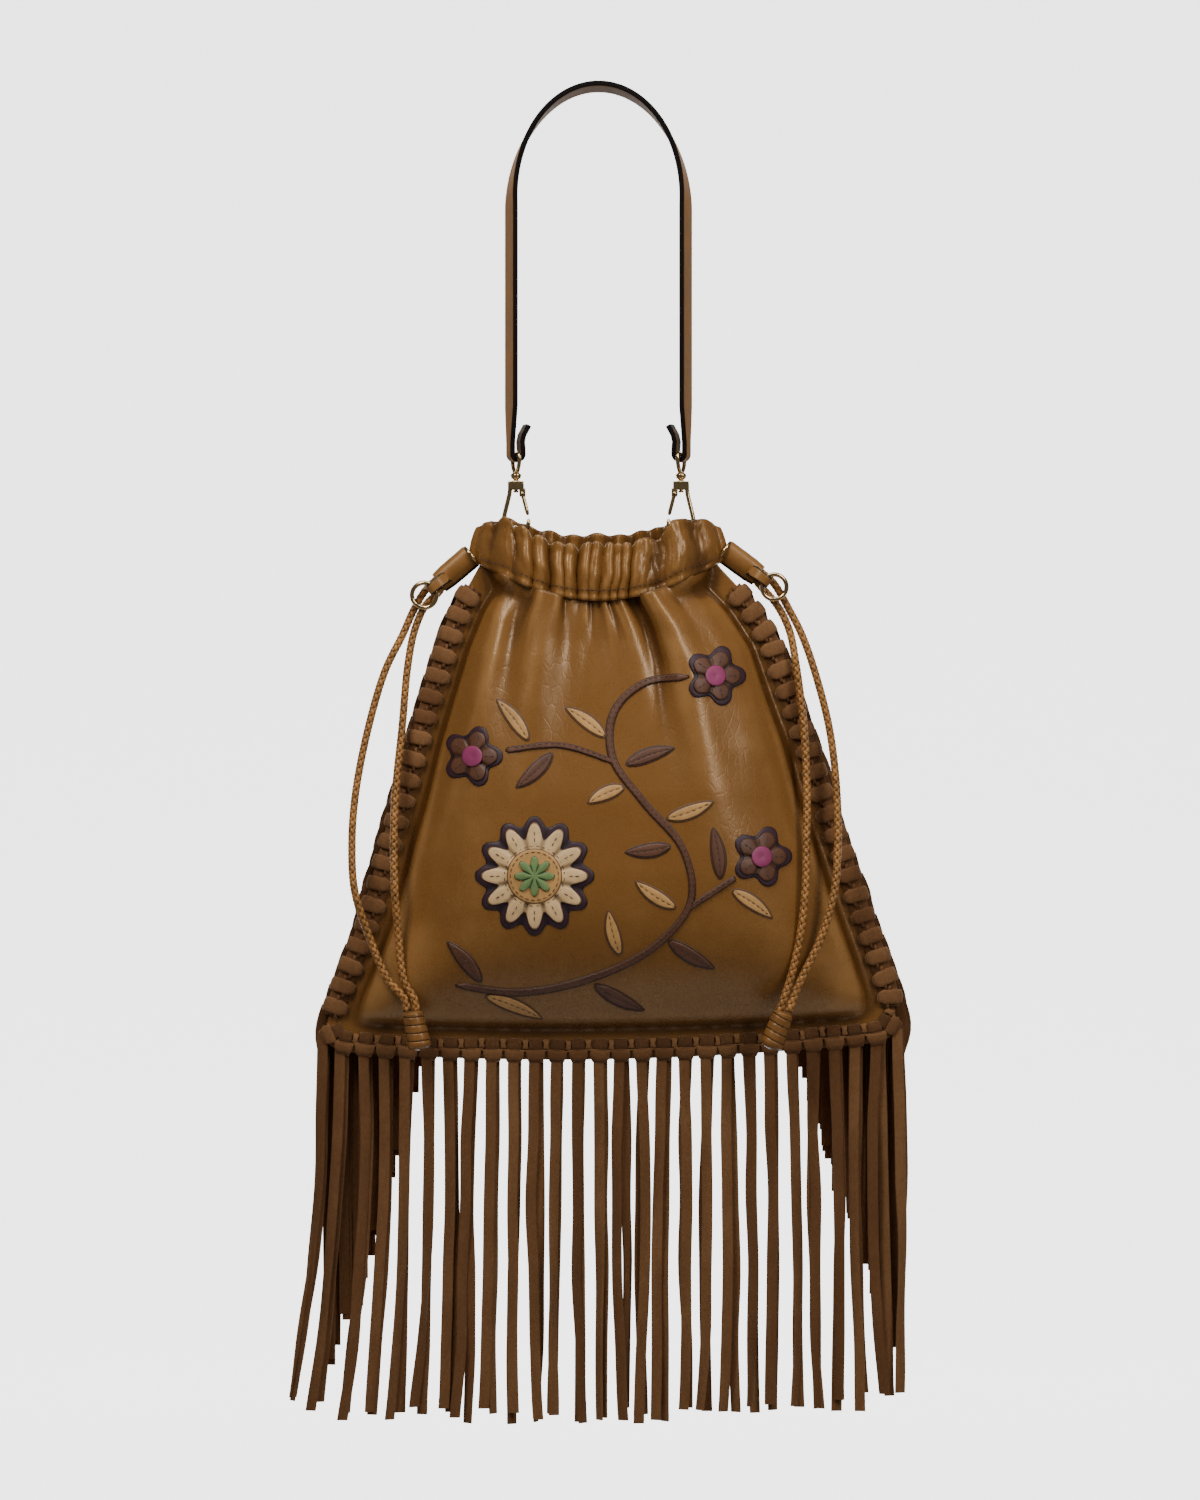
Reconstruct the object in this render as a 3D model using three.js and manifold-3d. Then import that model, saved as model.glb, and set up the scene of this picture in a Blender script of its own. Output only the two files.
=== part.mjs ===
import * as THREE from 'three';
import Module from 'manifold-3d';
import { mergeVertices } from 'three/addons/utils/BufferGeometryUtils.js';

// Shoulder bag of smooth leather with suede lacing and fringe.
// Millimetres, +Z up, front faces -Y, origin under the top of the strap.

// Panels
const BAG_W = 298;          // widest point of the panels
const PANEL_H = 255;        // side seam, mouth to bottom corner
const BAG_D = 38;           // how far each panel bulges from the middle
const WALL = 1.6;           // panel leather
const GAP = 0.3;            // clearance between fitted pieces
const EDGE_GAP = 1.1;       // lacing clear of the cut edge of the panels
const FLANGE = 9.8;         // flat laced margin
const CORNER_R = 12;        // rounded bottom corners
const SEAM_Z = -247;        // mouth seam at the sides
const BAG_SHIFT = 0.8;      // the bag hangs a little to the right
const MOUTH_SAG = 20;       // mouth seam drops in the middle
const HEM_SAG = 6;          // bottom edge drops in the middle
const HEM_TILT = 5;         // bottom edge rises to the right

// Gathered casing round the mouth
const CASING_H = 28;
const CASING_WALL = 2.2;
const PLEAT = 2.1;          // swing of the pleats each way

// Suede lacing and fringe
const STRIP_L = 187;
const STRIP_W = 5.6;
const STRIP_T = 1.2;
const BOTTOM_KNOTS = 28;
const SIDE_KNOTS = 21;
const THONG = 1.0;          // leather of the lacing band
const KNOT_T = 1.9;         // height of a knot over the band
const KNOT_INSET = 5.2;     // first knot from the end of its band

// Strap
const STRAP_W = 16;
const STRAP_T = 2.8;
const STRAP_HALF = 45.6;    // half the distance between its legs
const ARCH_H = 62;          // height of its curved top
const STRAP_TURN = 17;      // each leg turns its outer face forward, degrees
const APEX_TURN = -8;       // the front edge lifts at the top, degrees
const FOLD_L = 15;          // end folded back up on the inner side

// Snap hooks
const EYE_Z = -191;         // middle of the eye bar that carries the strap
const EYE_W = 12;
const WIRE_R = 1.2;
const PIN_R = 0.9;
const HOOK_H = 24;
const HOOK_W = 13;
const RING_R = 5.6;         // hanger ring in the mouth

// Side tabs and drawstrings
const TAB_W = 13;
const TAB_D = 8;
const TAB_WALL = 1.4;
const SIDE_RING_R = 6.5;
const EYELET_R = 5.4;
const CORD_D = 4.2;
const END_R = 6.2;          // wound cord end
const END_L = 20;

const V = (x, y, z) => new THREE.Vector3(x, y, z);
const lerp = (a, b, t) => a + (b - a) * t;
const clamp = (t, a = 0, b = 1) => Math.min(b, Math.max(a, t));
const smooth = (t) => {
  const s = clamp(t);
  return s * s * (3 - 2 * s);
};
const noise = (k) => {
  const s = Math.sin(k * 12.9898 + 4.137) * 43758.5453;
  return (s - Math.floor(s)) * 2 - 1;
};

// Reads one column of a table at a place along its first column.
function look(table, at, column) {
  const rows = table.rows;
  const c = table.columns.indexOf(column);
  if (at <= rows[0][0]) return rows[0][c];
  for (let i = 1; i < rows.length; i += 1) {
    if (at <= rows[i][0]) {
      const t = (at - rows[i - 1][0]) / (rows[i][0] - rows[i - 1][0]);
      return lerp(rows[i - 1][c], rows[i][c], t);
    }
  }
  return rows[rows.length - 1][c];
}

const wasm = await Module();
wasm.setup();

function toSolid(geometry) {
  const bare = geometry.clone();
  bare.deleteAttribute('normal');
  bare.deleteAttribute('uv');
  const welded = mergeVertices(bare, 1e-4);
  const data = new wasm.Mesh({
    numProp: 3,
    vertProperties: new Float32Array(welded.attributes.position.array),
    triVerts: new Uint32Array(welded.index.array),
  });
  return new wasm.Manifold(data);
}

function fromSolid(solid) {
  const data = solid.getMesh();
  const geometry = new THREE.BufferGeometry();
  geometry.setAttribute('position', new THREE.BufferAttribute(new Float32Array(data.vertProperties), 3));
  geometry.setIndex(new THREE.BufferAttribute(new Uint32Array(data.triVerts), 1));
  return geometry;
}

function fuse(parts) {
  let whole = toSolid(parts[0]);
  for (const part of parts.slice(1)) whole = whole.add(toSolid(part));
  return fromSolid(whole);
}

// Closed surface from points and triangles, faces outwards.
function closed(points, faces) {
  let volume = 0;
  for (const [a, b, c] of faces) {
    volume += points[a].dot(V(0, 0, 0).crossVectors(points[b], points[c]));
  }
  const index = [];
  for (const [a, b, c] of faces) {
    if (volume > 0) index.push(a, b, c);
    else index.push(a, c, b);
  }
  const geometry = new THREE.BufferGeometry();
  geometry.setAttribute('position', new THREE.Float32BufferAttribute(points.flatMap((p) => [p.x, p.y, p.z]), 3));
  geometry.setIndex(index);
  return geometry;
}

// Solid between two grids of points; ring = the columns close on themselves.
function slab(upper, lower, ring = false) {
  const rows = upper.length;
  const cols = upper[0].length;
  const points = [...upper.flat(), ...lower.flat()];
  const at = (side, r, c) => side * rows * cols + r * cols + (c % cols);
  const faces = [];
  const quad = (a, b, c, d) => faces.push([a, b, c], [a, c, d]);
  const last = ring ? cols : cols - 1;
  for (let r = 0; r < rows - 1; r += 1) {
    for (let c = 0; c < last; c += 1) {
      quad(at(0, r, c), at(0, r, c + 1), at(0, r + 1, c + 1), at(0, r + 1, c));
      quad(at(1, r, c), at(1, r + 1, c), at(1, r + 1, c + 1), at(1, r, c + 1));
    }
  }
  for (let c = 0; c < last; c += 1) {
    quad(at(0, 0, c), at(1, 0, c), at(1, 0, c + 1), at(0, 0, c + 1));
    quad(at(0, rows - 1, c), at(0, rows - 1, c + 1), at(1, rows - 1, c + 1), at(1, rows - 1, c));
  }
  if (!ring) {
    for (let r = 0; r < rows - 1; r += 1) {
      quad(at(0, r, 0), at(0, r + 1, 0), at(1, r + 1, 0), at(1, r, 0));
      quad(at(0, r, cols - 1), at(1, r, cols - 1), at(1, r + 1, cols - 1), at(0, r + 1, cols - 1));
    }
  }
  return closed(points, faces);
}

// Solid through a row of sections with the same number of points.
function sweep(sections, loop = false) {
  const n = sections[0].length;
  const rows = sections.length;
  const points = sections.flat();
  const faces = [];
  const last = loop ? rows : rows - 1;
  for (let r = 0; r < last; r += 1) {
    const s = ((r + 1) % rows) * n;
    for (let k = 0; k < n; k += 1) {
      const j = (k + 1) % n;
      faces.push([r * n + k, r * n + j, s + j], [r * n + k, s + j, s + k]);
    }
  }
  if (!loop) {
    const e = (rows - 1) * n;
    for (let k = 1; k < n - 1; k += 1) {
      faces.push([0, k + 1, k], [e, e + k, e + k + 1]);
    }
  }
  return closed(points, faces);
}

// Round wire through a row of points.
function wire(path, radius, sides = 8, loop = false) {
  const n = path.length;
  const sections = [];
  let side = null;
  for (let i = 0; i < n; i += 1) {
    const before = path[loop ? (i + n - 1) % n : Math.max(0, i - 1)];
    const after = path[loop ? (i + 1) % n : Math.min(n - 1, i + 1)];
    const along = after.clone().sub(before).normalize();
    if (!side) {
      const guess = Math.abs(along.y) > 0.7 ? V(1, 0, 0) : V(0, 1, 0);
      side = guess;
    }
    side = side.clone().addScaledVector(along, -side.dot(along)).normalize();
    const other = V(0, 0, 0).crossVectors(along, side);
    const ring = [];
    for (let k = 0; k < sides; k += 1) {
      const a = (k + 0.5) * 2 * Math.PI / sides;
      ring.push(path[i].clone().addScaledVector(side, radius * Math.cos(a)).addScaledVector(other, radius * Math.sin(a)));
    }
    sections.push(ring);
  }
  return sweep(sections, loop);
}

function spline(points, steps, loop = false) {
  return new THREE.CatmullRomCurve3(points, loop, 'centripetal').getSpacedPoints(steps);
}

// Flat strap along a path; wide gives the direction of its width at each point.
function strip(path, wide, width, thickness) {
  const sections = path.map((p, i) => {
    const along = path[Math.min(path.length - 1, i + 1)].clone().sub(path[Math.max(0, i - 1)]).normalize();
    const w = wide(i, p).clone();
    w.addScaledVector(along, -w.dot(along)).normalize();
    const t = V(0, 0, 0).crossVectors(along, w);
    const half = (typeof width === 'function' ? width(i) : width) / 2;
    const corner = (a, b) => p.clone().addScaledVector(w, a * half).addScaledVector(t, b * thickness / 2);
    return [corner(-1, -1), corner(1, -1), corner(1, 1), corner(-1, 1)];
  });
  return sweep(sections);
}

// Box with its edges along three directions, given by its middle and half sizes.
function block(middle, a, ha, b, hb, c, hc) {
  const at = (i, j, k) => middle.clone().addScaledVector(a, i * ha).addScaledVector(b, j * hb).addScaledVector(c, k * hc);
  const ring = (k) => [at(-1, -1, k), at(1, -1, k), at(1, 1, k), at(-1, 1, k)];
  return sweep([ring(-1), ring(1)]);
}

// Turned piece along any axis: profile of [distance along, radius].
function turned(origin, axis, profile, sides = 12) {
  const guess = Math.abs(axis.y) > 0.7 ? V(1, 0, 0) : V(0, 1, 0);
  const u = guess.clone().addScaledVector(axis, -guess.dot(axis)).normalize();
  const w = V(0, 0, 0).crossVectors(axis, u);
  return sweep(profile.map(([s, r]) => {
    const ring = [];
    for (let k = 0; k < sides; k += 1) {
      const a = (k + 0.5) * 2 * Math.PI / sides;
      ring.push(origin.clone().addScaledVector(axis, s).addScaledVector(u, r * Math.cos(a)).addScaledVector(w, r * Math.sin(a)));
    }
    return ring;
  }));
}

// Panel outline: share of the height down, left and right edge as shares of BAG_W.
const OUTLINE = {
  columns: ['down', 'left', 'right'],
  rows: [
    [0.000, 0.207, 0.200],
    [0.050, 0.231, 0.240],
    [0.082, 0.247, 0.265],
    [0.163, 0.275, 0.308],
    [0.265, 0.302, 0.337],
    [0.367, 0.328, 0.369],
    [0.490, 0.355, 0.398],
    [0.612, 0.385, 0.435],
    [0.735, 0.414, 0.469],
    [0.816, 0.441, 0.494],
    [0.898, 0.470, 0.517],
    [0.960, 0.482, 0.519],
    [1.000, 0.482, 0.519],
  ],
};

// Bulge down the middle: share of BAG_D, and how far in from the edge it takes to rise.
const BULGE = {
  columns: ['down', 'depth', 'rise'],
  rows: [
    [0.00, 0.50, 0.080],
    [0.10, 0.56, 0.110],
    [0.25, 0.72, 0.150],
    [0.45, 0.92, 0.200],
    [0.62, 1.00, 0.240],
    [0.80, 0.98, 0.260],
    [1.00, 0.90, 0.260],
  ],
};

// Folds that run down from the mouth: place across at the top and lower down,
// half width across, height as a share of BAG_D, how far down they fade.
const FOLDS = {
  columns: ['top', 'low', 'half', 'height', 'fade'],
  rows: [
    [0.090, 0.160, 0.050, 0.13, 0.42],
    [0.180, 0.235, 0.040, -0.10, 0.36],
    [0.290, 0.275, 0.060, 0.17, 0.46],
    [0.480, 0.470, 0.120, -0.08, 0.34],
    [0.430, 0.420, 0.025, 0.06, 0.12],
    [0.520, 0.520, 0.025, 0.07, 0.14],
    [0.585, 0.580, 0.022, 0.05, 0.10],
    [0.645, 0.640, 0.026, -0.17, 0.26],
    [0.715, 0.730, 0.055, 0.17, 0.40],
    [0.900, 0.905, 0.060, 0.07, 0.40],
  ],
};

const BACK_FOLDS = {
  columns: FOLDS.columns,
  rows: [
    [0.140, 0.180, 0.060, 0.12, 0.40],
    [0.260, 0.270, 0.040, -0.10, 0.30],
    [0.400, 0.395, 0.060, 0.14, 0.42],
    [0.530, 0.530, 0.045, -0.12, 0.30],
    [0.660, 0.670, 0.060, 0.13, 0.42],
    [0.850, 0.840, 0.060, 0.10, 0.36],
  ],
};

// Soft dents low on the front: middle across and down, half sizes, height share.
const DENTS = [
  { across: 0.17, down: 0.78, wide: 0.05, tall: 0.13, lean: 0.35, height: -0.05 },
  { across: 0.86, down: 0.80, wide: 0.06, tall: 0.12, lean: -0.30, height: -0.05 },
  { across: 0.80, down: 0.38, wide: 0.05, tall: 0.12, lean: 0.10, height: -0.05 },
];

function edges(v) {
  const below = (1 - v) * PANEL_H;
  const r = CORNER_R;
  const inset = below < r ? r - Math.sqrt(Math.max(0, r * r - (r - below) ** 2)) : 0;
  return {
    left: BAG_SHIFT - look(OUTLINE, v, 'left') * BAG_W + inset,
    right: BAG_SHIFT + look(OUTLINE, v, 'right') * BAG_W - inset,
  };
}

function place(u, v) {
  const { left, right } = edges(v);
  const arch = 1 - (2 * u - 1) ** 2;
  const z = SEAM_Z - v * PANEL_H - MOUTH_SAG * (1 - v) ** 2 * arch
    - HEM_SAG * v * v * arch + HEM_TILT * v * v * u;
  return { x: lerp(left, right, u), z };
}

function depth(u, v, folds = FOLDS, dents = DENTS) {
  const { left, right } = edges(v);
  const width = right - left;
  const side = Math.max(0.01, Math.min(u, 1 - u) * width);
  const below = Math.max(0.01, (1 - v) * PANEL_H);
  const near = (side ** -4 + below ** -4) ** -0.25;
  const flat = lerp(2, FLANGE + 0.6, smooth(v / 0.035));
  const rise = look(BULGE, v, 'rise') * BAG_W;
  const t = clamp((near - flat) / rise);
  let y = BAG_D * look(BULGE, v, 'depth') * (1 - (1 - t) ** 2.2) * smooth(t / 0.14 + 0.15 * t);
  const inner = clamp((near - flat) / 16);
  for (const [top, low, half, height, fade] of folds.rows) {
    const middle = lerp(top, low, clamp(v / 0.4));
    const spread = half * (1 + 1.2 * v);
    const fall = Math.exp(-((v / fade) ** 2));
    y += BAG_D * height * inner * fall * Math.exp(-(((u - middle) / spread) ** 2));
  }
  for (const d of dents) {
    const a = (u - d.across - d.lean * (v - d.down)) / d.wide;
    const b = (v - d.down) / d.tall;
    y += BAG_D * d.height * inner * Math.exp(-a * a - b * b);
  }
  return Math.max(0, y);
}

// Share across and down for a point given by x and z.
function find(x, z) {
  let u = 0.5;
  let v = 0.5;
  for (let i = 0; i < 12; i += 1) {
    const got = place(u, v);
    v = clamp(v - (z - got.z) / PANEL_H);
    const { left, right } = edges(v);
    u = clamp((x - left) / (right - left));
  }
  return { u, v };
}

const SKIN = GAP / 2 + WALL;
const frontY = (x, z) => {
  const { u, v } = find(x, z);
  return -(SKIN + depth(u, v));
};
const backY = (x, z) => {
  const { u, v } = find(x, z);
  return SKIN + depth(u, v, BACK_FOLDS, []);
};

const DOWN_ROWS = [0, 0.03, 0.065, 0.11, 0.17, 0.24, 0.32, 0.41, 0.5, 0.6, 0.7, 0.79, 0.87, 0.925, 0.9616, 0.985, 1];

function panel(sign, middleColumns, folds, dents) {
  const outer = [];
  const inner = [];
  for (const v of DOWN_ROWS) {
    const { left, right } = edges(v);
    const width = right - left;
    const margins = [0, FLANGE, FLANGE + 4, FLANGE + 9].map((d) => d / width);
    const across = [...margins];
    const first = margins[3];
    for (let k = 1; k < middleColumns; k += 1) across.push(lerp(first, 1 - first, k / middleColumns));
    across.push(...margins.map((m) => 1 - m).reverse());
    const rowOut = [];
    const rowIn = [];
    for (const u of across) {
      const { x, z } = place(u, v);
      const d = depth(u, v, folds, dents);
      const du = (depth(clamp(u + 0.01), v, folds, dents) - depth(clamp(u - 0.01), v, folds, dents)) / (0.02 * width);
      const dv = (depth(u, clamp(v + 0.01), folds, dents) - depth(u, clamp(v - 0.01), folds, dents)) / (0.02 * PANEL_H);
      const thick = WALL * Math.min(2, Math.sqrt(1 + du * du + dv * dv));
      rowOut.push(V(x, sign * (SKIN + d), z));
      rowIn.push(V(x, sign * Math.max(GAP / 2, SKIN + d - thick), z));
    }
    outer.push(rowOut);
    inner.push(rowIn);
  }
  return slab(outer, inner);
}

// Pleat ridges round the mouth, as shares across the front and the back.
const FRONT_RIDGES = [0.015, 0.11, 0.205, 0.275, 0.33, 0.385, 0.44, 0.495, 0.55, 0.605, 0.66, 0.715, 0.86, 0.985];
const BACK_RIDGES = [0.015, 0.12, 0.21, 0.3, 0.39, 0.48, 0.57, 0.66, 0.75, 0.85, 0.985];

// Height of the casing above the mouth seam, as a share of CASING_H.
const RIM = {
  columns: ['across', 'front', 'back'],
  rows: [
    [0.00, 0.50, 0.50],
    [0.05, 0.80, 0.86],
    [0.12, 1.04, 1.10],
    [0.22, 0.98, 1.16],
    [0.35, 0.92, 1.18],
    [0.50, 0.98, 1.22],
    [0.65, 0.96, 1.22],
    [0.78, 1.00, 1.18],
    [0.88, 1.06, 1.10],
    [0.95, 0.82, 0.86],
    [1.00, 0.50, 0.50],
  ],
};

function pleatAt(ridges, u) {
  for (let i = 1; i < ridges.length; i += 1) {
    if (u <= ridges[i]) {
      const t = (u - ridges[i - 1]) / (ridges[i] - ridges[i - 1]);
      return Math.cos(2 * Math.PI * clamp(t));
    }
  }
  return 1;
}

function acrossFor(ridges, perPleat) {
  const list = [];
  for (let i = 1; i < ridges.length; i += 1) {
    for (let k = 0; k < perPleat; k += 1) list.push(lerp(ridges[i - 1], ridges[i], k / perPleat));
  }
  list.push(ridges[ridges.length - 1]);
  return list;
}

function mouthZ(x) {
  const { left, right } = edges(0);
  return place((x - left) / (right - left), 0).z;
}

function casing() {
  const width = edges(0).right - edges(0).left;
  const loop = [
    ...acrossFor(FRONT_RIDGES, 5).map((u) => ({ u, sign: -1, ridges: FRONT_RIDGES })),
    { u: 1, sign: 0, ridges: FRONT_RIDGES },
    ...acrossFor(BACK_RIDGES, 4).reverse().map((u) => ({ u, sign: 1, ridges: BACK_RIDGES })),
    { u: 0, sign: 0, ridges: BACK_RIDGES },
  ];
  const levels = [0, 0.45, 1];
  const swing = [0.75, 1, 0.65];
  const outer = [];
  const inner = [];
  levels.forEach((level, row) => {
    const line = loop.map(({ u, sign, ridges }) => {
      const { x, z } = place(u, 0);
      const end = Math.min(u, 1 - u) * width;
      const open = 2.2 * Math.sqrt(1 - (1 - clamp(end / 4)) ** 2);
      const fade = smooth(end / 9);
      const base = depth(u, 0, { rows: [] }, []) * (1 - 0.12 * level) + open;
      const fold = PLEAT * swing[row] * pleatAt(ridges, u) * fade;
      const high = CASING_H * look(RIM, u, sign > 0 ? 'back' : 'front') * level;
      const lift = 1.6 * pleatAt(ridges, u) * fade * level;
      const shift = 1.1 * Math.sin(9 * u + 3 * level) * fade * level;
      return V(x + shift, sign * (base + fold), z + GAP + high + lift);
    });
    const n = line.length;
    const out = [];
    const into = [];
    line.forEach((p, i) => {
      const a = line[(i + n - 1) % n];
      const b = line[(i + 1) % n];
      const along = V(b.x - a.x, b.y - a.y, 0).normalize();
      const away = V(along.y, -along.x, 0);
      for (const [list, half] of [[out, CASING_WALL / 2], [into, -CASING_WALL / 2]]) {
        const q = p.clone().addScaledVector(away, half);
        q.z += mouthZ(q.x) - mouthZ(p.x);
        list.push(q);
      }
    });
    outer.push(out);
    inner.push(into);
  });
  return slab(outer, inner, true);
}

// Edge of the panels as a row of points, from v0 on one side round to v1 on the other.
function edgeLine(kind) {
  const line = [];
  const side = (u, from, to) => {
    const steps = Math.max(2, Math.round(Math.abs(to - from) * PANEL_H / 1.5));
    for (let i = 0; i <= steps; i += 1) {
      const v = lerp(from, to, i / steps);
      const { x, z } = place(u, v);
      line.push(V(x, 0, z));
    }
  };
  if (kind === 'left') side(0, 0.05, 0.93);
  if (kind === 'right') side(1, 0.05, 0.93);
  if (kind === 'bottom') {
    side(0, 0.952, 0.9999);
    for (let i = 1; i < 120; i += 1) {
      const { x, z } = place(i / 120, 1);
      line.push(V(x, 0, z));
    }
    side(1, 0.9999, 0.952);
  }
  return line;
}

// Points at given distances along a line with the direction along it and outward.
function pointsAt(line, distances) {
  const run = [0];
  for (let i = 1; i < line.length; i += 1) run.push(run[i - 1] + line[i].distanceTo(line[i - 1]));
  const total = run[run.length - 1];
  const at = (s) => {
    let i = 1;
    while (i < run.length - 1 && run[i] < s) i += 1;
    const t = (s - run[i - 1]) / Math.max(1e-6, run[i] - run[i - 1]);
    return line[i - 1].clone().lerp(line[i], clamp(t));
  };
  const middle = V(BAG_SHIFT + 5, 0, SEAM_Z - PANEL_H * 0.5);
  return distances.map((s) => {
    const along = at(Math.min(total, s + 5)).sub(at(Math.max(0, s - 5))).normalize();
    let away = V(along.z, 0, -along.x);
    const p = at(s);
    if (away.dot(p.clone().sub(middle)) < 0) away = away.negate();
    return { p, along, away };
  });
}

function stations(line, count, inset) {
  const total = line.reduce((sum, p, i) => (i ? sum + p.distanceTo(line[i - 1]) : 0), 0);
  const list = [];
  for (let k = 0; k < count; k += 1) list.push(lerp(inset, total - inset, k / (count - 1)));
  return pointsAt(line, list);
}

const Y = V(0, 1, 0);
const BAND_IN = SKIN + GAP + 0.05;
const BAND_OUT = BAND_IN + THONG;

// Folded thong along the margin with a thicker lacing knot at each place given.
function lacing(line, count, inset, share) {
  const outer = [];
  const inner = [];
  const run = line.reduce((sum, p, i) => (i ? sum + p.distanceTo(line[i - 1]) : 0), 0);
  const pitch = (run - 2 * inset) / (count - 1);
  const half = pitch * share / 2;
  const slope = 0.35;
  const rows = [];
  for (let k = 0; k < count; k += 1) {
    const s = inset + k * pitch;
    rows.push([s - half - slope, 0], [s - half, 1], [s + half, 1], [s + half + slope, 0]);
  }
  const places = pointsAt(line, rows.map(([s]) => clamp(s, 0, run)));
  places.forEach(({ p, away }, i) => {
    const high = rows[i][1];
    const y = BAND_OUT + KNOT_T * high;
    const edge = EDGE_GAP + THONG + 2.4 * high;
    const at = (n, q) => p.clone().addScaledVector(away, n).addScaledVector(Y, q);
    outer.push([at(-8.2, -y), at(edge, -y), at(edge, y), at(-8.2, y)]);
    inner.push([at(-7.4, -BAND_IN), at(EDGE_GAP, -BAND_IN), at(EDGE_GAP, BAND_IN), at(-7.4, BAND_IN)]);
  });
  return slab(outer, inner);
}

function bottomFringe() {
  const line = edgeLine('bottom');
  const parts = [lacing(line, BOTTOM_KNOTS, KNOT_INSET, 0.78)];
  stations(line, BOTTOM_KNOTS, KNOT_INSET).forEach((s, k) => {
    for (const j of [0, 1]) {
      const seed = k * 2 + j;
      const shift = (j - 0.5) * 1.8 + 0.5 * noise(seed + 11);
      const start = s.p.clone().addScaledVector(s.away, EDGE_GAP + THONG + 0.5).addScaledVector(s.along, shift);
      const y = (j ? 1.7 : -1.7) + 0.3 * noise(seed + 3);
      const share = k / (BOTTOM_KNOTS - 1);
      const splay = -16 * (1 - share) ** 5 + 3 * share ** 5;
      const sway = 1.8 * noise(seed + 60);
      const steps = [0, 0.35, 0.7, 1];
      const path = steps.map((t) => V(
        start.x + splay * t * t + sway * Math.sin(3.1 * t) + 2.4 * noise(seed + 20) * t * t,
        y + 1.8 * noise(seed + 90) * Math.sin(2.6 * t) * t,
        start.z - (STRIP_L + 5 * noise(seed + 40)) * t,
      ));
      const turn = 0.5 * noise(seed + 130);
      const facing = (i) => V(Math.cos(turn * steps[i]), Math.sin(turn * steps[i]), 0);
      parts.push(strip(path, facing, STRIP_W, STRIP_T));
    }
  });
  return fuse(parts);
}

function sideFringe(kind) {
  const line = edgeLine(kind);
  const parts = [lacing(line, SIDE_KNOTS, KNOT_INSET, 0.7)];
  stations(line, SIDE_KNOTS, KNOT_INSET).forEach((s, k) => {
    const x = s.p.x + s.away.x * 1.5;
    const zTop = s.p.z;
    const drop = STRIP_L + 5 * noise(k + (kind === 'left' ? 7 : 77));
    const layer = (k % 2) * 1.7;
    const fine = [];
    let y = BAND_OUT + KNOT_T - 0.4;
    for (let i = 0; i <= 40; i += 1) {
      const t = i / 40;
      const z = zTop - drop * t;
      let reach = 0;
      for (const dx of [-4, 0, 4]) {
        const { left, right } = edges(find(x, z).v);
        const inside = x + dx > left - 6 && x + dx < right + 6 && z > SEAM_Z - PANEL_H - 14;
        if (inside) reach = Math.max(reach, backY(x + dx, z));
      }
      if (i > 1) y = Math.max(y, reach + 1.6 + layer, BAND_OUT + KNOT_T + 1.6 + layer);
      fine.push(V(x + 1.6 * noise(k + 31) * t, y, z));
    }
    const picks = [0, 2, 9, 18, 27, 40];
    const path = picks.map((i) => fine[i].clone());
    for (let j = 1; j < picks.length - 1; j += 1) {
      let short = 0;
      for (let i = picks[j]; i <= picks[j + 1]; i += 1) {
        const t = (i - picks[j]) / (picks[j + 1] - picks[j]);
        short = Math.max(short, fine[i].y - lerp(fine[picks[j]].y, fine[picks[j + 1]].y, t));
      }
      path[j].y += short;
      path[j + 1].y = Math.max(path[j + 1].y, fine[picks[j + 1]].y + short);
    }
    parts.push(strip(path, () => V(1, 0, 0), STRIP_W, STRIP_T));
  });
  return fuse(parts);
}

// Strap: legs and arch, each end folded up round the eye bar.
function strapShape(t) {
  const leg = -EYE_Z - ARCH_H;
  const arc = Math.PI * Math.sqrt((STRAP_HALF ** 2 + ARCH_H ** 2) / 2);
  const total = 2 * leg + arc;
  const s = t * total;
  let angle = ((s - leg) / arc) * Math.PI;
  let p = null;
  if (angle < 0) {
    angle = 0;
    p = V(-STRAP_HALF, 0, EYE_Z + s);
  } else if (angle > Math.PI) {
    angle = Math.PI;
    p = V(STRAP_HALF, 0, EYE_Z + total - s);
  } else {
    p = V(-STRAP_HALF * Math.cos(angle), 0, -ARCH_H + ARCH_H * Math.sin(angle));
  }
  p.z += STRAP_T / 2;
  const inward = V(Math.cos(angle), 0, -Math.sin(angle));
  const turn = THREE.MathUtils.degToRad(lerp(STRAP_TURN, APEX_TURN, Math.sin(angle)));
  const wide = V(0, -Math.cos(turn), 0).addScaledVector(inward, Math.sin(turn));
  return { p, wide };
}

function legFrame(side) {
  const turn = THREE.MathUtils.degToRad(STRAP_TURN);
  const wide = V(-side * Math.sin(turn), -Math.cos(turn), 0);
  const inward = V(-side * Math.cos(turn), Math.sin(turn), 0);
  const eye = V(side * (STRAP_HALF - 2.4), 0, EYE_Z);
  return { wide, inward, eye };
}

const BAR_R = 1.1;
const TURN_R = BAR_R + GAP + 0.1 + STRAP_T / 2;

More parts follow.
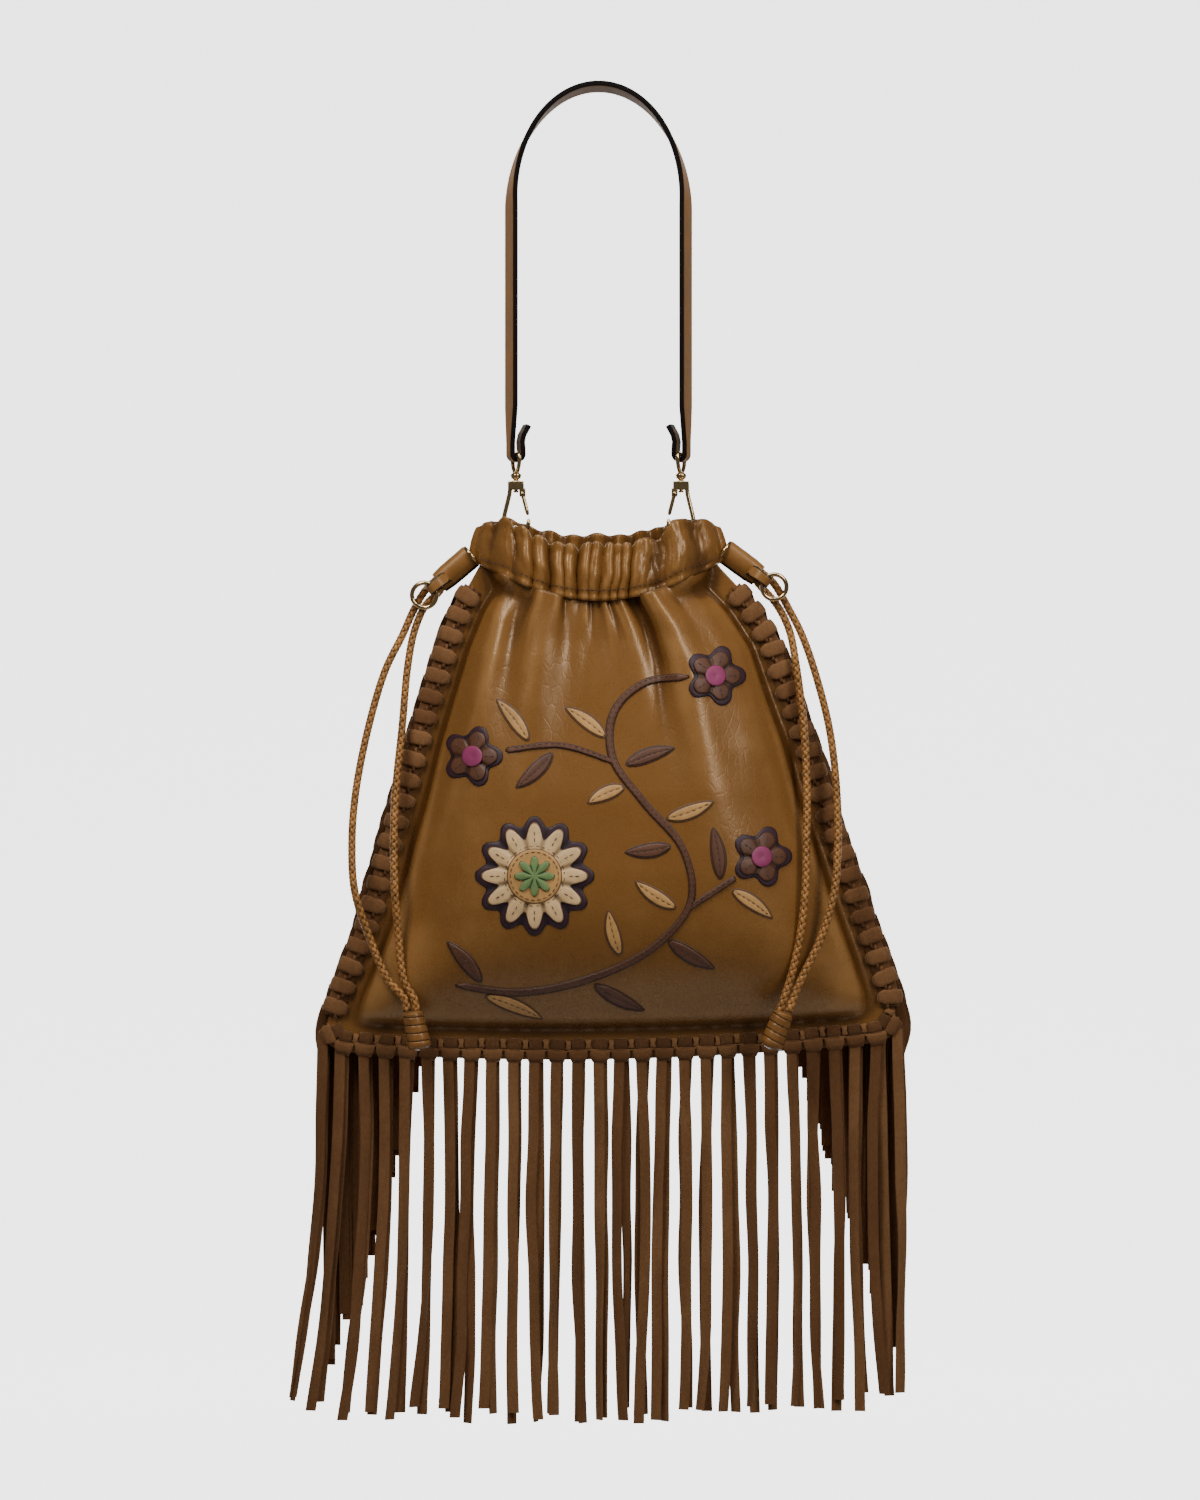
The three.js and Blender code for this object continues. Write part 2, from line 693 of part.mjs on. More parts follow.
function strap() {
  const fold = (side) => {
    const { inward, eye } = legFrame(side);
    const at = (a, z) => eye.clone().addScaledVector(inward, a).add(V(0, 0, z));
    const arc = [];
    for (let k = 0; k <= 6; k += 1) {
      const a = Math.PI * k / 6;
      arc.push(at(-TURN_R * Math.cos(a), -TURN_R * Math.sin(a)));
    }
    arc.push(at(TURN_R - 0.1, 3), at(TURN_R - 0.4, 6.5), at(TURN_R + 0.4, 10), at(TURN_R + 3.2, FOLD_L));
    return { arc, start: at(-TURN_R, 6) };
  };
  const left = fold(-1);
  const right = fold(1);
  const middle = [];
  const steps = 34;
  for (let i = 0; i <= steps; i += 1) {
    const { p, wide } = strapShape(lerp(0.055, 0.945, i / steps));
    middle.push({ p, wide });
  }
  const frames = [
    ...left.arc.slice().reverse().map((p) => ({ p, wide: legFrame(-1).wide })),
    { p: left.start, wide: legFrame(-1).wide },
    ...middle,
    { p: right.start, wide: legFrame(1).wide },
    ...right.arc.map((p) => ({ p, wide: legFrame(1).wide })),
  ];
  const folded = left.arc.length;
  const width = (i) => {
    const k = Math.min(i, frames.length - 1 - i);
    const taper = clamp((k - folded + 1) / 4);
    return lerp(EYE_W - 3.4, STRAP_W, smooth(taper));
  };
  return strip(frames.map((f) => f.p), (i) => frames[i].wide, width, STRAP_T);
}

// Swivel eye: a rounded ring with a knob and a headed pin under it.
const KNOB_TOP = -10.2;
const BLOCK_TOP = -14.2;
const BLOCK_H = 4.6;

function swivelEye(side) {
  const { wide, eye } = legFrame(side);
  const at = (a, z) => eye.clone().addScaledVector(wide, a).add(V(0, 0, z));
  const h = EYE_W / 2;
  const outline = [
    [-h + 1.2, 0], [0, 0], [h - 1.2, 0], [h, -0.8], [h + 0.4, -3], [h - 0.8, -6.4], [h - 3.2, -9],
    [0, -10.2],
    [-h + 3.2, -9], [-h + 0.8, -6.4], [-h - 0.4, -3], [-h, -0.8],
  ].map(([a, z]) => at(a, z));
  const ring = wire(outline, BAR_R, 8, true);
  const down = V(0, 0, -1);
  const knob = turned(at(0, KNOB_TOP + 0.6), down, [
    [0, 1.6], [0.8, 2.7], [2.6, 2.7], [3.6, 1.6], [4.2, PIN_R],
    [BLOCK_H + 4.9, PIN_R], [BLOCK_H + 5.0, 1.5], [BLOCK_H + 5.9, 1.5],
  ], 10);
  return fuse([ring, knob]);
}

// Frame of a hook: inward direction and the middle of its swivel block.
function hookFrame(side) {
  const { eye } = legFrame(side);
  const u = V(-side, 0, 0);
  const top = eye.clone().add(V(0, 0, BLOCK_TOP));
  const at = (a, z, y = 0) => top.clone().addScaledVector(u, a).add(V(0, y, z));
  return { u, at };
}

const GATE = { across: 3.4, drop: -BLOCK_H - 1.9 };

function hook(side) {
  const { u, at } = hookFrame(side);
  const down = V(0, 0, -1);
  const w = HOOK_W / 2;
  const bore = turned(at(0, 1), down, [[0, PIN_R + 0.35], [BLOCK_H + 2, PIN_R + 0.35]], 12);
  const head = block(at(0, -BLOCK_H / 2), u, 4.2, Y, 3.0, V(0, 0, 1), BLOCK_H / 2);
  const cheek = (y) => block(at(GATE.across, -BLOCK_H - 1.2, y), u, 1.6, Y, 0.6, V(0, 0, 1), 2.2);
  const hole = turned(at(GATE.across, GATE.drop, -6), Y, [[0, 1.1], [12, 1.1]], 10);
  const lip = [
    at(-3.1, -BLOCK_H + 0.8), at(-3.3, -BLOCK_H - 1.6), at(-w + 0.5, -BLOCK_H - HOOK_H * 0.55),
    at(-w, -BLOCK_H - HOOK_H * 0.70), at(-w + 1.3, -BLOCK_H - HOOK_H * 0.85), at(-2.4, -BLOCK_H - HOOK_H * 0.93),
    at(1.6, -BLOCK_H - HOOK_H * 0.93), at(w - 1.4, -BLOCK_H - HOOK_H * 0.87),
    at(w, -BLOCK_H - HOOK_H * 0.72), at(w + 0.1, -BLOCK_H - HOOK_H * 0.62),
  ];
  const body = wire(spline(lip, 17), WIRE_R, 7);
  const solid = toSolid(head)
    .add(toSolid(cheek(-2.4)))
    .add(toSolid(cheek(2.4)))
    .subtract(toSolid(bore))
    .subtract(toSolid(hole))
    .add(toSolid(body));
  return fromSolid(solid);
}

function gate(side) {
  const { at } = hookFrame(side);
  const w = HOOK_W / 2;
  const pin = turned(at(GATE.across, GATE.drop, -3.2), Y, [[0, 0.75], [6.4, 0.75]], 10);
  const boss = turned(at(GATE.across, GATE.drop, -1.45), Y, [[0, 1.5], [2.9, 1.5]], 10);
  const arm = wire([
    at(GATE.across, GATE.drop), at(lerp(GATE.across, w, 0.5), lerp(GATE.drop, -BLOCK_H - HOOK_H * 0.55, 0.5)),
    at(w - 0.2, -BLOCK_H - HOOK_H * 0.62 + WIRE_R + 0.6),
  ], 1.05, 8);
  return fuse([pin, boss, arm]);
}

// Ring that hangs on the hook, in the mouth.
function ringFrame(side) {
  const { at } = hookFrame(side);
  const bar = at(-0.4, -BLOCK_H - HOOK_H * 0.94);
  const turn = THREE.MathUtils.degToRad(18);
  const across = V(side * Math.sin(turn), Math.cos(turn), 0);
  const centre = bar.clone().add(V(0, 0, WIRE_R + 1.1 + GAP + 0.3 - RING_R));
  return { centre, across };
}

function circle(centre, a, b, radius, n) {
  const points = [];
  for (let k = 0; k < n; k += 1) {
    const t = 2 * Math.PI * k / n;
    points.push(centre.clone().addScaledVector(a, radius * Math.cos(t)).addScaledVector(b, radius * Math.sin(t)));
  }
  return points;
}

function hangerRing(side) {
  const { centre, across } = ringFrame(side);
  return wire(circle(centre, across, V(0, 0, 1), RING_R, 14), 1.1, 6, true);
}

// Leather loop that ties the ring to the side of the mouth.
function hangerLoop(side) {
  const { centre, across } = ringFrame(side);
  const out = V(0, 0, 0).crossVectors(across, V(0, 0, 1));
  if (out.x * side < 0) out.negate();
  const low = centre.clone().add(V(0, 0, -RING_R));
  const r = 1.1 + GAP + 0.6 + 0.7;
  const line = [];
  for (let k = 0; k <= 6; k += 1) {
    const a = Math.PI * k / 6;
    line.push(low.clone().addScaledVector(out, -r * Math.cos(a)).add(V(0, 0, r * Math.sin(a))));
  }
  const tail = (a, z) => low.clone().addScaledVector(out, a).add(V(0, 0, z));
  const half = [2.6, 2.3, 1.9];
  let seat = 5;
  for (let clear = true; clear && seat < 14; seat += 0.1) {
    for (const i of [-1, 1]) {
      for (const j of [-1, 1]) {
        for (const k of [-1, 0, 1]) {
          const q = tail(seat, -16.4).addScaledVector(out, i * half[0]).addScaledVector(across, j * half[1]);
          q.z += k * half[2];
          const room = Math.min(-frontY(q.x, q.z), backY(q.x, q.z)) - 2 * WALL;
          if (Math.abs(q.y) + GAP > room) clear = false;
        }
      }
    }
  }
  seat -= 0.1;
  const path = [
    tail(seat - 1.4, -15), tail(seat - 4.6, -8), tail(-r, -2), ...line, tail(r + 0.6, -3),
    tail(seat - 0.6, -9), tail(seat + 0.8, -15),
  ];
  const body = strip(path, () => across, 4.6, 1.4);
  const foot = block(tail(seat, -16.4), out, half[0], across, half[1], V(0, 0, 1), half[2]);
  return fuse([body, foot]);
}

// Side tabs: how far past the mouth's corner and above its seam each sleeve
// starts, and the way it points, degrees.
const TABS = {
  left: { side: -1, past: 6.5, above: 2.1, slope: -40.3 },
  right: { side: 1, past: 6.4, above: 4.7, slope: -36.2 },
};
const TAB_L = 21;

function tabFrame(name) {
  const { side, past, above, slope } = TABS[name];
  const start = V(edges(0)[name] + side * past, 0, SEAM_Z + above);
  const a = THREE.MathUtils.degToRad(slope);
  const axis = V(side * Math.cos(a), 0, Math.sin(a));
  const up = V(-side * Math.sin(a), 0, Math.cos(a));
  const at = (s, p, y) => start.clone().addScaledVector(axis, s).addScaledVector(up, p).add(V(0, y, 0));
  return { side, axis, up, at };
}

const RING_WIRE = 1.2;
const RING_Y = -6.0;
const RING_S = TAB_L + 3.5 + SIDE_RING_R;

function cordSleeve(name) {
  const { at, up } = tabFrame(name);
  const shape = (s, w, d, c) => {
    const h = w / 2;
    const y = d / 2;
    return [[-h + c, -y], [h - c, -y], [h, -y + c], [h, y - c], [h - c, y], [-h + c, y], [-h, y - c], [-h, -y + c]]
      .map(([p, q]) => at(s, p, q));
  };
  const outer = sweep([shape(0, TAB_W, TAB_D, 1.4), shape(TAB_L * 0.8, TAB_W, TAB_D, 1.4), shape(TAB_L, TAB_W - 2, TAB_D, 1.4)]);
  const hollow = sweep([
    shape(-2, TAB_W - 2 * TAB_WALL, TAB_D - 2 * TAB_WALL, 0.4),
    shape(TAB_L + 2, TAB_W - 2 * TAB_WALL, TAB_D - 2 * TAB_WALL, 0.4),
  ]);
  const tube = toSolid(outer).subtract(toSolid(hollow));
  const r = RING_WIRE + GAP + 0.8 + TAB_WALL / 2;
  const sw = RING_S - SIDE_RING_R;
  const path = [at(TAB_L - 4, 0, -TAB_D / 2 + TAB_WALL / 2), at(TAB_L + 1, 0, RING_Y + r - 0.1)];
  for (let k = 0; k <= 6; k += 1) {
    const a = Math.PI * k / 6;
    path.push(at(sw + r * Math.sin(a), 0, RING_Y + r * Math.cos(a)));
  }
  path.push(at(sw - 4, 0, RING_Y - r + 0.6), at(sw - 9, 0, -TAB_D / 2 - 0.4));
  const tongue = strip(path, () => up, 5.6, TAB_WALL);
  return fromSolid(tube.add(toSolid(tongue)));
}

function sideRing(name) {
  const { at, axis, up } = tabFrame(name);
  const lean = THREE.MathUtils.degToRad(8);
  const b = up.clone();
  const a = axis.clone().multiplyScalar(Math.cos(lean)).add(V(0, Math.sin(lean), 0));
  return wire(circle(at(RING_S, 0, RING_Y + SIDE_RING_R * Math.sin(lean)), a, b, SIDE_RING_R, 18), RING_WIRE, 7, true);
}

function eyelet(name) {
  const { at, up } = tabFrame(name);
  return wire(circle(at(-1.3, 0, 0), Y, up, EYELET_R, 14), 0.9, 6, true);
}

// Drawstrings: shares of the way down to the cord end, places across as shares
// of BAG_W, and how far forward each hangs.
const CORDS = {
  columns: ['down', 'leftOuter', 'leftInner', 'rightInner', 'rightOuter', 'forward'],
  rows: [
    [0.00, -0.3252, -0.3034, 0.3134, 0.3359, 0.0],
    [0.06, -0.3436, -0.3221, 0.3342, 0.3567, 2.0],
    [0.15, -0.3738, -0.3342, 0.3463, 0.3785, 6.0],
    [0.30, -0.4040, -0.3436, 0.3594, 0.4047, 10.0],
    [0.46, -0.4248, -0.3547, 0.3644, 0.4168, 15.0],
    [0.58, -0.4302, -0.3570, 0.3631, 0.4178, 20.0],
    [0.70, -0.4248, -0.3550, 0.3604, 0.4111, 25.0],
    [0.82, -0.3987, -0.3487, 0.3507, 0.3866, 30.0],
    [0.92, -0.3681, -0.3403, 0.3342, 0.3530, 34.0],
    [1.00, -0.3342, -0.3235, 0.3168, 0.3275, 37.0],
  ],
};
const CORD_TOP = SEAM_Z - 26;
const CORD_END = SEAM_Z - PANEL_H * 0.9196;
const ENDS = {
  left: { from: V(-0.3255 * BAG_W, 0, CORD_END), lean: V(0.22, 0, -1) },
  right: { from: V(0.3228 * BAG_W, 0, CORD_END), lean: V(-0.36, 0, -1) },
};

function endFrame(name) {
  const { from, lean } = ENDS[name];
  const axis = lean.clone().normalize();
  let y = 0;
  for (const strand of ['Outer', 'Inner']) {
    for (const t of [0.7, 0.76, 0.82, 0.88, 0.94, 1]) {
      const x = look(CORDS, t, name + strand) * BAG_W;
      y = Math.min(y, frontY(x, lerp(CORD_TOP, CORD_END, t)) - CORD_D / 2 - 1.2);
    }
  }
  const p = from.clone();
  p.y = y;
  return { p, axis };
}

function cordPath(name, strand) {
  const { side, at, axis } = tabFrame(name);
  const outer = strand === 'Outer';
  const shift = outer ? 2.35 : -2.35;
  const first = at(1.5, shift, 0);
  const points = [first, at(TAB_L * 0.5, shift, 0), at(TAB_L - 1, shift, 0)];
  points.push(outer ? at(TAB_L + 8, shift - 0.6, 0.4) : at(TAB_L + 3.4, shift - 1.2, 0.4));
  const end = endFrame(name);
  const rows = CORDS.rows.map((row) => row[0]);
  for (const t of rows) {
    const x = look(CORDS, t, name + strand) * BAG_W;
    const z = lerp(CORD_TOP, CORD_END, t) + (outer ? 0 : 3 * (1 - t));
    let y = -look(CORDS, t, 'forward');
    const { left, right } = edges(find(x, z).v);
    const spread = t > 0.1 ? 9 : 0;
    if (x > left - spread && x < right + spread) {
      for (const dz of [-6, 0, 6]) y = Math.min(y, frontY(x, z + dz) - CORD_D / 2 - 1.2);
      y = Math.min(y, -(BAND_OUT + KNOT_T + CORD_D / 2 + 0.8));
    }
    if (t < 0.999) points.push(V(x, t > 0.8 ? end.p.y : y, z));
  }
  const spread = outer ? side : -side;
  const top = end.p.clone().addScaledVector(end.axis, -GAP - 0.1).add(V(spread * 2.45, 0, 0));
  points.push(top.clone().addScaledVector(end.axis, -6), top);
  return { points, axis };
}

function cord(name, strand) {
  const { points } = cordPath(name, strand);
  return wire(spline(points, 24), CORD_D / 2, 8);
}

function cordEnd(name) {
  const { p, axis } = endFrame(name);
  return turned(p.clone().addScaledVector(axis, 0.6), axis, [
    [0, END_R - 1.4], [1.6, END_R], [END_L * 0.5, END_R], [END_L - 3, END_R - 0.4], [END_L - 1.6, END_R - 1.6],
  ], 10);
}

// Appliqué: thin leather shapes that lie on the front panel.
// Places are shares of BAG_W across and of PANEL_H down.
const ART_T = 1.0;
const ART_LIFT = 0.55;
const artPoint = (across, down) => ({ x: across * BAG_W, z: SEAM_Z - down * PANEL_H });

const laid = (x, z, lift) => V(x, frontY(x, z) - lift, z);

function triangles(geometry) {
  const at = geometry.attributes.position;
  const index = geometry.index.array;
  const list = [];
  for (let i = 0; i < index.length; i += 3) {
    list.push([0, 1, 2].map((k) => V(0, 0, 0).fromBufferAttribute(at, index[i + k])));
  }
  return list;
}

// Foremost face of a row of triangles at a place seen from the front.
function faceAt(list, x, z) {
  let y = Infinity;
  for (const [a, b, c] of list) {
    const area = (b.x - a.x) * (c.z - a.z) - (c.x - a.x) * (b.z - a.z);
    if (Math.abs(area) < 1e-6) continue;
    const s = ((x - a.x) * (c.z - a.z) - (c.x - a.x) * (z - a.z)) / area;
    const t = ((b.x - a.x) * (z - a.z) - (x - a.x) * (b.z - a.z)) / area;
    if (s >= 0 && t >= 0 && s + t <= 1) y = Math.min(y, a.y + s * (b.y - a.y) + t * (c.y - a.y));
  }
  return y;
}

// Moves a laid piece back or forward until it clears what lies under it by a small gap.
function rest(piece, under) {
  const corners = triangles(piece);
  const xs = corners.flat().map((p) => p.x);
  const zs = corners.flat().map((p) => p.z);
  const [x0, x1, z0, z1] = [Math.min(...xs), Math.max(...xs), Math.min(...zs), Math.max(...zs)];
  const below = triangles(under).filter((t) => (
    t.some((p) => p.x > x0 - 1) && t.some((p) => p.x < x1 + 1) && t.some((p) => p.z > z0 - 1) && t.some((p) => p.z < z1 + 1)
  ));
  let clear = Infinity;
  const n = 6;
  for (const [a, b, c] of corners) {
    for (let i = 0; i <= n; i += 1) {
      for (let j = 0; j <= n - i; j += 1) {
        const p = a.clone().multiplyScalar((n - i - j) / n).addScaledVector(b, i / n).addScaledVector(c, j / n);
        clear = Math.min(clear, faceAt(below, p.x, p.z) - p.y);
      }
    }
  }
  return piece.translate(0, clear - GAP - 0.12, 0);
}

function ribbon(path, half, lift, columns = 2) {
  const upper = [];
  const lower = [];
  path.forEach((p, i) => {
    const a = path[Math.max(0, i - 1)];
    const b = path[Math.min(path.length - 1, i + 1)];
    const dx = b.x - a.x;
    const dz = b.z - a.z;
    const size = Math.hypot(dx, dz);
    const w = half(i / (path.length - 1));
    const up = [];
    const low = [];
    for (let c = 0; c <= columns; c += 1) {
      const s = lerp(-1, 1, c / columns) * w;
      const x = p.x - dz / size * s;
      const z = p.z + dx / size * s;
      up.push(laid(x, z, lift + ART_T));
      low.push(laid(x, z, lift));
    }
    upper.push(up);
    lower.push(low);
  });
  return slab(upper, lower);
}

function disc(centre, radius, n, rings, lift, thickness = ART_T) {
  const points = [laid(centre.x, centre.z, lift + thickness), laid(centre.x, centre.z, lift)];
  const faces = [];
  for (const layer of [lift + thickness, lift]) {
    for (let r = 1; r <= rings; r += 1) {
      for (let k = 0; k < n; k += 1) {
        const a = 2 * Math.PI * k / n;
        const size = radius(a) * r / rings;
        points.push(laid(centre.x + size * Math.cos(a), centre.z + size * Math.sin(a), layer));
      }
    }
  }
  const at = (side, r, k) => 2 + side * rings * n + (r - 1) * n + (k % n);
  for (let k = 0; k < n; k += 1) {
    faces.push([0, at(0, 1, k), at(0, 1, k + 1)], [1, at(1, 1, k + 1), at(1, 1, k)]);
    for (let r = 1; r < rings; r += 1) {
      faces.push([at(0, r, k), at(0, r + 1, k), at(0, r + 1, k + 1)], [at(0, r, k), at(0, r + 1, k + 1), at(0, r, k + 1)]);
      faces.push([at(1, r, k), at(1, r + 1, k + 1), at(1, r + 1, k)], [at(1, r, k), at(1, r, k + 1), at(1, r + 1, k + 1)]);
    }
    faces.push([at(0, rings, k), at(1, rings, k), at(1, rings, k + 1)], [at(0, rings, k), at(1, rings, k + 1), at(0, rings, k + 1)]);
  }
  return closed(points, faces);
}

const curve2 = (list, steps) => {
  const points = list.map(([a, d]) => {
    const { x, z } = artPoint(a, d);
    return V(x, 0, z);
  });
  return spline(points, steps).map((p) => ({ x: p.x, z: p.z }));
};

const VINE = [
  [-0.250, 0.867], [-0.137, 0.882], [-0.015, 0.853], [0.098, 0.786], [0.160, 0.694], [0.146, 0.588],
  [0.076, 0.490], [0.024, 0.402], [0.027, 0.310], [0.080, 0.251], [0.158, 0.238],
];
const BRANCHES = [
  [[0.152, 0.712], [0.198, 0.677], [0.238, 0.646]],
  [[0.030, 0.412], [-0.067, 0.378], [-0.162, 0.388]],
];

// Leaves: base and tip, and which leather they are cut from.
const LEAVES = {
  columns: ['baseAcross', 'baseDown', 'tipAcross', 'tipDown', 'tone'],
  rows: [
    [-0.204, 0.861, -0.264, 0.777, 'brown'],
    [-0.198, 0.889, -0.097, 0.938, 'tan'],
    [-0.008, 0.865, 0.081, 0.920, 'brown'],
    [0.038, 0.805, 0.017, 0.711, 'tan'],
    [0.121, 0.774, 0.203, 0.832, 'brown'],
    [0.135, 0.708, 0.063, 0.653, 'tan'],
    [0.211, 0.650, 0.198, 0.544, 'brown'],
    [0.231, 0.672, 0.303, 0.730, 'tan'],
    [0.117, 0.527, 0.201, 0.491, 'tan'],
    [0.126, 0.582, 0.045, 0.595, 'brown'],
    [0.046, 0.462, -0.020, 0.496, 'tan'],
    [0.047, 0.418, 0.133, 0.383, 'brown'],
    [0.013, 0.362, -0.059, 0.300, 'tan'],
    [-0.080, 0.393, -0.144, 0.465, 'brown'],
    [-0.121, 0.369, -0.178, 0.283, 'tan'],
  ],
};
const LEAF_HALF = 0.0140;

const DAISY = { across: -0.111, down: 0.643, size: 0.104 };
const BLOSSOMS = [
  { across: 0.204, down: 0.236 },
  { across: 0.284, down: 0.604 },
  { across: -0.220, down: 0.400 },
];
const BLOSSOM_SIZE = 0.054;

const COLOURS = {
  leather: { color: 0x8b5a26, roughness: 0.42, metalness: 0 },
  suede: { color: 0x6f4525, roughness: 0.95, metalness: 0 },
  strap: { color: 0x87551f, roughness: 0.45, metalness: 0 },
  metal: { color: 0xc9a25e, roughness: 0.25, metalness: 1 },
  braid: { color: 0x8a5c2b, roughness: 0.55, metalness: 0 },
  cream: { color: 0xe6c28c, roughness: 0.6, metalness: 0 },
  tan: { color: 0xd3a35f, roughness: 0.6, metalness: 0 },
  brown: { color: 0x6a4533, roughness: 0.65, metalness: 0 },
  dark: { color: 0x3b2a36, roughness: 0.6, metalness: 0 },
  pink: { color: 0xa83f78, roughness: 0.6, metalness: 0 },
  green: { color: 0x6f9559, roughness: 0.6, metalness: 0 },
};

const bag = new THREE.Group();
bag.name = 'fringe_shoulder_bag';

function put(name, tone, geometry) {
  const shape = geometry.index ? geometry.toNonIndexed() : geometry;
  shape.computeVertexNormals();
  const mesh = new THREE.Mesh(shape, new THREE.MeshStandardMaterial(COLOURS[tone]));
  mesh.material.name = tone;
  mesh.name = name;
  bag.add(mesh);
}

const front = panel(-1, 17, FOLDS, DENTS);
put('front_panel', 'leather', front);
put('back_panel', 'leather', panel(1, 12, BACK_FOLDS, []));
put('casing', 'leather', casing());
put('bottom_fringe', 'suede', bottomFringe());
put('left_fringe', 'suede', sideFringe('left'));
put('right_fringe', 'suede', sideFringe('right'));
put('strap', 'strap', strap());
for (const [name, side] of [['left', -1], ['right', 1]]) {
  put(`${name}_swivel_eye`, 'metal', swivelEye(side));
  put(`${name}_hook`, 'metal', hook(side));
  put(`${name}_gate`, 'metal', gate(side));
  put(`${name}_hanger_ring`, 'metal', hangerRing(side));
  put(`${name}_hanger_loop`, 'leather', hangerLoop(side));
  put(`${name}_eyelet`, 'metal', eyelet(name));
  put(`${name}_cord_sleeve`, 'leather', cordSleeve(name));
  put(`${name}_side_ring`, 'metal', sideRing(name));
  put(`${name}_outer_cord`, 'braid', cord(name, 'Outer'));
  put(`${name}_inner_cord`, 'braid', cord(name, 'Inner'));
  put(`${name}_cord_end`, 'braid', cordEnd(name));
}

const VINE_HALF = 2.1;
const stems = [ribbon(curve2(VINE, 34), () => VINE_HALF, ART_LIFT, 1)];
for (const line of BRANCHES) stems.push(ribbon(curve2(line, 6), () => VINE_HALF * 0.8, ART_LIFT + 0.02, 1));
put('vine', 'brown', rest(fuse(stems), front));

LEAVES.rows.forEach(([a0, d0, a1, d1, tone], k) => {
  const base = artPoint(a0, d0);
  const tip = artPoint(a1, d1);
  const path = [0, 0.25, 0.5, 0.75, 1].map((t) => ({ x: lerp(base.x, tip.x, t), z: lerp(base.z, tip.z, t) }));
  const half = (t) => LEAF_HALF * BAG_W * Math.max(0.12, Math.sin(Math.PI * t ** 0.9) ** 0.8);
  const number = String(k + 1).padStart(2, '0');
  put(`leaf_${number}`, tone, rest(ribbon(path, half, ART_LIFT, 2), front));
});

// Layers of one flower from the panel up, each resting on the one below.
function stack(name, layers) {
  let under = front;
  for (const [part, tone, shape] of layers) {
    under = rest(shape, under);
    put(`${name}_${part}`, tone, under);
  }
}

const step = ART_T + GAP;
const daisy = artPoint(DAISY.across, DAISY.down);
const daisyR = DAISY.size * BAG_W;
const petal = (n, deep) => (a) => 1 - deep * (0.5 - 0.5 * Math.cos(n * a));
const scallop = petal(12, 0.16);
const points = petal(12, 0.3);
stack('daisy', [
  ['backing', 'dark', disc(daisy, (a) => daisyR * scallop(a), 36, 2, ART_LIFT)],
  ['petals', 'cream', disc(daisy, (a) => daisyR * 0.9 * points(a), 36, 2, ART_LIFT + step)],
  ['disc', 'tan', disc(daisy, () => daisyR * 0.46, 16, 1, ART_LIFT + 2 * step)],
  ['star', 'green', disc(daisy, (a) => daisyR * 0.34 * petal(8, 0.4)(a), 16, 1, ART_LIFT + 3 * step)],
]);

BLOSSOMS.forEach(({ across, down }, k) => {
  const middle = artPoint(across, down);
  const r = BLOSSOM_SIZE * BAG_W;
  const lobes = petal(5, 0.3);
  stack(`blossom_${k + 1}`, [
    ['backing', 'dark', disc(middle, (a) => r * lobes(a), 20, 1, ART_LIFT)],
    ['petals', 'brown', disc(middle, (a) => r * 0.82 * lobes(a), 20, 1, ART_LIFT + step)],
    ['eye', 'pink', disc(middle, () => r * 0.34, 10, 1, ART_LIFT + 2 * step)],
  ]);
});

export default bag;
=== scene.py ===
import math

import bmesh
import bpy
import numpy as np
from mathutils import Matrix, Vector


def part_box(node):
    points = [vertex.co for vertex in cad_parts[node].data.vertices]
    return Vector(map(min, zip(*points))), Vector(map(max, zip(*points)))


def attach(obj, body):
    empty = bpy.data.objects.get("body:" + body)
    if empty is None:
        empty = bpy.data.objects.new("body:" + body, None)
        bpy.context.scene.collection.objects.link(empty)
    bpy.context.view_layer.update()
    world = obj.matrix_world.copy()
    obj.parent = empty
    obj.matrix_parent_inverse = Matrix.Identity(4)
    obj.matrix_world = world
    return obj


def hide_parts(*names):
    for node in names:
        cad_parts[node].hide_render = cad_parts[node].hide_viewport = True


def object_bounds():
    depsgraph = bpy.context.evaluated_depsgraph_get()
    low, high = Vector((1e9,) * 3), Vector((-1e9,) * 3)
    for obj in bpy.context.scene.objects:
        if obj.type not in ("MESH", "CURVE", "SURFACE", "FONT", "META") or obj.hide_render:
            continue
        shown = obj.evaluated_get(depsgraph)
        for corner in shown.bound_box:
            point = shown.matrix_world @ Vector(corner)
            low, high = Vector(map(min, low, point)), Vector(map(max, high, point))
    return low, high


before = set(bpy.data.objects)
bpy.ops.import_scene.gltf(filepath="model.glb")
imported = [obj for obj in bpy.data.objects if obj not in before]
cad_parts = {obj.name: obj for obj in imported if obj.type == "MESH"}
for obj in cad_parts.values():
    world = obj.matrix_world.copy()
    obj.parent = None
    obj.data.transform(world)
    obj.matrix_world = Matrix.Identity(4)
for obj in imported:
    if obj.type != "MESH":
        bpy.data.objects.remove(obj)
CAD_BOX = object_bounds()

bl_info = {
    "name": "Fringed shoulder bag",
    "version": (1, 0, 0),
    "blender": (4, 5, 0),
    "location": "View3D > Sidebar > Bag",
    "description": "Builds the leather, suede, cords, metal and appliqué of a fringed drawstring bag",
    "category": "Object",
}

MM = 0.001
SIDES = (("left", -1), ("right", 1))
FLOOR_GLOW = 2.9    # how much the paper behind the bag shines by itself
FLOOR_BELOW = 0.85  # how far the paper lies under the bag, metres
WALL_AWAY = 3.1     # how far behind the bag the paper starts to rise
WALL_BEND = 0.5     # radius of that rise
CAMERA_AWAY = 3.2
# painted shade: where the pouch is painted darker toward its bottom, and by what share
LOW_SHADE_TOP, LOW_SHADE_BOTTOM, LOW_SHADE_SHARE = 0.36, 0.47, 0.06
BRAID_STEP = 0.7    # millimetres between the sections of a strand

# settings


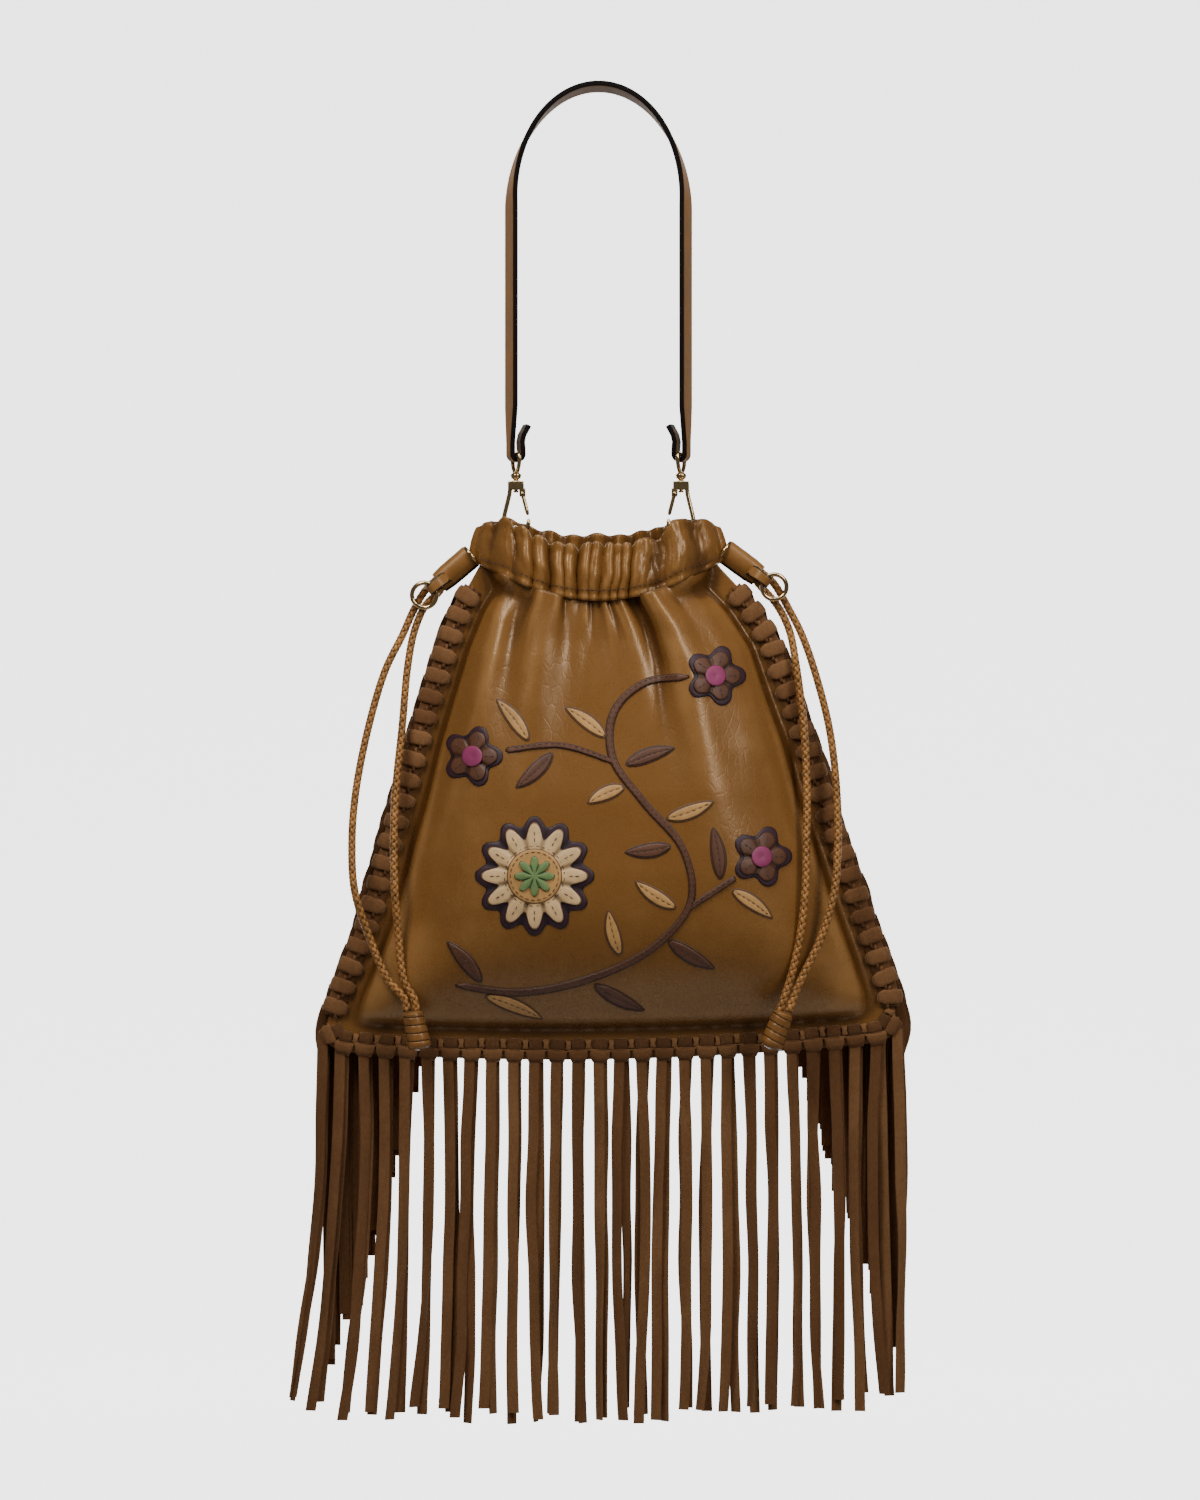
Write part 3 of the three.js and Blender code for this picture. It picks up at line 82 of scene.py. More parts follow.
class BagSizes(bpy.types.PropertyGroup):
    """Sizes of the bag; they repeat the named sizes of its solids."""
    width: bpy.props.FloatProperty(name="Width", description="Widest point of the panels",
            default=0.298, unit="LENGTH")
    height: bpy.props.FloatProperty(name="Height",
            description="Side seam from the mouth to the bottom corner",
            default=0.255, unit="LENGTH")
    bulge: bpy.props.FloatProperty(name="Bulge", description="How far each panel swells from the middle",
            default=0.038, unit="LENGTH")
    strip_length: bpy.props.FloatProperty(name="Fringe length", description="Length of a suede strip",
            default=0.187, unit="LENGTH")
    strip_width: bpy.props.FloatProperty(name="Fringe width", description="Width of a suede strip",
            default=0.0056, unit="LENGTH")
    strip_thickness: bpy.props.FloatProperty(name="Fringe thickness",
            description="Thickness of a suede strip",
            default=0.0013, unit="LENGTH")
    bottom_knots: bpy.props.IntProperty(name="Bottom knots", description="Lacing knots along the bottom",
            default=28)
    side_knots: bpy.props.IntProperty(name="Side knots", description="Lacing knots along each side",
            default=21)
    strap_width: bpy.props.FloatProperty(name="Strap width", description="Width of the shoulder strap",
            default=0.016, unit="LENGTH")
    strap_thickness: bpy.props.FloatProperty(name="Strap thickness",
            description="Thickness of the shoulder strap",
            default=0.0028, unit="LENGTH")
    cord: bpy.props.FloatProperty(name="Drawstring", description="Thickness of a braided drawstring",
            default=0.0042, unit="LENGTH")
    stitch: bpy.props.FloatProperty(name="Stitch", description="Length of one stitch", default=0.0022,
            unit="LENGTH")
    thread: bpy.props.FloatProperty(name="Thread", description="Thickness of the thread",
            default=0.00042, unit="LENGTH")


def colour(name, what, value):
    return bpy.props.FloatVectorProperty(name=name, description=what, subtype="COLOR", size=3, default=value,
            min=0.0, max=1.0)


class BagColours(bpy.types.PropertyGroup):
    """Colours of the bag's leathers, threads and metal."""
    leather: colour("Leather", "Smooth caramel leather", (0.200, 0.088, 0.021))
    # leather_light serves rubbed ridges and painted highlight; leather_dark serves painted shade in folds,
    # toward the bottom and under tabs, and the darker cut rim
    leather_light: colour("Leather, rubbed", "Where the leather is stretched or rubbed", (0.320, 0.158,
            0.050))
    leather_dark: colour("Leather, folds", "Down in the folds", (0.060, 0.023, 0.006))
    suede: colour("Suede", "Lacing and fringe", (0.120, 0.050, 0.016))
    suede_light: colour("Suede, brushed", "Where the nap lies the other way", (0.200, 0.096, 0.036))
    strap: colour("Strap", "Outer face of the strap", (0.200, 0.088, 0.019))
    paint: colour("Edge paint", "Painted edges of strap and tabs", (0.008, 0.006, 0.006))
    gold: colour("Metal", "Pale gold plate", (0.72, 0.51, 0.25))
    braid: colour("Braid", "Braided drawstrings", (0.235, 0.105, 0.030))
    cream: colour("Cream", "Pale petals", (0.680, 0.450, 0.220))
    tan: colour("Tan", "Pale tan leaves", (0.500, 0.270, 0.090))
    brown: colour("Brown", "Dark leaves and vine", (0.105, 0.042, 0.021))
    dark: colour("Aubergine", "Backings", (0.036, 0.014, 0.022))
    pink: colour("Pink", "Flower eyes", (0.260, 0.036, 0.110))
    green: colour("Green", "Daisy star", (0.150, 0.240, 0.085))
    thread: colour("Thread", "Sewing thread", (0.060, 0.026, 0.012))


# numbers


def smooth(t):
    s = np.clip(t, 0, 1)
    return s * s * (3 - 2 * s)


def hashed(k):
    """The same scattered number from -1 to 1 that the solids use."""
    s = math.sin(k * 12.9898 + 4.137) * 43758.5453
    return (s - math.floor(s)) * 2 - 1


def mottle(a, b, seed=0.0):
    """Smooth lattice noise from -1 to 1."""
    a, b = np.asarray(a, float), np.asarray(b, float)
    i, j = np.floor(a), np.floor(b)
    p, q = smooth(a - i), smooth(b - j)

    def corner(di, dj):
        s = np.sin((i + di) * 127.1 + (j + dj) * 311.7 + seed * 74.7) * 43758.5453
        return (s - np.floor(s)) * 2 - 1

    low = corner(0, 0) * (1 - p) + corner(1, 0) * p
    high = corner(0, 1) * (1 - p) + corner(1, 1) * p
    return low * (1 - q) + high * q


def unit(v):
    v = np.asarray(v, float)
    return v / np.maximum(1e-9, np.linalg.norm(v, axis=-1, keepdims=True))


def catmull(points, count, loop=False):
    """Evenly spaced points on a centripetal curve through points."""
    pts = np.asarray(points, float)
    n = len(pts)
    dense = []
    for i in range(n if loop else n - 1):
        if loop:
            p0, p1, p2, p3 = (pts[(i + k) % n] for k in (-1, 0, 1, 2))
        else:
            p1, p2 = pts[i], pts[i + 1]
            p0 = pts[i - 1] if i else 2 * p1 - p2
            p3 = pts[i + 2] if i + 2 < n else 2 * p2 - p1
        d0, d1, d2 = (max(1e-4, np.linalg.norm(b - a) ** 0.5) for a, b in ((p0, p1), (p1, p2), (p2, p3)))
        t1 = ((p1 - p0) / d0 - (p2 - p0) / (d0 + d1) + (p2 - p1) / d1) * d1
        t2 = ((p2 - p1) / d1 - (p3 - p1) / (d1 + d2) + (p3 - p2) / d2) * d1
        t = np.linspace(0, 1, 24, endpoint=False)[:, None]
        dense.append(p1 + t1 * t + (-3 * p1 + 3 * p2 - 2 * t1 - t2) * t ** 2 + (2 * p1 - 2 * p2 + t1 + t2)
                * t ** 3)
    dense = np.vstack(dense + [pts[:1] if loop else pts[-1:]])
    run = np.r_[0, np.cumsum(np.linalg.norm(np.diff(dense, axis=0), axis=1))]
    at = np.linspace(0, run[-1], count + 1)
    out = np.stack([np.interp(at, run, dense[:, k]) for k in range(3)], axis=1)
    return out[:-1] if loop else out


def frames_along(path, first=None, loop=False):
    """Direction, side and up at each point of a path, with the least twist."""
    if loop:
        along = unit(np.roll(path, -1, axis=0) - np.roll(path, 1, axis=0))
    else:
        along = unit(np.gradient(path, axis=0))
    side = np.array(first if first is not None else ((1, 0, 0) if abs(along[0][1]) > 0.7 else (0, 1, 0)),
            float)
    sides = []
    for d in along:
        side = side - d * side.dot(d)
        side = side / np.linalg.norm(side)
        sides.append(side)
    sides = np.array(sides)
    return along, sides, np.cross(along, sides)


# the pouch's surface

OUTLINE = np.array([
    # down, left, right
    [0.000, 0.207, 0.200], [0.050, 0.231, 0.240], [0.082, 0.247, 0.265], [0.163, 0.275, 0.308],
    [0.265, 0.302, 0.337], [0.367, 0.328, 0.369], [0.490, 0.355, 0.398], [0.612, 0.385, 0.435],
    [0.735, 0.414, 0.469], [0.816, 0.441, 0.494], [0.898, 0.470, 0.517], [0.960, 0.482, 0.519],
    [1.000, 0.482, 0.519],
])
BULGE = np.array([
    # down, depth, rise
    [0.00, 0.50, 0.080], [0.10, 0.56, 0.110], [0.25, 0.72, 0.150], [0.45, 0.92, 0.200],
    [0.62, 1.00, 0.240], [0.80, 0.98, 0.260], [1.00, 0.90, 0.260],
])
FOLDS = [
    # top, low, half, height, fade
    (0.090, 0.160, 0.050, 0.13, 0.42), (0.180, 0.235, 0.040, -0.10, 0.36), (0.290, 0.275, 0.060, 0.17, 0.46),
    (0.480, 0.470, 0.120, -0.08, 0.34), (0.430, 0.420, 0.025, 0.06, 0.12), (0.520, 0.520, 0.025, 0.07, 0.14),
    (0.585, 0.580, 0.022, 0.05, 0.10), (0.645, 0.640, 0.026, -0.17, 0.26), (0.715, 0.730, 0.055, 0.17, 0.40),
    (0.900, 0.905, 0.060, 0.07, 0.40),
]
BACK_FOLDS = [
    (0.140, 0.180, 0.060, 0.12, 0.40), (0.260, 0.270, 0.040, -0.10, 0.30), (0.400, 0.395, 0.060, 0.14, 0.42),
    (0.530, 0.530, 0.045, -0.12, 0.30), (0.660, 0.670, 0.060, 0.13, 0.42), (0.850, 0.840, 0.060, 0.10, 0.36),
]
DENTS = [
    # across, down, wide, tall, lean, height
    (0.17, 0.78, 0.05, 0.13, 0.35, -0.05), (0.86, 0.80, 0.06, 0.12, -0.30, -0.05), (0.80, 0.38, 0.05, 0.12,
            0.10, -0.05),
]
FRONT_RIDGES = [0.02, 0.10, 0.19, 0.25, 0.335, 0.375, 0.445, 0.475, 0.53, 0.565, 0.60, 0.655, 0.85, 0.985]
BACK_RIDGES = [0.015, 0.12, 0.21, 0.3, 0.39, 0.48, 0.57, 0.66, 0.75, 0.85, 0.985]
RIM = np.array([
    # across, front, back
    [0.00, 0.62, 0.62], [0.05, 0.86, 0.90], [0.12, 1.04, 1.10], [0.22, 0.98, 1.16], [0.35, 0.92, 1.18],
    [0.50, 0.98, 1.22], [0.65, 0.96, 1.22], [0.78, 1.00, 1.18], [0.88, 1.06, 1.10], [0.95, 0.86, 0.90],
    [1.00, 0.62, 0.62],
])
ENDS_OUT = np.array([
    # level, how far the ends of the gathered band puff out past the panels
    [-0.06, 2.6], [0.0, 4.0], [0.12, 5.0], [0.30, 5.2], [0.55, 4.4], [0.80, 3.0], [1.0, 1.4],
])

WALL, GAP, EDGE_GAP, FLANGE, CORNER_R = 1.6, 0.3, 1.1, 9.8, 12
SEAM_Z, BAG_SHIFT, MOUTH_SAG, HEM_SAG, HEM_TILT = -247, 0.8, 20, 6, 5
CASING_H, CASING_WALL, PLEAT = 28, 2.2, 2.1
THONG, KNOT_T, KNOT_INSET = 1.0, 1.9, 5.2
SKIN = GAP / 2 + WALL
BAND_IN = SKIN + GAP + 0.05
BAND_OUT = BAND_IN + THONG


def eased(rows, column, spread=0.012):
    """A table column as a smooth curve over 0 to 1."""
    at = np.linspace(-0.2, 1.2, 1401)
    value = np.interp(at, rows[:, 0], rows[:, column])
    reach = np.arange(-60, 61) * 0.001
    weight = np.exp(-(reach / spread) ** 2)
    value = np.convolve(np.pad(value, 60, mode="edge"), weight / weight.sum(), mode="valid")
    return lambda v: np.interp(v, at, value)


LEFT_EDGE, RIGHT_EDGE = eased(OUTLINE, 1), eased(OUTLINE, 2)
DEPTH_SHARE, RISE_SHARE = eased(BULGE, 1), eased(BULGE, 2)


def pleat_at(ridges, u, power=2.0):
    """1 on a ridge and down to -1 in the valley between two; near ridges have shallow valleys."""
    r = np.asarray(ridges)
    i = np.clip(np.searchsorted(r, u) - 1, 0, len(r) - 2)
    apart = r[i + 1] - r[i]
    t = np.clip((u - r[i]) / apart, 0, 1)
    return 1 - 2 * np.clip(apart / 0.075, 0.5, 1) * np.abs(np.sin(np.pi * t)) ** power


class Pouch:
    """The form of the soft pouch, in millimetres."""

    def __init__(self, sizes):
        self.w, self.h, self.d = sizes.width / MM, sizes.height / MM, sizes.bulge / MM

    def edges(self, v):
        below = (1 - np.asarray(v, float)) * self.h
        r = CORNER_R
        inset = np.where(below < r, r - np.sqrt(np.maximum(0, r * r - (r - below) ** 2)), 0)
        return BAG_SHIFT - LEFT_EDGE(v) * self.w + inset, BAG_SHIFT + RIGHT_EDGE(v) * self.w - inset

    def place(self, u, v):
        left, right = self.edges(v)
        arch = 1 - (2 * u - 1) ** 2
        z = SEAM_Z - v * self.h - MOUTH_SAG * (1
                - v) ** 2 * arch - HEM_SAG * v * v * arch + HEM_TILT * v * v * u
        return left + (right - left) * u, z

    def depth(self, u, v, back=False, plain=False, fine=True):
        u, v = np.broadcast_arrays(np.asarray(u, float), np.asarray(v, float))
        left, right = self.edges(v)
        width = right - left
        side = np.maximum(0.01, np.minimum(u, 1 - u) * width)
        below = np.maximum(0.01, (1 - v) * self.h)
        near = (side ** -4 + below ** -4) ** -0.25
        flat = 2 + (FLANGE + 0.6 - 2) * smooth(v / 0.035)
        t = np.clip((near - flat) / (RISE_SHARE(v) * self.w), 0, 1)
        y = self.d * DEPTH_SHARE(v) * (1 - (1 - t) ** 2.2) * smooth(t / 0.10 + 0.15 * t)
        if plain:
            return np.maximum(0, y)
        inner = np.clip((near - flat) / 16, 0, 1)
        for top, low, half, height, fade in (BACK_FOLDS if back else FOLDS):
            middle = top + (low - top) * np.clip(v / 0.4, 0, 1)
            spread = half * (1 + 1.2 * v)
            y = y + self.d * height * inner * np.exp(-(v / fade) ** 2) * np.exp(-((u - middle) / spread) ** 2)
        if not back:
            for across, down, wide, tall, lean, height in DENTS:
                a, b = (u - across - lean * (v - down)) / wide, (v - down) / tall
                y = y + self.d * height * inner * np.exp(-a * a - b * b)
        if fine:
            y = y + self.wrinkles(u, v, back) * np.clip((near - flat) / 7, 0, 1)
        return np.maximum(0, y)

    def wrinkles(self, u, v, back):
        """Gathers under the mouth and the small unevenness of soft leather."""
        seed = 40 if back else 3
        ridges = BACK_RIDGES if back else FRONT_RIDGES
        wander = u + 0.010 * mottle(u * 9, v * 11, seed + 8)
        gathers = 1.15 * pleat_at(ridges, wander, 2.4) * np.exp(-(v / 0.055) ** 1.6)
        rays = 0.75 * mottle(u * 30, v * 3.2, seed) * np.exp(-(v / 0.22) ** 2)
        soft = 0.55 * mottle(u * 7 + v * 2.5, v * 6 - u * 2, seed + 1) + 0.22 * mottle(u * 19 - v * 3,
                v * 15 + u * 4, seed + 2)
        return gathers + rays + soft * smooth(v / 0.12) * smooth((1 - v) / 0.10)

    def find(self, x, z):
        x, z = np.broadcast_arrays(np.asarray(x, float), np.asarray(z, float))
        u, v = np.full(x.shape, 0.5), np.full(x.shape, 0.5)
        for _ in range(12):
            v = np.clip(v - (z - self.place(u, v)[1]) / self.h, 0, 1)
            left, right = self.edges(v)
            u = np.clip((x - left) / (right - left), 0, 1)
        return u, v

    def front_y(self, x, z, fine=True):
        u, v = self.find(x, z)
        return -(SKIN + self.depth(u, v, fine=fine))

    def back_y(self, x, z, fine=True):
        u, v = self.find(x, z)
        return SKIN + self.depth(u, v, back=True, fine=fine)

    def mouth_z(self, x):
        left, right = self.edges(0.0)
        return self.place((x - left) / (right - left), 0.0)[1]

    def edge_line(self, kind):
        def side(u, start, end):
            steps = max(2, round(abs(end - start) * self.h / 1.5))
            x, z = self.place(u, np.linspace(start, end, steps + 1))
            return np.stack([x, 0 * x, z], 1)
        if kind == "left":
            return side(0, 0.05, 0.93)
        if kind == "right":
            return side(1, 0.05, 0.93)
        x, z = self.place(np.arange(1, 120) / 120, 1.0)
        return np.vstack([side(0, 0.952, 0.9999), np.stack([x, 0 * x, z], 1), side(1, 0.9999, 0.952)])

    def along_edge(self, line, distances):
        """Points at distances along an edge, with the direction along it and outward."""
        run = np.r_[0, np.cumsum(np.linalg.norm(np.diff(line, axis=0), axis=1))]

        def at(s):
            return np.stack([np.interp(s, run, line[:, k]) for k in range(3)], -1)
        s = np.asarray(distances, float)
        along = unit(at(np.minimum(run[-1], s + 5)) - at(np.maximum(0, s - 5)))
        away = np.stack([along[:, 2], 0 * s, -along[:, 0]], -1)
        middle = np.array([BAG_SHIFT + 5, 0, SEAM_Z - self.h * 0.5])
        p = at(s)
        flip = np.sum(away * (p - middle), axis=1) < 0
        away[flip] *= -1
        return p, along, away, run[-1]


# meshes


def build(name, points, faces, materials, attributes=None, pick=None, closed=True):
    """Mesh object from points in millimetres; attributes are one value a point, pick one material a face."""
    mesh = bpy.data.meshes.new(name)
    mesh.from_pydata((np.asarray(points, float) * MM).tolist(), [], [tuple(int(i) for i in f) for f in faces])
    for key, values in (attributes or {}).items():
        values = np.asarray(values, float)
        kind = "FLOAT_VECTOR" if values.ndim == 2 else "FLOAT"
        layer = mesh.attributes.new(key, kind, "POINT")
        layer.data.foreach_set("vector" if kind == "FLOAT_VECTOR" else "value", values.ravel())
    for m in materials if isinstance(materials, (list, tuple)) else [materials]:
        mesh.materials.append(m)
    if pick is not None:
        mesh.polygons.foreach_set("material_index", np.asarray(pick, np.int32))
    if closed:
        bm = bmesh.new()
        bm.from_mesh(mesh)
        bmesh.ops.recalc_face_normals(bm, faces=bm.faces)
        bm.to_mesh(mesh)
        bm.free()
    mesh.shade_smooth()
    obj = bpy.data.objects.new(name, mesh)
    bpy.context.scene.collection.objects.link(obj)
    return obj


def finish_piece(obj, body, slot, *nodes):
    """Puts a finished piece on its body and hides the solids that it stands for."""
    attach(obj, body)
    if nodes:
        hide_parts(*nodes)
    return obj


def joined(parts):
    """Several (points, faces, values) as one; values is a dict of point values."""
    points, faces, values, start = [], [], {}, 0
    for pts, fcs, vals in parts:
        points.append(np.asarray(pts, float))
        faces += [[int(i) + start for i in f] for f in fcs]
        for key, v in vals.items():
            values.setdefault(key, []).append(np.asarray(v, float))
        start += len(pts)
    return np.vstack(points), faces, {k: np.concatenate(v) for k, v in values.items()}


def grid_faces(rows, cols, start=0, ring=False):
    r, c = np.meshgrid(np.arange(rows - 1), np.arange(cols if ring else cols - 1), indexing="ij")
    d = (c + 1) % cols
    return np.stack([r * cols + c, r * cols + d, (r + 1) * cols + d, (r + 1) * cols + c], -1).reshape(-1,
            4) + start


def slab(outer, inner, ring=False):
    """Closed form between two grids of points, rows by columns."""
    rows, cols = outer.shape[:2]
    n = rows * cols
    faces = [grid_faces(rows, cols, 0, ring), grid_faces(rows, cols, n, ring)[:, ::-1]]
    c = np.arange(cols if ring else cols - 1)
    d = (c + 1) % cols
    for r in (0, rows - 1):
        quad = np.stack([r * cols + c, n + r * cols + c, n + r * cols + d, r * cols + d], 1)
        faces.append(quad if r == 0 else quad[:, ::-1])
    if not ring:
        r = np.arange(rows - 1)
        for k in (0, cols - 1):
            quad = np.stack([r * cols + k, (r + 1) * cols + k, n + (r + 1) * cols + k, n + r * cols + k], 1)
            faces.append(quad if k == 0 else quad[:, ::-1])
    return np.vstack([outer.reshape(-1, 3), inner.reshape(-1, 3)]), np.vstack(faces)


def sweep(path, side, up, section, loop=False):
    """Closed form along a path; section is (points, 2) or (stations, points, 2)."""
    path, section = np.asarray(path, float), np.asarray(section, float)
    if section.ndim == 2:
        section = np.broadcast_to(section, (len(path),) + section.shape)
    pts = path[:, None] + section[..., :1] * side[:, None] + section[..., 1:] * up[:, None]
    n, m = pts.shape[:2]
    rows = np.arange(n if loop else n - 1)
    r, c = np.meshgrid(rows, np.arange(m), indexing="ij")
    s, d = (r + 1) % n, (c + 1) % m
    faces = [list(f) for f in np.stack([r * m + c, r * m + d, s * m + d, s * m + c], -1).reshape(-1, 4)]
    if not loop:
        faces += [list(range(m))[::-1], list(range((n - 1) * m, n * m))]
    return pts.reshape(-1, 3), faces


def oval(count, a, b=None, phase=0.5):
    t = (np.arange(count) + phase) * 2 * np.pi / count
    return np.stack([a * np.cos(t), (b or a) * np.sin(t)], 1)


def rounded(width, height, radius, corner=4, flat=3):
    """Rounded rectangle, and how much each of its points lies on the narrow sides."""
    w, h = width / 2 - radius, height / 2 - radius
    pts = []
    for cx, cy, a0 in ((w, h, 0), (-w, h, 90), (-w, -h, 180), (w, -h, 270)):
        for k in range(corner):
            a = math.radians(a0 + 90 * k / (corner - 1))
            pts.append((cx + radius * math.cos(a), cy + radius * math.sin(a)))
    out = []
    for i, p in enumerate(pts):
        q = pts[(i + 1) % len(pts)]
        out.append(p)
        if i % corner == corner - 1:
            out += [tuple(np.array(p) + (np.array(q) - p) * k / (flat + 1)) for k in range(1, flat + 1)]
    out = np.array(out)
    edge = smooth((np.abs(out[:, 0]) - (w + radius * 0.15)) / (radius * 0.7))
    return out, edge


def tube(path, radius, sides=14, loop=False, first=None):
    _, side, up = frames_along(np.asarray(path, float), first, loop)
    return sweep(path, side, up, oval(sides, radius), loop)


def lathe(origin, axis, profile, sides=24):
    """Turned form: profile of (distance along, radius)."""
    axis = unit(axis)
    guess = np.array((1.0, 0, 0) if abs(axis[1]) > 0.7 else (0, 1.0, 0))
    u = unit(guess - axis * guess.dot(axis))
    w = np.cross(axis, u)
    prof = np.asarray(profile, float)
    path = np.asarray(origin, float) + prof[:, :1] * axis
    section = oval(sides, 1.0)[None] * prof[:, 1][:, None, None]
    n = len(prof)
    return sweep(path, np.tile(u, (n, 1)), np.tile(w, (n, 1)), section)


def softened(obj, width, segments=2, angle=35):
    """Bevels the sharp edges of a mesh object for good."""
    bm = bmesh.new()
    bm.from_mesh(obj.data)
    sharp = [e for e in bm.edges if len(e.link_faces) == 2 and e.calc_face_angle(0) > math.radians(angle)]
    bmesh.ops.bevel(bm, geom=sharp, offset=width * MM, segments=segments, profile=0.6, affect="EDGES",
            clamp_overlap=True)
    bm.to_mesh(obj.data)
    bm.free()
    obj.data.shade_smooth()
    return obj


# geometry nodes


class Tree:
    """A geometry node tree with named inputs."""

    def __init__(self, name):
        self.group = bpy.data.node_groups.new(name, "GeometryNodeTree")
        self.group.interface.new_socket("Geometry", in_out="INPUT", socket_type="NodeSocketGeometry")
        self.group.interface.new_socket("Geometry", in_out="OUTPUT", socket_type="NodeSocketGeometry")
        self.given = self.group.nodes.new("NodeGroupInput")
        self.result = self.group.nodes.new("NodeGroupOutput")

    def ask(self, name, kind, value=None):
        item = self.group.interface.new_socket(name, in_out="INPUT", socket_type="NodeSocket" + kind)
        if value is not None:
            item.default_value = value
        return self.given.outputs[name]

    def node(self, kind, settings=None, **sockets):
        n = self.group.nodes.new(kind)
        for key, value in (settings or {}).items():
            setattr(n, key, value)
        for key, value in sockets.items():
            key = key.replace("_", " ")
            s = next(s for s in n.inputs if s.name == key and s.enabled)
            if isinstance(value, bpy.types.NodeSocket):
                self.group.links.new(value, s)
            else:
                s.default_value = value
        return n

    def end(self, geometry, finish):
        real = self.node("GeometryNodeRealizeInstances", Geometry=geometry)
        done = self.node("GeometryNodeSetMaterial", Geometry=real.outputs[0], Material=finish)
        self.group.links.new(done.outputs[0], self.result.inputs[0])
        return self.group


def named(tree, name, kind="FLOAT_VECTOR"):
    n = tree.node("GeometryNodeInputNamedAttribute", {"data_type": kind}, Name=name)
    return next(s for s in n.outputs if s.enabled and s.name == "Attribute")


def repeat_tree():
    """Copies of one small piece at the given points, turned and sized by their turn and size."""
    t = Tree("Repeated piece")
    piece = t.ask("Piece", "Object")
    uneven = t.ask("Unevenness", "Float", 0.05)
    seed = t.ask("Seed", "Int", 1)
    finish = t.ask("Finish", "Material")
    points = t.node("GeometryNodeMeshToPoints", Mesh=t.given.outputs["Geometry"])
    low = t.node("ShaderNodeMath", {"operation": "SUBTRACT"})
    low.inputs[0].default_value = 1.0
    t.group.links.new(uneven, low.inputs[1])
    high = t.node("ShaderNodeMath", {"operation": "ADD"})
    high.inputs[0].default_value = 1.0
    t.group.links.new(uneven, high.inputs[1])
    spread = t.node("FunctionNodeRandomValue", {"data_type": "FLOAT"}, Min=low.outputs[0],
            Max=high.outputs[0], Seed=seed)
    scale = t.node("ShaderNodeVectorMath", {"operation": "SCALE"}, Vector=named(t, "size"),
            Scale=next(s for s in spread.outputs if s.enabled))
    turn = t.node("FunctionNodeEulerToRotation", Euler=named(t, "turn"))
    shape = t.node("GeometryNodeObjectInfo", {"transform_space": "ORIGINAL"}, Object=piece)
    shade = t.node("FunctionNodeRandomValue", {"data_type": "FLOAT"}, Seed=seed)
    put = t.node("GeometryNodeInstanceOnPoints", Points=points.outputs[0], Instance=shape.outputs["Geometry"],
            Rotation=turn.outputs[0], Scale=scale.outputs[0])
    mark = t.node("GeometryNodeStoreNamedAttribute", {"data_type": "FLOAT", "domain": "INSTANCE"},
            Geometry=put.outputs[0], Name="shade", Value=next(s for s in shade.outputs if s.enabled))
    return t.end(mark.outputs[0], finish)


def strip_tree():
    """Flat strips along the given lines, facing as their facing says."""
    t = Tree("Hanging strips")
    width = t.ask("Width", "Float", 0.0056)
    thick = t.ask("Thickness", "Float", 0.0013)
    finish = t.ask("Finish", "Material")
    line = t.node("GeometryNodeMeshToCurve", Mesh=t.given.outputs["Geometry"])
    faced = t.node("GeometryNodeSetCurveNormal", {"mode": "FREE"}, Curve=line.outputs[0], Normal=named(t,
            "facing"))
    square = t.node("GeometryNodeCurvePrimitiveQuadrilateral", Width=width, Height=thick)
    cut = t.node("GeometryNodeFilletCurve", {"mode": "POLY"}, Curve=square.outputs[0], Radius=0.00038,
            Count=2)
    body = t.node("GeometryNodeCurveToMesh", Curve=faced.outputs[0], Profile_Curve=cut.outputs[0],
            Fill_Caps=True)
    return t.end(body.outputs[0], finish)


def grown(name, start, tree, values):
    """The mesh that a node tree makes from a start mesh, as a new object."""
    modifier = start.modifiers.new("Nodes", "NODES")
    modifier.node_group = tree
    for item in tree.interface.items_tree:
        if item.in_out == "INPUT" and item.name in values:
            modifier[item.identifier] = values[item.name]
    graph = bpy.context.evaluated_depsgraph_get()
    graph.update()
    mesh = bpy.data.meshes.new_from_object(start.evaluated_get(graph), preserve_all_data_layers=True,
            depsgraph=graph)
    start.modifiers.clear()
    mesh.name = name
    obj = bpy.data.objects.new(name, mesh)
    bpy.context.scene.collection.objects.link(obj)
    old = start.data
    bpy.data.objects.remove(start)
    bpy.data.meshes.remove(old)
    mesh.shade_smooth()
    return obj


def turned_to(x_axes, y_axes, z_axes):
    """Euler angles of frames given by their three axes."""
    return np.array([Matrix((x, y, z)).transposed().to_euler() for x, y, z in zip(x_axes, y_axes, z_axes)])


def repeated(name, points, turns, sizes, piece, finish, uneven=0.04, seed=1):
    """One small piece repeated at many places."""
    start = build(name + "_places", points, [], finish, {"turn": turns, "size": sizes}, closed=False)
    obj = grown(name, start, bpy.data.node_groups["Repeated piece"],
            {"Piece": piece, "Unevenness": uneven, "Seed": seed, "Finish": finish})
    return obj


def tucked_away(name, parts):
    """A small piece that is only the pattern for repeats."""
    points, faces, values = joined(parts)
    obj = build(name, points, faces, [], values)
    bpy.context.scene.collection.objects.unlink(obj)
    return obj


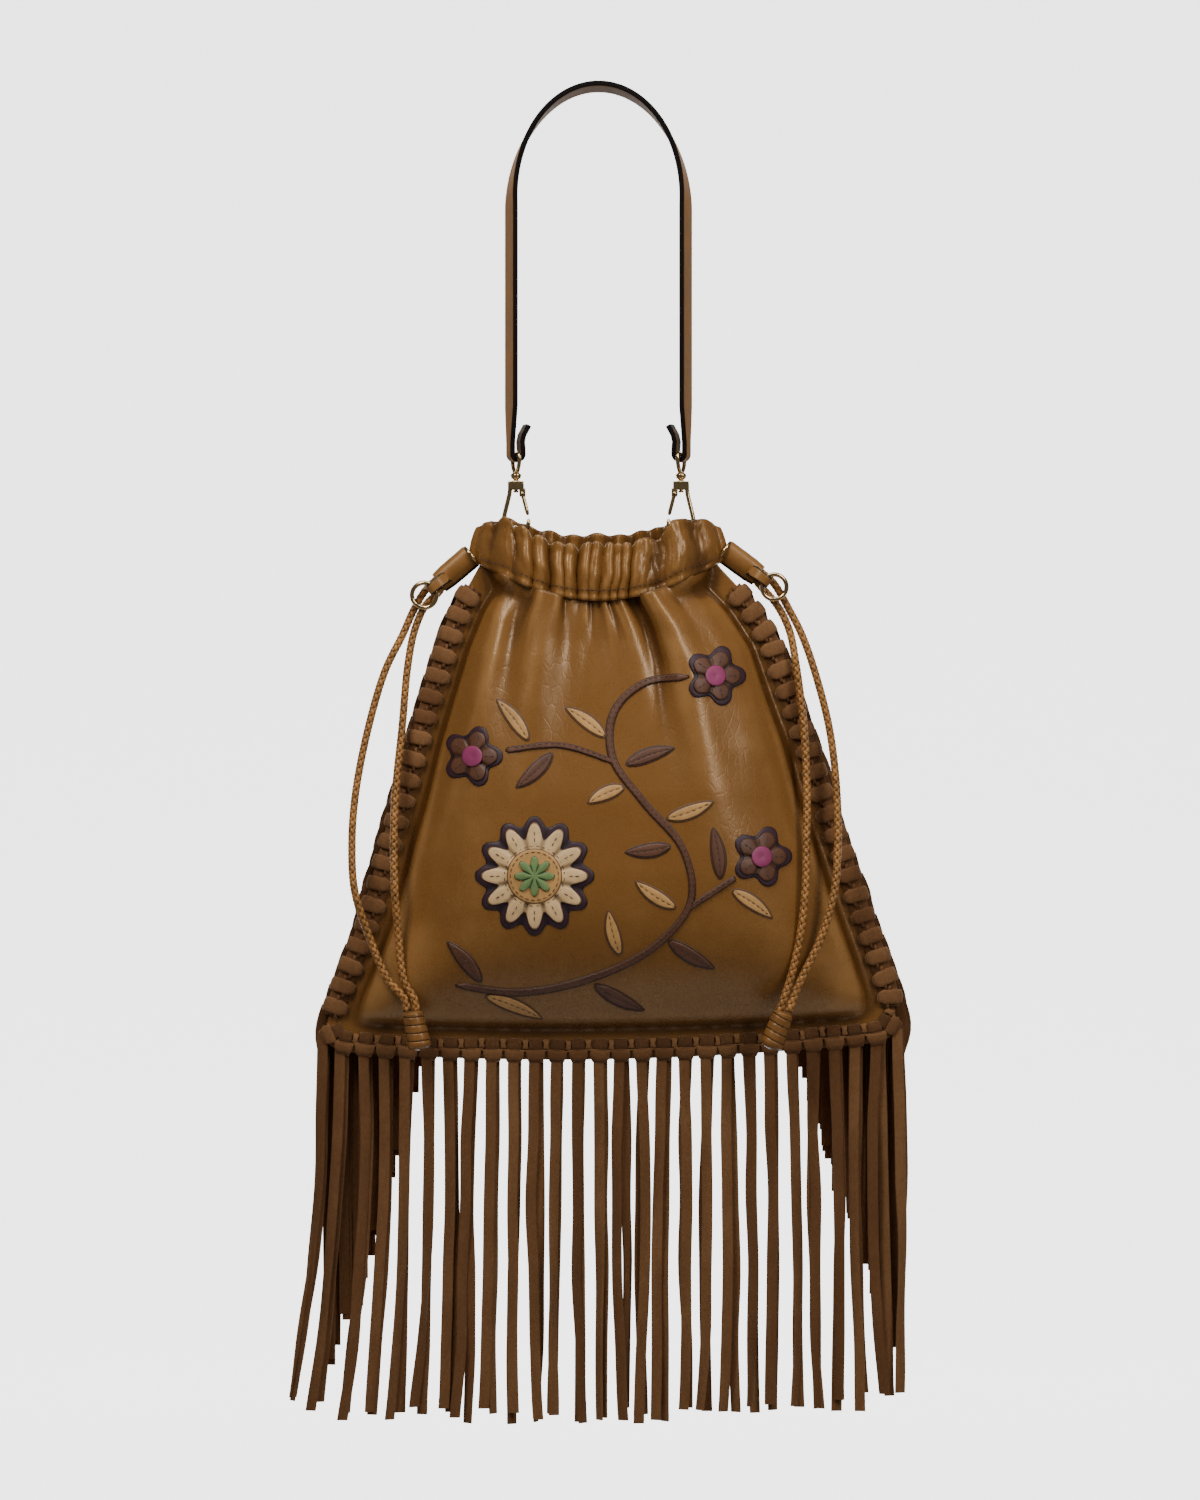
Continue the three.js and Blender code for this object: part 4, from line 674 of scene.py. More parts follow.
def stitch_rows(name, rows, finish, sizes):
    """Stitches along rows of (points, outward directions)."""
    length, thick = sizes.stitch / MM, sizes.thread / MM
    places, turns = [], []
    for path, out in rows:
        path, out = np.asarray(path, float), np.asarray(out, float)
        run = np.r_[0, np.cumsum(np.linalg.norm(np.diff(path, axis=0), axis=1))]
        count = max(2, int(run[-1] / (length * 1.38)))
        s = (np.arange(count) + 0.5) * run[-1] / count
        p = np.stack([np.interp(s, run, path[:, k]) for k in range(3)], 1)
        d = unit(np.stack([np.interp(s + 0.4, run, path[:, k]) - np.interp(s - 0.4, run, path[:, k])
                for k in range(3)], 1))
        o = np.stack([np.interp(s, run, out[:, k]) for k in range(3)], 1)
        o = unit(o - d * np.sum(o * d, axis=1, keepdims=True))
        places.append(p)
        turns.append(turned_to(d, np.cross(o, d), o))
    places = np.vstack(places)
    return repeated(name, places, np.vstack(turns), np.tile((length, thick, thick), (len(places), 1)),
            bpy.data.objects["stitch_pattern"], finish, 0.06, 5)


def patterns():
    """The small shapes that are repeated."""
    s = np.linspace(-0.5, 0.5, 7)
    height = 0.30 * np.cos(np.pi * s) - 0.18
    path = np.stack([s, 0 * s, height * 1.6], 1)
    size = 0.5 * np.array([0.25, 0.8, 1, 1, 1, 0.8, 0.25])
    section = oval(6, 1.0)[None] * size[:, None, None]
    side, up = np.tile((0.0, 1, 0), (7, 1)), np.tile((0.0, 0, 1), (7, 1))
    pts, faces = sweep(path, side, up, section)
    return tucked_away("stitch_pattern", [(pts, faces, {})])


# materials


class Value:
    """A number that changes over a surface; sums and products of it add Math nodes."""

    def __init__(self, paint, socket):
        self.paint, self.socket = paint, socket

    def _math(self, kind, a, b=None, c=None):
        n = self.paint.tree.nodes.new("ShaderNodeMath")
        n.operation = kind
        for i, x in enumerate((a, b, c)):
            if isinstance(x, Value):
                self.paint.tree.links.new(x.socket, n.inputs[i])
            elif x is not None:
                n.inputs[i].default_value = x
        return Value(self.paint, n.outputs[0])

    def __add__(self, o): return self._math("ADD", self, o)
    def __radd__(self, o): return self._math("ADD", o, self)
    def __sub__(self, o): return self._math("SUBTRACT", self, o)
    def __rsub__(self, o): return self._math("SUBTRACT", o, self)
    def __mul__(self, o): return self._math("MULTIPLY", self, o)
    def __rmul__(self, o): return self._math("MULTIPLY", o, self)
    def __truediv__(self, o): return self._math("DIVIDE", self, o)
    def __pow__(self, o): return self._math("POWER", self, o)
    def __abs__(self): return self._math("ABSOLUTE", self)
    def below(self, o): return self._math("MINIMUM", self, o)

    def between(self, low, high):
        """0 at low, 1 at high, smooth in between."""
        n = self.paint.node("ShaderNodeMapRange", {"interpolation_type": "SMOOTHSTEP"},
                {"Value": self, "From Min": low, "From Max": high})
        return Value(self.paint, n.outputs[0])


class Paint:
    """A material under construction."""

    def __init__(self, name):
        self.material = bpy.data.materials.new(name)
        self.material.use_nodes = True
        self.tree = self.material.node_tree
        self.tree.nodes.clear()
        self.out = self.tree.nodes.new("ShaderNodeOutputMaterial")
        self.where = self.node("ShaderNodeTexCoord").outputs["Object"]

    def node(self, kind, settings=None, sockets=None):
        n = self.tree.nodes.new(kind)
        for key, value in (settings or {}).items():
            setattr(n, key, value)
        for key, value in (sockets or {}).items():
            s = n.inputs[key] if isinstance(key,
                    int) else next(s for s in n.inputs if s.name == key and s.enabled)
            value = value.socket if isinstance(value, Value) else value
            if isinstance(value, bpy.types.NodeSocket):
                self.tree.links.new(value, s)
            elif s.type == "RGBA" and len(value) == 3:
                s.default_value = (*value, 1)
            else:
                s.default_value = value
        return n

    def stretched(self, x, y, z):
        return self.node("ShaderNodeMapping", {}, {"Vector": self.where, "Scale": (x, y, z)}).outputs[0]

    def noise(self, scale, detail=2.0, rough=0.5, where=None):
        n = self.node("ShaderNodeTexNoise", {}, {"Vector": where or self.where, "Scale": scale,
                "Detail": detail,
                "Roughness": rough})
        return Value(self, n.outputs[0])

    def cells(self, scale, feature="F1", where=None):
        n = self.node("ShaderNodeTexVoronoi", {"feature": feature}, {"Vector": where or self.where,
                "Scale": scale})
        return Value(self, n.outputs["Distance"])

    def attribute(self, name):
        return Value(self, self.node("ShaderNodeAttribute", {"attribute_name": name}).outputs["Fac"])

    def mix(self, share, a, b):
        n = self.node("ShaderNodeMix", {"data_type": "RGBA"}, {"Factor": share, "A": a, "B": b})
        return next(s for s in n.outputs if s.enabled)

    def bump(self, height, distance, strength=1.0, under=None):
        given = {"Height": height, "Distance": distance, "Strength": strength}
        if under is not None:
            given["Normal"] = under
        return self.node("ShaderNodeBump", {}, given).outputs[0]

    def done(self, base, rough, normal=None, **fixed):
        sockets = {"Base Color": base, "Roughness": rough}
        if normal is not None:
            sockets["Normal"] = normal
        sockets.update({k.replace("_", " "): v for k, v in fixed.items()})
        shader = self.node("ShaderNodeBsdfPrincipled", {}, sockets)
        self.tree.links.new(shader.outputs[0], self.out.inputs[0])
        return self.material


def smooth_leather(c):
    """Soft glossy leather: patches, ridges lighter from rubbing and painted highlight, painted shade in the
    folds and toward the bottom, fine grain and small creases.
    """
    p = Paint("caramel_leather")
    base, light, dark = tuple(c.leather), tuple(c.leather_light), tuple(c.leather_dark)
    rub, edge = p.attribute("rub"), p.attribute("edge")
    patches = p.noise(14, 3, 0.55)
    blotches = p.noise(75, 4, 0.6)
    fine = p.noise(420, 3, 0.6)
    # ridges lighter: rubbed wear plus painted highlight
    tone = p.mix((rub * 0.55 + (patches - 0.5) * 0.5 + (blotches - 0.5) * 0.45).between(0.0, 0.75), base,
            light)
    # painted shade: darker down in the folds and on steep fold walls
    deep = p.mix(((0 - rub) * 0.55 + (0.5 - patches) * 0.30 + (0.5 - blotches) * 0.2).between(0.05,
            0.85) * 0.8, tone, dark)
    worn = p.mix((fine.between(0.62, 0.80)) * 0.12, deep, light)
    rim = p.mix(edge * 0.8, worn, dark)
    grain = p.cells(1500, "SMOOTH_F1")
    pores = p.noise(2600, 2, 0.6)
    creases = p.cells(210, "DISTANCE_TO_EDGE", p.stretched(1.0, 1.0, 0.55)).between(0.0, 0.10)
    normal = p.bump(grain * 0.65 + pores * 0.35, 0.00007, 0.4)
    normal = p.bump(creases * 0.5 + blotches, 0.00018, 0.3, normal)
    # painted shade: darker toward the bottom of the pouch
    height = Value(p, p.node("ShaderNodeSeparateXYZ", {}, {"Vector": p.where}).outputs["Z"])
    painted_low_shade = p.mix((0 - height).between(LOW_SHADE_TOP, LOW_SHADE_BOTTOM) * LOW_SHADE_SHARE, rim, dark)
    rough = 0.29 + (fine - 0.5) * 0.12 + (blotches - 0.5) * 0.12 + edge * 0.25
    return p.done(painted_low_shade, rough, normal, Specular_IOR_Level=0.6, Specular_Tint=(1.0, 0.78, 0.55))


def suede(c, name="brown_suede"):
    """Napped suede with brushed patches and lighter or darker strips."""
    p = Paint(name)
    shade, lit = p.attribute("shade"), p.attribute("lit")
    brushed = p.noise(55, 4, 0.65, p.stretched(1, 1, 0.45))
    nap = p.noise(700, 4, 0.7)
    fuzz = p.noise(2400, 2, 0.6)
    tone = p.mix(((brushed - 0.5) * 1.1 + (nap - 0.5) * 0.9 + (shade - 0.5) * 0.55 + lit
             + 0.32).between(0.0, 1.0),
            tuple(c.suede), tuple(c.suede_light))
    dark = p.mix((0.5 - nap + (0.5 - brushed) * 0.6 + (0.5 - shade) * 0.35 - lit).between(0.12, 0.6) * 0.6,
            tone,
            tuple(0.42 * x for x in c.suede))
    normal = p.bump(fuzz * 0.6 + nap * 0.6, 0.00035, 0.6)
    return p.done(dark, 0.9 + (fuzz - 0.5) * 0.12, normal, Sheen_Weight=0.28, Sheen_Roughness=0.45,
            Sheen_Tint=(0.75, 0.5, 0.32), Specular_IOR_Level=0.25)


def strap_leather(c, name="strap_leather"):
    """Firm strap leather: tan outer face, browner inner face, thick dark edge paint."""
    p = Paint(name)
    edge, face = p.attribute("edge"), p.attribute("face")
    patches, fine = p.noise(60, 4, 0.6), p.noise(900, 3, 0.6)
    outer = p.mix(((patches - 0.5) * 1.2 + 0.4).between(0.0, 1.0), tuple(c.strap),
            tuple(1.5 * x for x in c.strap))
    inner = p.mix(((patches - 0.5) * 1.4 + 0.5).between(0.0, 1.0), tuple(0.42 * x for x in c.strap),
            tuple(0.75 * x for x in c.strap))
    both = p.mix(face.between(0.35, 0.65), inner, outer)
    base = p.mix(edge.between(0.35, 0.65), both, tuple(c.paint))
    normal = p.bump(fine * 0.5 + p.cells(1800, "SMOOTH_F1") * 0.5, 0.0001, 0.45)
    return p.done(base, 0.56 + (fine - 0.5) * 0.2 + (patches - 0.5) * 0.15, normal, Specular_IOR_Level=0.03)


def gold_metal(c, name="gold_metal"):
    """Polished pale gold plate with faint hairlines and smudges."""
    p = Paint(name)
    smudge, hair = p.noise(240, 3, 0.6), p.noise(1500, 2, 0.6, p.stretched(1, 1, 0.12))
    base = p.mix((smudge - 0.2).between(0.0, 0.7), tuple(0.80 * x for x in c.gold), tuple(c.gold))
    rough = 0.15 + (smudge - 0.5) * 0.14 + (hair - 0.5) * 0.10
    return p.done(base, rough, p.bump(hair, 0.00002, 0.35), Metallic=1.0)


def braided_leather(c, name="braided_leather"):
    """Narrow glossy leather strands of a round braid, with painted highlight on the strands that lie on top
    and painted shade down between them.
    """
    p = Paint(name)
    high = p.attribute("high")
    fine, patches = p.noise(1300, 3, 0.6), p.noise(160, 3, 0.6)
    # high is painted light and shade: lighter where a strand lies on top, darker at its edges, under
    # crossings and on the core
    tone = p.mix(((patches - 0.5) + high * 0.5 + 0.1).between(0.0, 1.0), tuple(0.55 * x for x in c.braid),
            tuple(2.1 * x for x in c.braid))
    base = p.mix(high.between(0.0, 0.3), tuple(0.38 * x for x in c.braid), tone)
    return p.done(base, 0.36 + (fine - 0.5) * 0.25, p.bump(fine, 0.00008, 0.5), Specular_Tint=(1.0, 0.8,
            0.55))


def tab_leather(c):
    """Smooth leather of tabs and loops, with painted edges, painted highlight on the upper side and painted
    shade below and inside.
    """
    p = Paint("tab_leather")
    rub, edge = p.attribute("rub"), p.attribute("edge")
    patches, fine = p.noise(130, 4, 0.6), p.noise(900, 3, 0.6)
    # painted light and shade: lighter on the tab's upper side, darker on its lower side and inside
    tone = p.mix((rub * 0.5 + (patches - 0.5) * 0.9 + 0.15).between(0.0, 1.0), tuple(c.leather),
            tuple(c.leather_light))
    deep = p.mix((0 - rub).between(0.1, 1.0) * 0.8, tone, tuple(c.leather_dark))
    base = p.mix(edge.between(0.35, 0.7), deep, tuple(c.paint))
    normal = p.bump(p.cells(1500, "SMOOTH_F1") * 0.5 + fine * 0.5, 0.0001, 0.5)
    return p.done(base, 0.36 + (fine - 0.5) * 0.2 + (patches - 0.5) * 0.12, normal, Specular_Tint=(1.0,
            0.78, 0.55))


def wound_leather(c):
    """Thong wound round the ends of the drawstrings, with painted shade in the grooves between its turns."""
    p = Paint("wound_leather")
    patches, fine = p.noise(150, 4, 0.6), p.noise(1000, 3, 0.6)
    tone = p.mix(((patches - 0.5) * 1.2 + 0.45).between(0.0, 1.0), tuple(0.6 * x for x in c.braid),
            tuple(1.1 * x for x in c.braid))
    # grooves between the turns are painted near black as painted shade
    base = p.mix(p.attribute("high").between(0.1, 0.8), tuple(0.12 * x for x in c.braid), tone)
    return p.done(base, 0.30 + (fine - 0.5) * 0.16, p.bump(fine, 0.00006, 0.4), Specular_Tint=(1.0, 0.78,
            0.55))


def cut_leather(c, name, tone, glow=1.28):
    """Thin cut leather of the appliqué: fine grain, faded patches, darker cut edge and creases."""
    p = Paint(name)
    edge, groove = p.attribute("edge"), p.attribute("groove")
    patches, fine = p.noise(110, 4, 0.6), p.noise(1100, 3, 0.6)
    base = p.mix(((patches - 0.5) * 1.3 + 0.5).between(0.0, 1.0), tuple(0.78 * x for x in tone),
            tuple(min(1, glow * x) for x in tone))
    lined = p.mix(groove * 0.75, base, tuple(0.30 * x for x in tone))
    cut = p.mix(edge.between(0.2, 0.8) * 0.9, lined, tuple(min(0.5 * x, 0.6 * y) for x, y in zip(tone,
            c.brown)))
    normal = p.bump(p.cells(1500, "SMOOTH_F1") * 0.5 + fine * 0.5, 0.00012, 0.5)
    return p.done(cut, 0.50 + (fine - 0.5) * 0.22, normal, Specular_IOR_Level=0.4)


def sewing_thread(c):
    """Dark waxed thread."""
    p = Paint("sewing_thread")
    ply = p.noise(3500, 2, 0.6)
    tone = tuple(c.thread)
    base = p.mix(ply.between(0.3, 0.7), tuple(0.6 * x for x in tone), tuple(1.3 * x for x in tone))
    return p.done(base, 0.7 + (ply - 0.5) * 0.2, p.bump(ply, 0.00006, 0.6), Sheen_Weight=0.2)


def pale_floor():
    """Plain pale paper that shines behind the bag."""
    p = Paint("pale_floor")
    cloud = p.noise(3, 2, 0.5)
    base = p.mix(cloud, (0.86, 0.86, 0.86), (0.90, 0.90, 0.90))
    behind = Value(p, p.node("ShaderNodeSeparateXYZ", {},
            {"Vector": p.where}).outputs["Y"]).between(WALL_AWAY - 0.2, WALL_AWAY + 0.3)
    return p.done(base, 0.9, Emission_Color=p.mix(behind, (0, 0, 0), (1, 1, 1)), Emission_Strength=FLOOR_GLOW)


FINISH = {}


def mix_finishes():
    c = bpy.context.scene.bag_colours
    FINISH.update({
        "leather": smooth_leather(c), "suede": suede(c), "strap": strap_leather(c), "gold": gold_metal(c),
        "braid": braided_leather(c), "thread": sewing_thread(c),
        "floor": pale_floor(), "tab": tab_leather(c), "wound": wound_leather(c),
    })
    for tone in ("cream", "tan", "brown", "dark", "pink", "green"):
        FINISH[tone] = cut_leather(c, tone + "_leather", tuple(getattr(c, tone)))


def relief(y, dx, dz):
    """How much a grid of depths stands out (1) or falls in (-1) around each point."""
    pad = np.pad(y, 4, mode="edge")
    k = np.exp(-(np.arange(-3, 4) / 2.0) ** 2)
    k /= k.sum()
    soft = np.apply_along_axis(lambda r: np.convolve(r, k, mode="same"), 0, pad)
    soft = np.apply_along_axis(lambda r: np.convolve(r, k, mode="same"), 1, soft)
    bend = np.gradient(np.gradient(soft, axis=1), axis=1) / dx ** 2 + 0.6 * np.gradient(np.gradient(soft,
            axis=0), axis=0) / dz ** 2
    return np.clip(-bend[4:-4, 4:-4] / 0.055, -1, 1)


# panels and casing


def make_panel(pouch, back):
    sign = 1 if back else -1
    v = np.r_[np.linspace(0, 0.95, 134), 0.95 + 0.05 * np.sin(np.linspace(0, np.pi / 2, 16))[1:]]
    u = np.linspace(0, 1, 178)
    uu, vv = np.meshgrid(u, v)
    x, z = pouch.place(uu, vv)
    d = pouch.depth(uu, vv, back=back)
    across = np.gradient(d, axis=1) / np.maximum(0.2, np.gradient(x, axis=1))
    down = np.gradient(d, axis=0) / np.minimum(-0.2, np.gradient(z, axis=0))
    thick = WALL * np.minimum(2, np.sqrt(1 + across ** 2 + down ** 2))
    outer = np.stack([x, sign * (SKIN + d), z], -1)
    inner = np.stack([x, sign * np.maximum(GAP / 2, SKIN + d - thick), z], -1)
    points, faces = slab(outer, inner)
    edge = np.zeros(uu.shape)
    edge[0] = edge[-1] = 1
    edge[:, 0] = edge[:, -1] = 1
    # lighter on convex ridges (rubbed wear plus painted highlight), darker in hollows and on steep fold walls
    # (painted shade)
    rub = relief(d, 1.65, 1.85) - 1.1 * np.clip(np.hypot(across, down) - 0.9, 0, 1.2)
    pick = np.zeros(len(faces), np.int32)
    half = (len(v) - 1) * (len(u) - 1)
    pick[half:2 * half] = 1
    name = "back_panel_leather" if back else "front_panel_leather"
    obj = build(name, points, faces, [FINISH["leather"], FINISH["suede"]],
            {"rub": np.r_[rub.ravel(), 0 * rub.ravel()], "edge": np.r_[edge.ravel(), edge.ravel()],
             "shade": np.full(2 * uu.size, 0.2)}, pick)
    return finish_piece(obj, "bag", "smooth_leather", "back_panel" if back else "front_panel")


def casing_rings(pouch, nf=330, nb=220, rows=26):
    """Outer and inner walls of the gathered band, and how much each point stands out, shifted darker as
    painted shade in the pleats.
    """
    left, right = pouch.edges(0.0)
    width = right - left
    ends = np.sin(np.linspace(0, np.pi / 2, 12)) ** 2 * 0.018
    uf = np.r_[ends[1:], np.linspace(0.018, 0.982, nf), 1 - ends[::-1][:-1]]
    ub = np.r_[ends[1:], np.linspace(0.018, 0.982, nb), 1 - ends[::-1][:-1]][::-1]
    u = np.r_[uf, 1.0, ub, 0.0]
    sign = np.r_[-np.ones(len(uf)), 0, np.ones(len(ub)), 0]
    levels = np.r_[-0.06, np.linspace(0, 0.9, rows - 5), 0.95, 0.98, 0.995, 1.0]
    outer, inner, pleat_light_and_shade = [], [], []
    front = sign <= 0
    for level in levels:
        up = max(0.0, level)
        wander = u + 0.012 * (mottle(u * 7, up * 2.2, 21) - mottle(u * 7, 0 * u, 21)) * np.minimum(1,
                np.minimum(u, 1 - u) * 12)
        pleat = np.where(front, pleat_at(FRONT_RIDGES, wander, 2.6), pleat_at(BACK_RIDGES, wander, 2.4))
        size = 1 + 0.28 * mottle(u * 13, up * 1.4, 31)
        size = size * np.where(front, np.interp(u, [0, 0.17, 0.27, 0.62, 0.72, 1], [0.45, 0.6, 1.25, 1.3,
                0.75, 0.5]), 1)
        swing = np.interp(up, [0, 0.45, 1], [0.85, 1.1, 0.8])
        end = np.minimum(u, 1 - u) * width
        opened = 2.2 * np.sqrt(1 - (1 - np.clip(end / 4, 0, 1)) ** 2)
        fade = smooth(end / 9)
        belly = 0.7 * np.exp(-((up - 0.40) / 0.22) ** 2) - 0.9 * np.exp(-((up - 0.06) / 0.07) ** 2) \
            - 0.5 * np.exp(-((up - 0.80) / 0.07) ** 2) * (0.4 + 0.6 * mottle(u * 9, 0 * u, 5) ** 2)
        base = pouch.depth(u, 0.0, plain=True) * (1 - 0.12 * up) + opened
        small = 0.35 * mottle(u * 60, up * 4.0, 51) + 0.22 * mottle(u * 110, up * 9.0, 52)
        fold = (PLEAT * swing * size * pleat + small + belly) * fade
        high = CASING_H * np.where(front, np.interp(u, RIM[:, 0], RIM[:, 1]), np.interp(u, RIM[:, 0],
                RIM[:, 2])) * level
        lift = (np.where(front, 1.8, 0.7) * pleat + 1.1 * mottle(u * 17, 0 * u, 61)) * fade * up
        shift = (1.1 * np.sin(9 * u + 3 * up) + 0.7 * mottle(u * 12, up * 3, 71)) * fade * up
        x, z = pouch.place(u, 0.0)
        puff = np.interp(level, ENDS_OUT[:, 0], ENDS_OUT[:, 1]) * (1 - smooth(end / 15)) * np.where(u < 0.5,
                -1, 1)
        line = np.stack([x + shift + puff, sign * (base + fold), z + GAP + high + lift], 1)
        along = unit((np.roll(line, -1, axis=0) - np.roll(line, 1, axis=0)) * (1, 1, 0))
        away = np.stack([along[:, 1], -along[:, 0], 0 * u], 1)
        half = CASING_WALL / 2 * float(np.interp(level, [-0.06, 0, 0.9, 0.95, 0.98, 0.995, 1],
                [0.75, 1, 1, 1.0, 0.85, 0.6, 0.25]))
        for rows_out, h in ((outer, half), (inner, -half)):
            q = line + away * h
            q[:, 2] += pouch.mouth_z(q[:, 0]) - pouch.mouth_z(line[:, 0])
            rows_out.append(q)
        # painted light and shade: lighter on pleat ridges, darker down in the pleats, shifted darker by 0.45
        # as painted shade
        pleat_light_and_shade.append(np.clip(pleat * 1.15 * np.where(front, np.minimum(1, size), 1) + small - 0.45,
                -1.7, 1) * fade)
    return np.array(outer), np.array(inner), np.array(pleat_light_and_shade), levels


def make_casing(pouch, sizes):
    outer, inner, rub, levels = casing_rings(pouch)
    points, faces = slab(outer, inner, ring=True)
    edge = np.repeat((levels > 0.99)[:, None] * 0.7, outer.shape[1], 1)
    flat = rub.ravel()
    # the inner wall gets lower values: painted shade inside the band
    obj = build("casing_leather", points, faces, FINISH["leather"],
            {"rub": np.r_[flat, flat * 0.5 - 0.35], "edge": np.r_[edge.ravel(), edge.ravel()]})
    finish_piece(obj, "bag", "smooth_leather", "casing")
    k = int(np.argmin(np.abs(levels - 0.13)))
    out = unit(outer[k] - inner[k])
    path = outer[k] + out * 0.02
    rows = [(np.vstack([path, path[:1]]), np.vstack([out, out[:1]]))]
    finish_piece(stitch_rows("casing_stitches", rows, FINISH["thread"], sizes), "bag", "smooth_leather")


# lacing and fringe


def lapped(path, wide, section, lit):
    """A short thong along a path across the edge, its section sized to a width at each point."""
    path = np.asarray(path, float)
    along, _, _ = frames_along(path)
    side = np.tile((1.0, 0, 0), (len(path), 1))
    full = np.repeat(section[None], len(path), 0)
    full[..., 0] *= np.asarray(wide)[:, None]
    pts, faces = sweep(path, side, np.cross(along, side), full)
    return pts, faces, {"lit": np.full(len(pts), lit)}


def knot_pattern(pitch, share, name, roll):
    """One lacing knot over the edge: a soft roll at the sides, a block and collar at the bottom."""
    b = BAND_OUT
    half = pitch * share / 2
    parts = []
    a = np.linspace(-90, 90, 11)
    if roll:
        arc = np.stack([0 * a, 0.2 + 3.0 * np.cos(np.radians(a)), (b + 0.65) * np.sin(np.radians(a))], 1)
        path = np.vstack([[(0, -8.4, -(b - 0.2)), (0, -7.9, -(b + 0.7)), (0, -5.6, -(b + 1.0)),
                 (0, -2.6, -(b + 0.85))], arc,
                [(0, -2.6, b + 0.85), (0, -5.6, b + 1.0), (0, -7.9, b + 0.7), (0, -8.4, b - 0.2)]])
        wide = np.interp(path[:, 1], [-8.4, -7.4, -5.0, -3.2, -1.0, 3.2], [0.55, 0.86, 1.0, 0.88, 1.0,
                0.86]) * half
        parts.append(lapped(path, wide, rounded(2, 2.0, 0.85, 5, 1)[0], 0.08))
        for s in (-1, 1):
            t = np.linspace(-1, 1, 9)
            path = np.stack([t * (pitch / 2 + 0.2), -3.3 - 1.1 * t,
                    s * (b + 0.2 + 0.5 * np.cos(np.pi * t / 2))], 1)
            pts, faces = tube(path, 0.8, 7, first=(0, 0, 1.0))
            parts.append((pts, faces, {"lit": np.full(len(pts), -0.25)}))
        return tucked_away(name, parts)
    # collar over the edge of the panels, narrower below
    arc = np.stack([0 * a, 0.3 + 2.9 * np.cos(np.radians(a)), (b + 0.55) * np.sin(np.radians(a))], 1)
    path = np.vstack([[(0, -2.6, -(b + 0.3)), (0, -2.2, -(b + 0.85)), (0, -1.0, -(b + 0.80))], arc,
            [(0, -1.0, b + 0.80), (0, -2.2, b + 0.85), (0, -2.6, b + 0.3)]])
    wide = np.interp(path[:, 1], [-2.6, -2.0, 0.4, 3.2], [0.92, 1.0, 0.95, 0.70]) * half
    parts.append(lapped(path, wide, rounded(2, 1.4, 0.5, 3, 2)[0], 0.0))
    for s in (-1, 1):
        # square block by the hole
        path = [(0, -8.5, s * (b - 0.2)), (0, -8.2, s * (b + 0.7)), (0, -7.7, s * (b + 0.95)),
                (0, -5.4, s * (b + 1.0)),
                (0, -3.6, s * (b + 0.9)), (0, -3.2, s * (b + 0.1))]
        parts.append(lapped(path, np.full(6, half * 0.66), rounded(2, 1.1, 0.3, 3, 1)[0], -0.45))
        # waisted thong that shows between this block and the next
        path = [(pitch / 2, -8.0, s * (b - 0.3)), (pitch / 2, -7.6, s * (b + 0.25)), (pitch / 2, -5.8,
                s * (b + 0.45)),
                (pitch / 2, -4.0, s * (b + 0.35)), (pitch / 2, -3.4, s * (b - 0.3))]
        parts.append(lapped(path, np.array([0.34, 0.32, 0.22, 0.32, 0.36]) * half, rounded(2, 1.0, 0.4, 3,
                1)[0], 0.75))
        # thong drawn tight along the edge, over this knot and under the next
        t = np.linspace(-1, 1, 9)
        path = np.stack([t * (pitch / 2 + 0.2), -2.9 - 0.3 * np.cos(np.pi * t),
                s * (b + 0.45 + 0.5 * np.cos(np.pi * t / 2))], 1)
        pts, faces = tube(path, 0.45, 7, first=(0, 0, 1.0))
        parts.append((pts, faces, {"lit": np.full(len(pts), 0.5)}))
    return tucked_away(name, parts)


def band(line, pouch):
    """Thin suede laid over the edge between the knots."""
    run = np.sum(np.linalg.norm(np.diff(line, axis=0), axis=1))
    s = np.linspace(0, run, int(run / 2.0))
    p, _, away, _ = pouch.along_edge(line, s)
    b0, b1 = BAND_IN + 0.02, BAND_OUT - 0.15
    wave = 0.25 * mottle(s / 5.0, 0 * s, 9)
    prof = [(-7.6, -b1), (-3, -b1 - 0.1), (EDGE_GAP + 0.3, -b1), (EDGE_GAP + 0.85, -b1 * 0.6),
            (EDGE_GAP + 0.95, 0),
            (EDGE_GAP + 0.85, b1 * 0.6), (EDGE_GAP + 0.3, b1), (-3, b1 + 0.1), (-7.6, b1),
            (-7.5, b0), (EDGE_GAP, b0), (EDGE_GAP, -b0), (-7.5, -b0)]
    section = np.tile(np.array(prof)[None], (len(s), 1, 1))
    section[:, [0, 8], 0] += wave[:, None]
    y = np.tile((0.0, 1, 0), (len(s), 1))
    return sweep(p, away, y, section)


def make_lacing(pouch, kind, count, share):
    line = pouch.edge_line(kind)
    run = np.sum(np.linalg.norm(np.diff(line, axis=0), axis=1))
    s = np.linspace(KNOT_INSET, run - KNOT_INSET, count)
    p, along, away, _ = pouch.along_edge(line, s)
    pitch = (run - 2 * KNOT_INSET) / (count - 1)
    pattern = knot_pattern(pitch, share, kind + "_knot_pattern", kind != "bottom")
    jitter = np.array([hashed(500 + k + 40 * len(kind)) for k in range(count)])
    up = np.cross(along, away)
    lean = np.radians(5) * jitter[:, None]
    x_axis = unit(along * np.cos(lean) + away * np.sin(lean))
    y_axis = np.cross(up, x_axis)
    size = np.tile((1.0, 1, 1), (count, 1))
    size[:, 0] *= 1 + 0.04 * jitter
    knots = repeated(kind + "_knots", p, turned_to(x_axis, y_axis, up), size, pattern, FINISH["suede"],
            0.025, 3)
    finish_piece(knots, "bag", "suede", kind + "_fringe")
    points, faces = band(line, pouch)
    obj = build(kind + "_band", points, faces, FINISH["suede"], {"shade": np.full(len(points), 0.15)})
    finish_piece(obj, "bag", "suede")
    return p, along, away


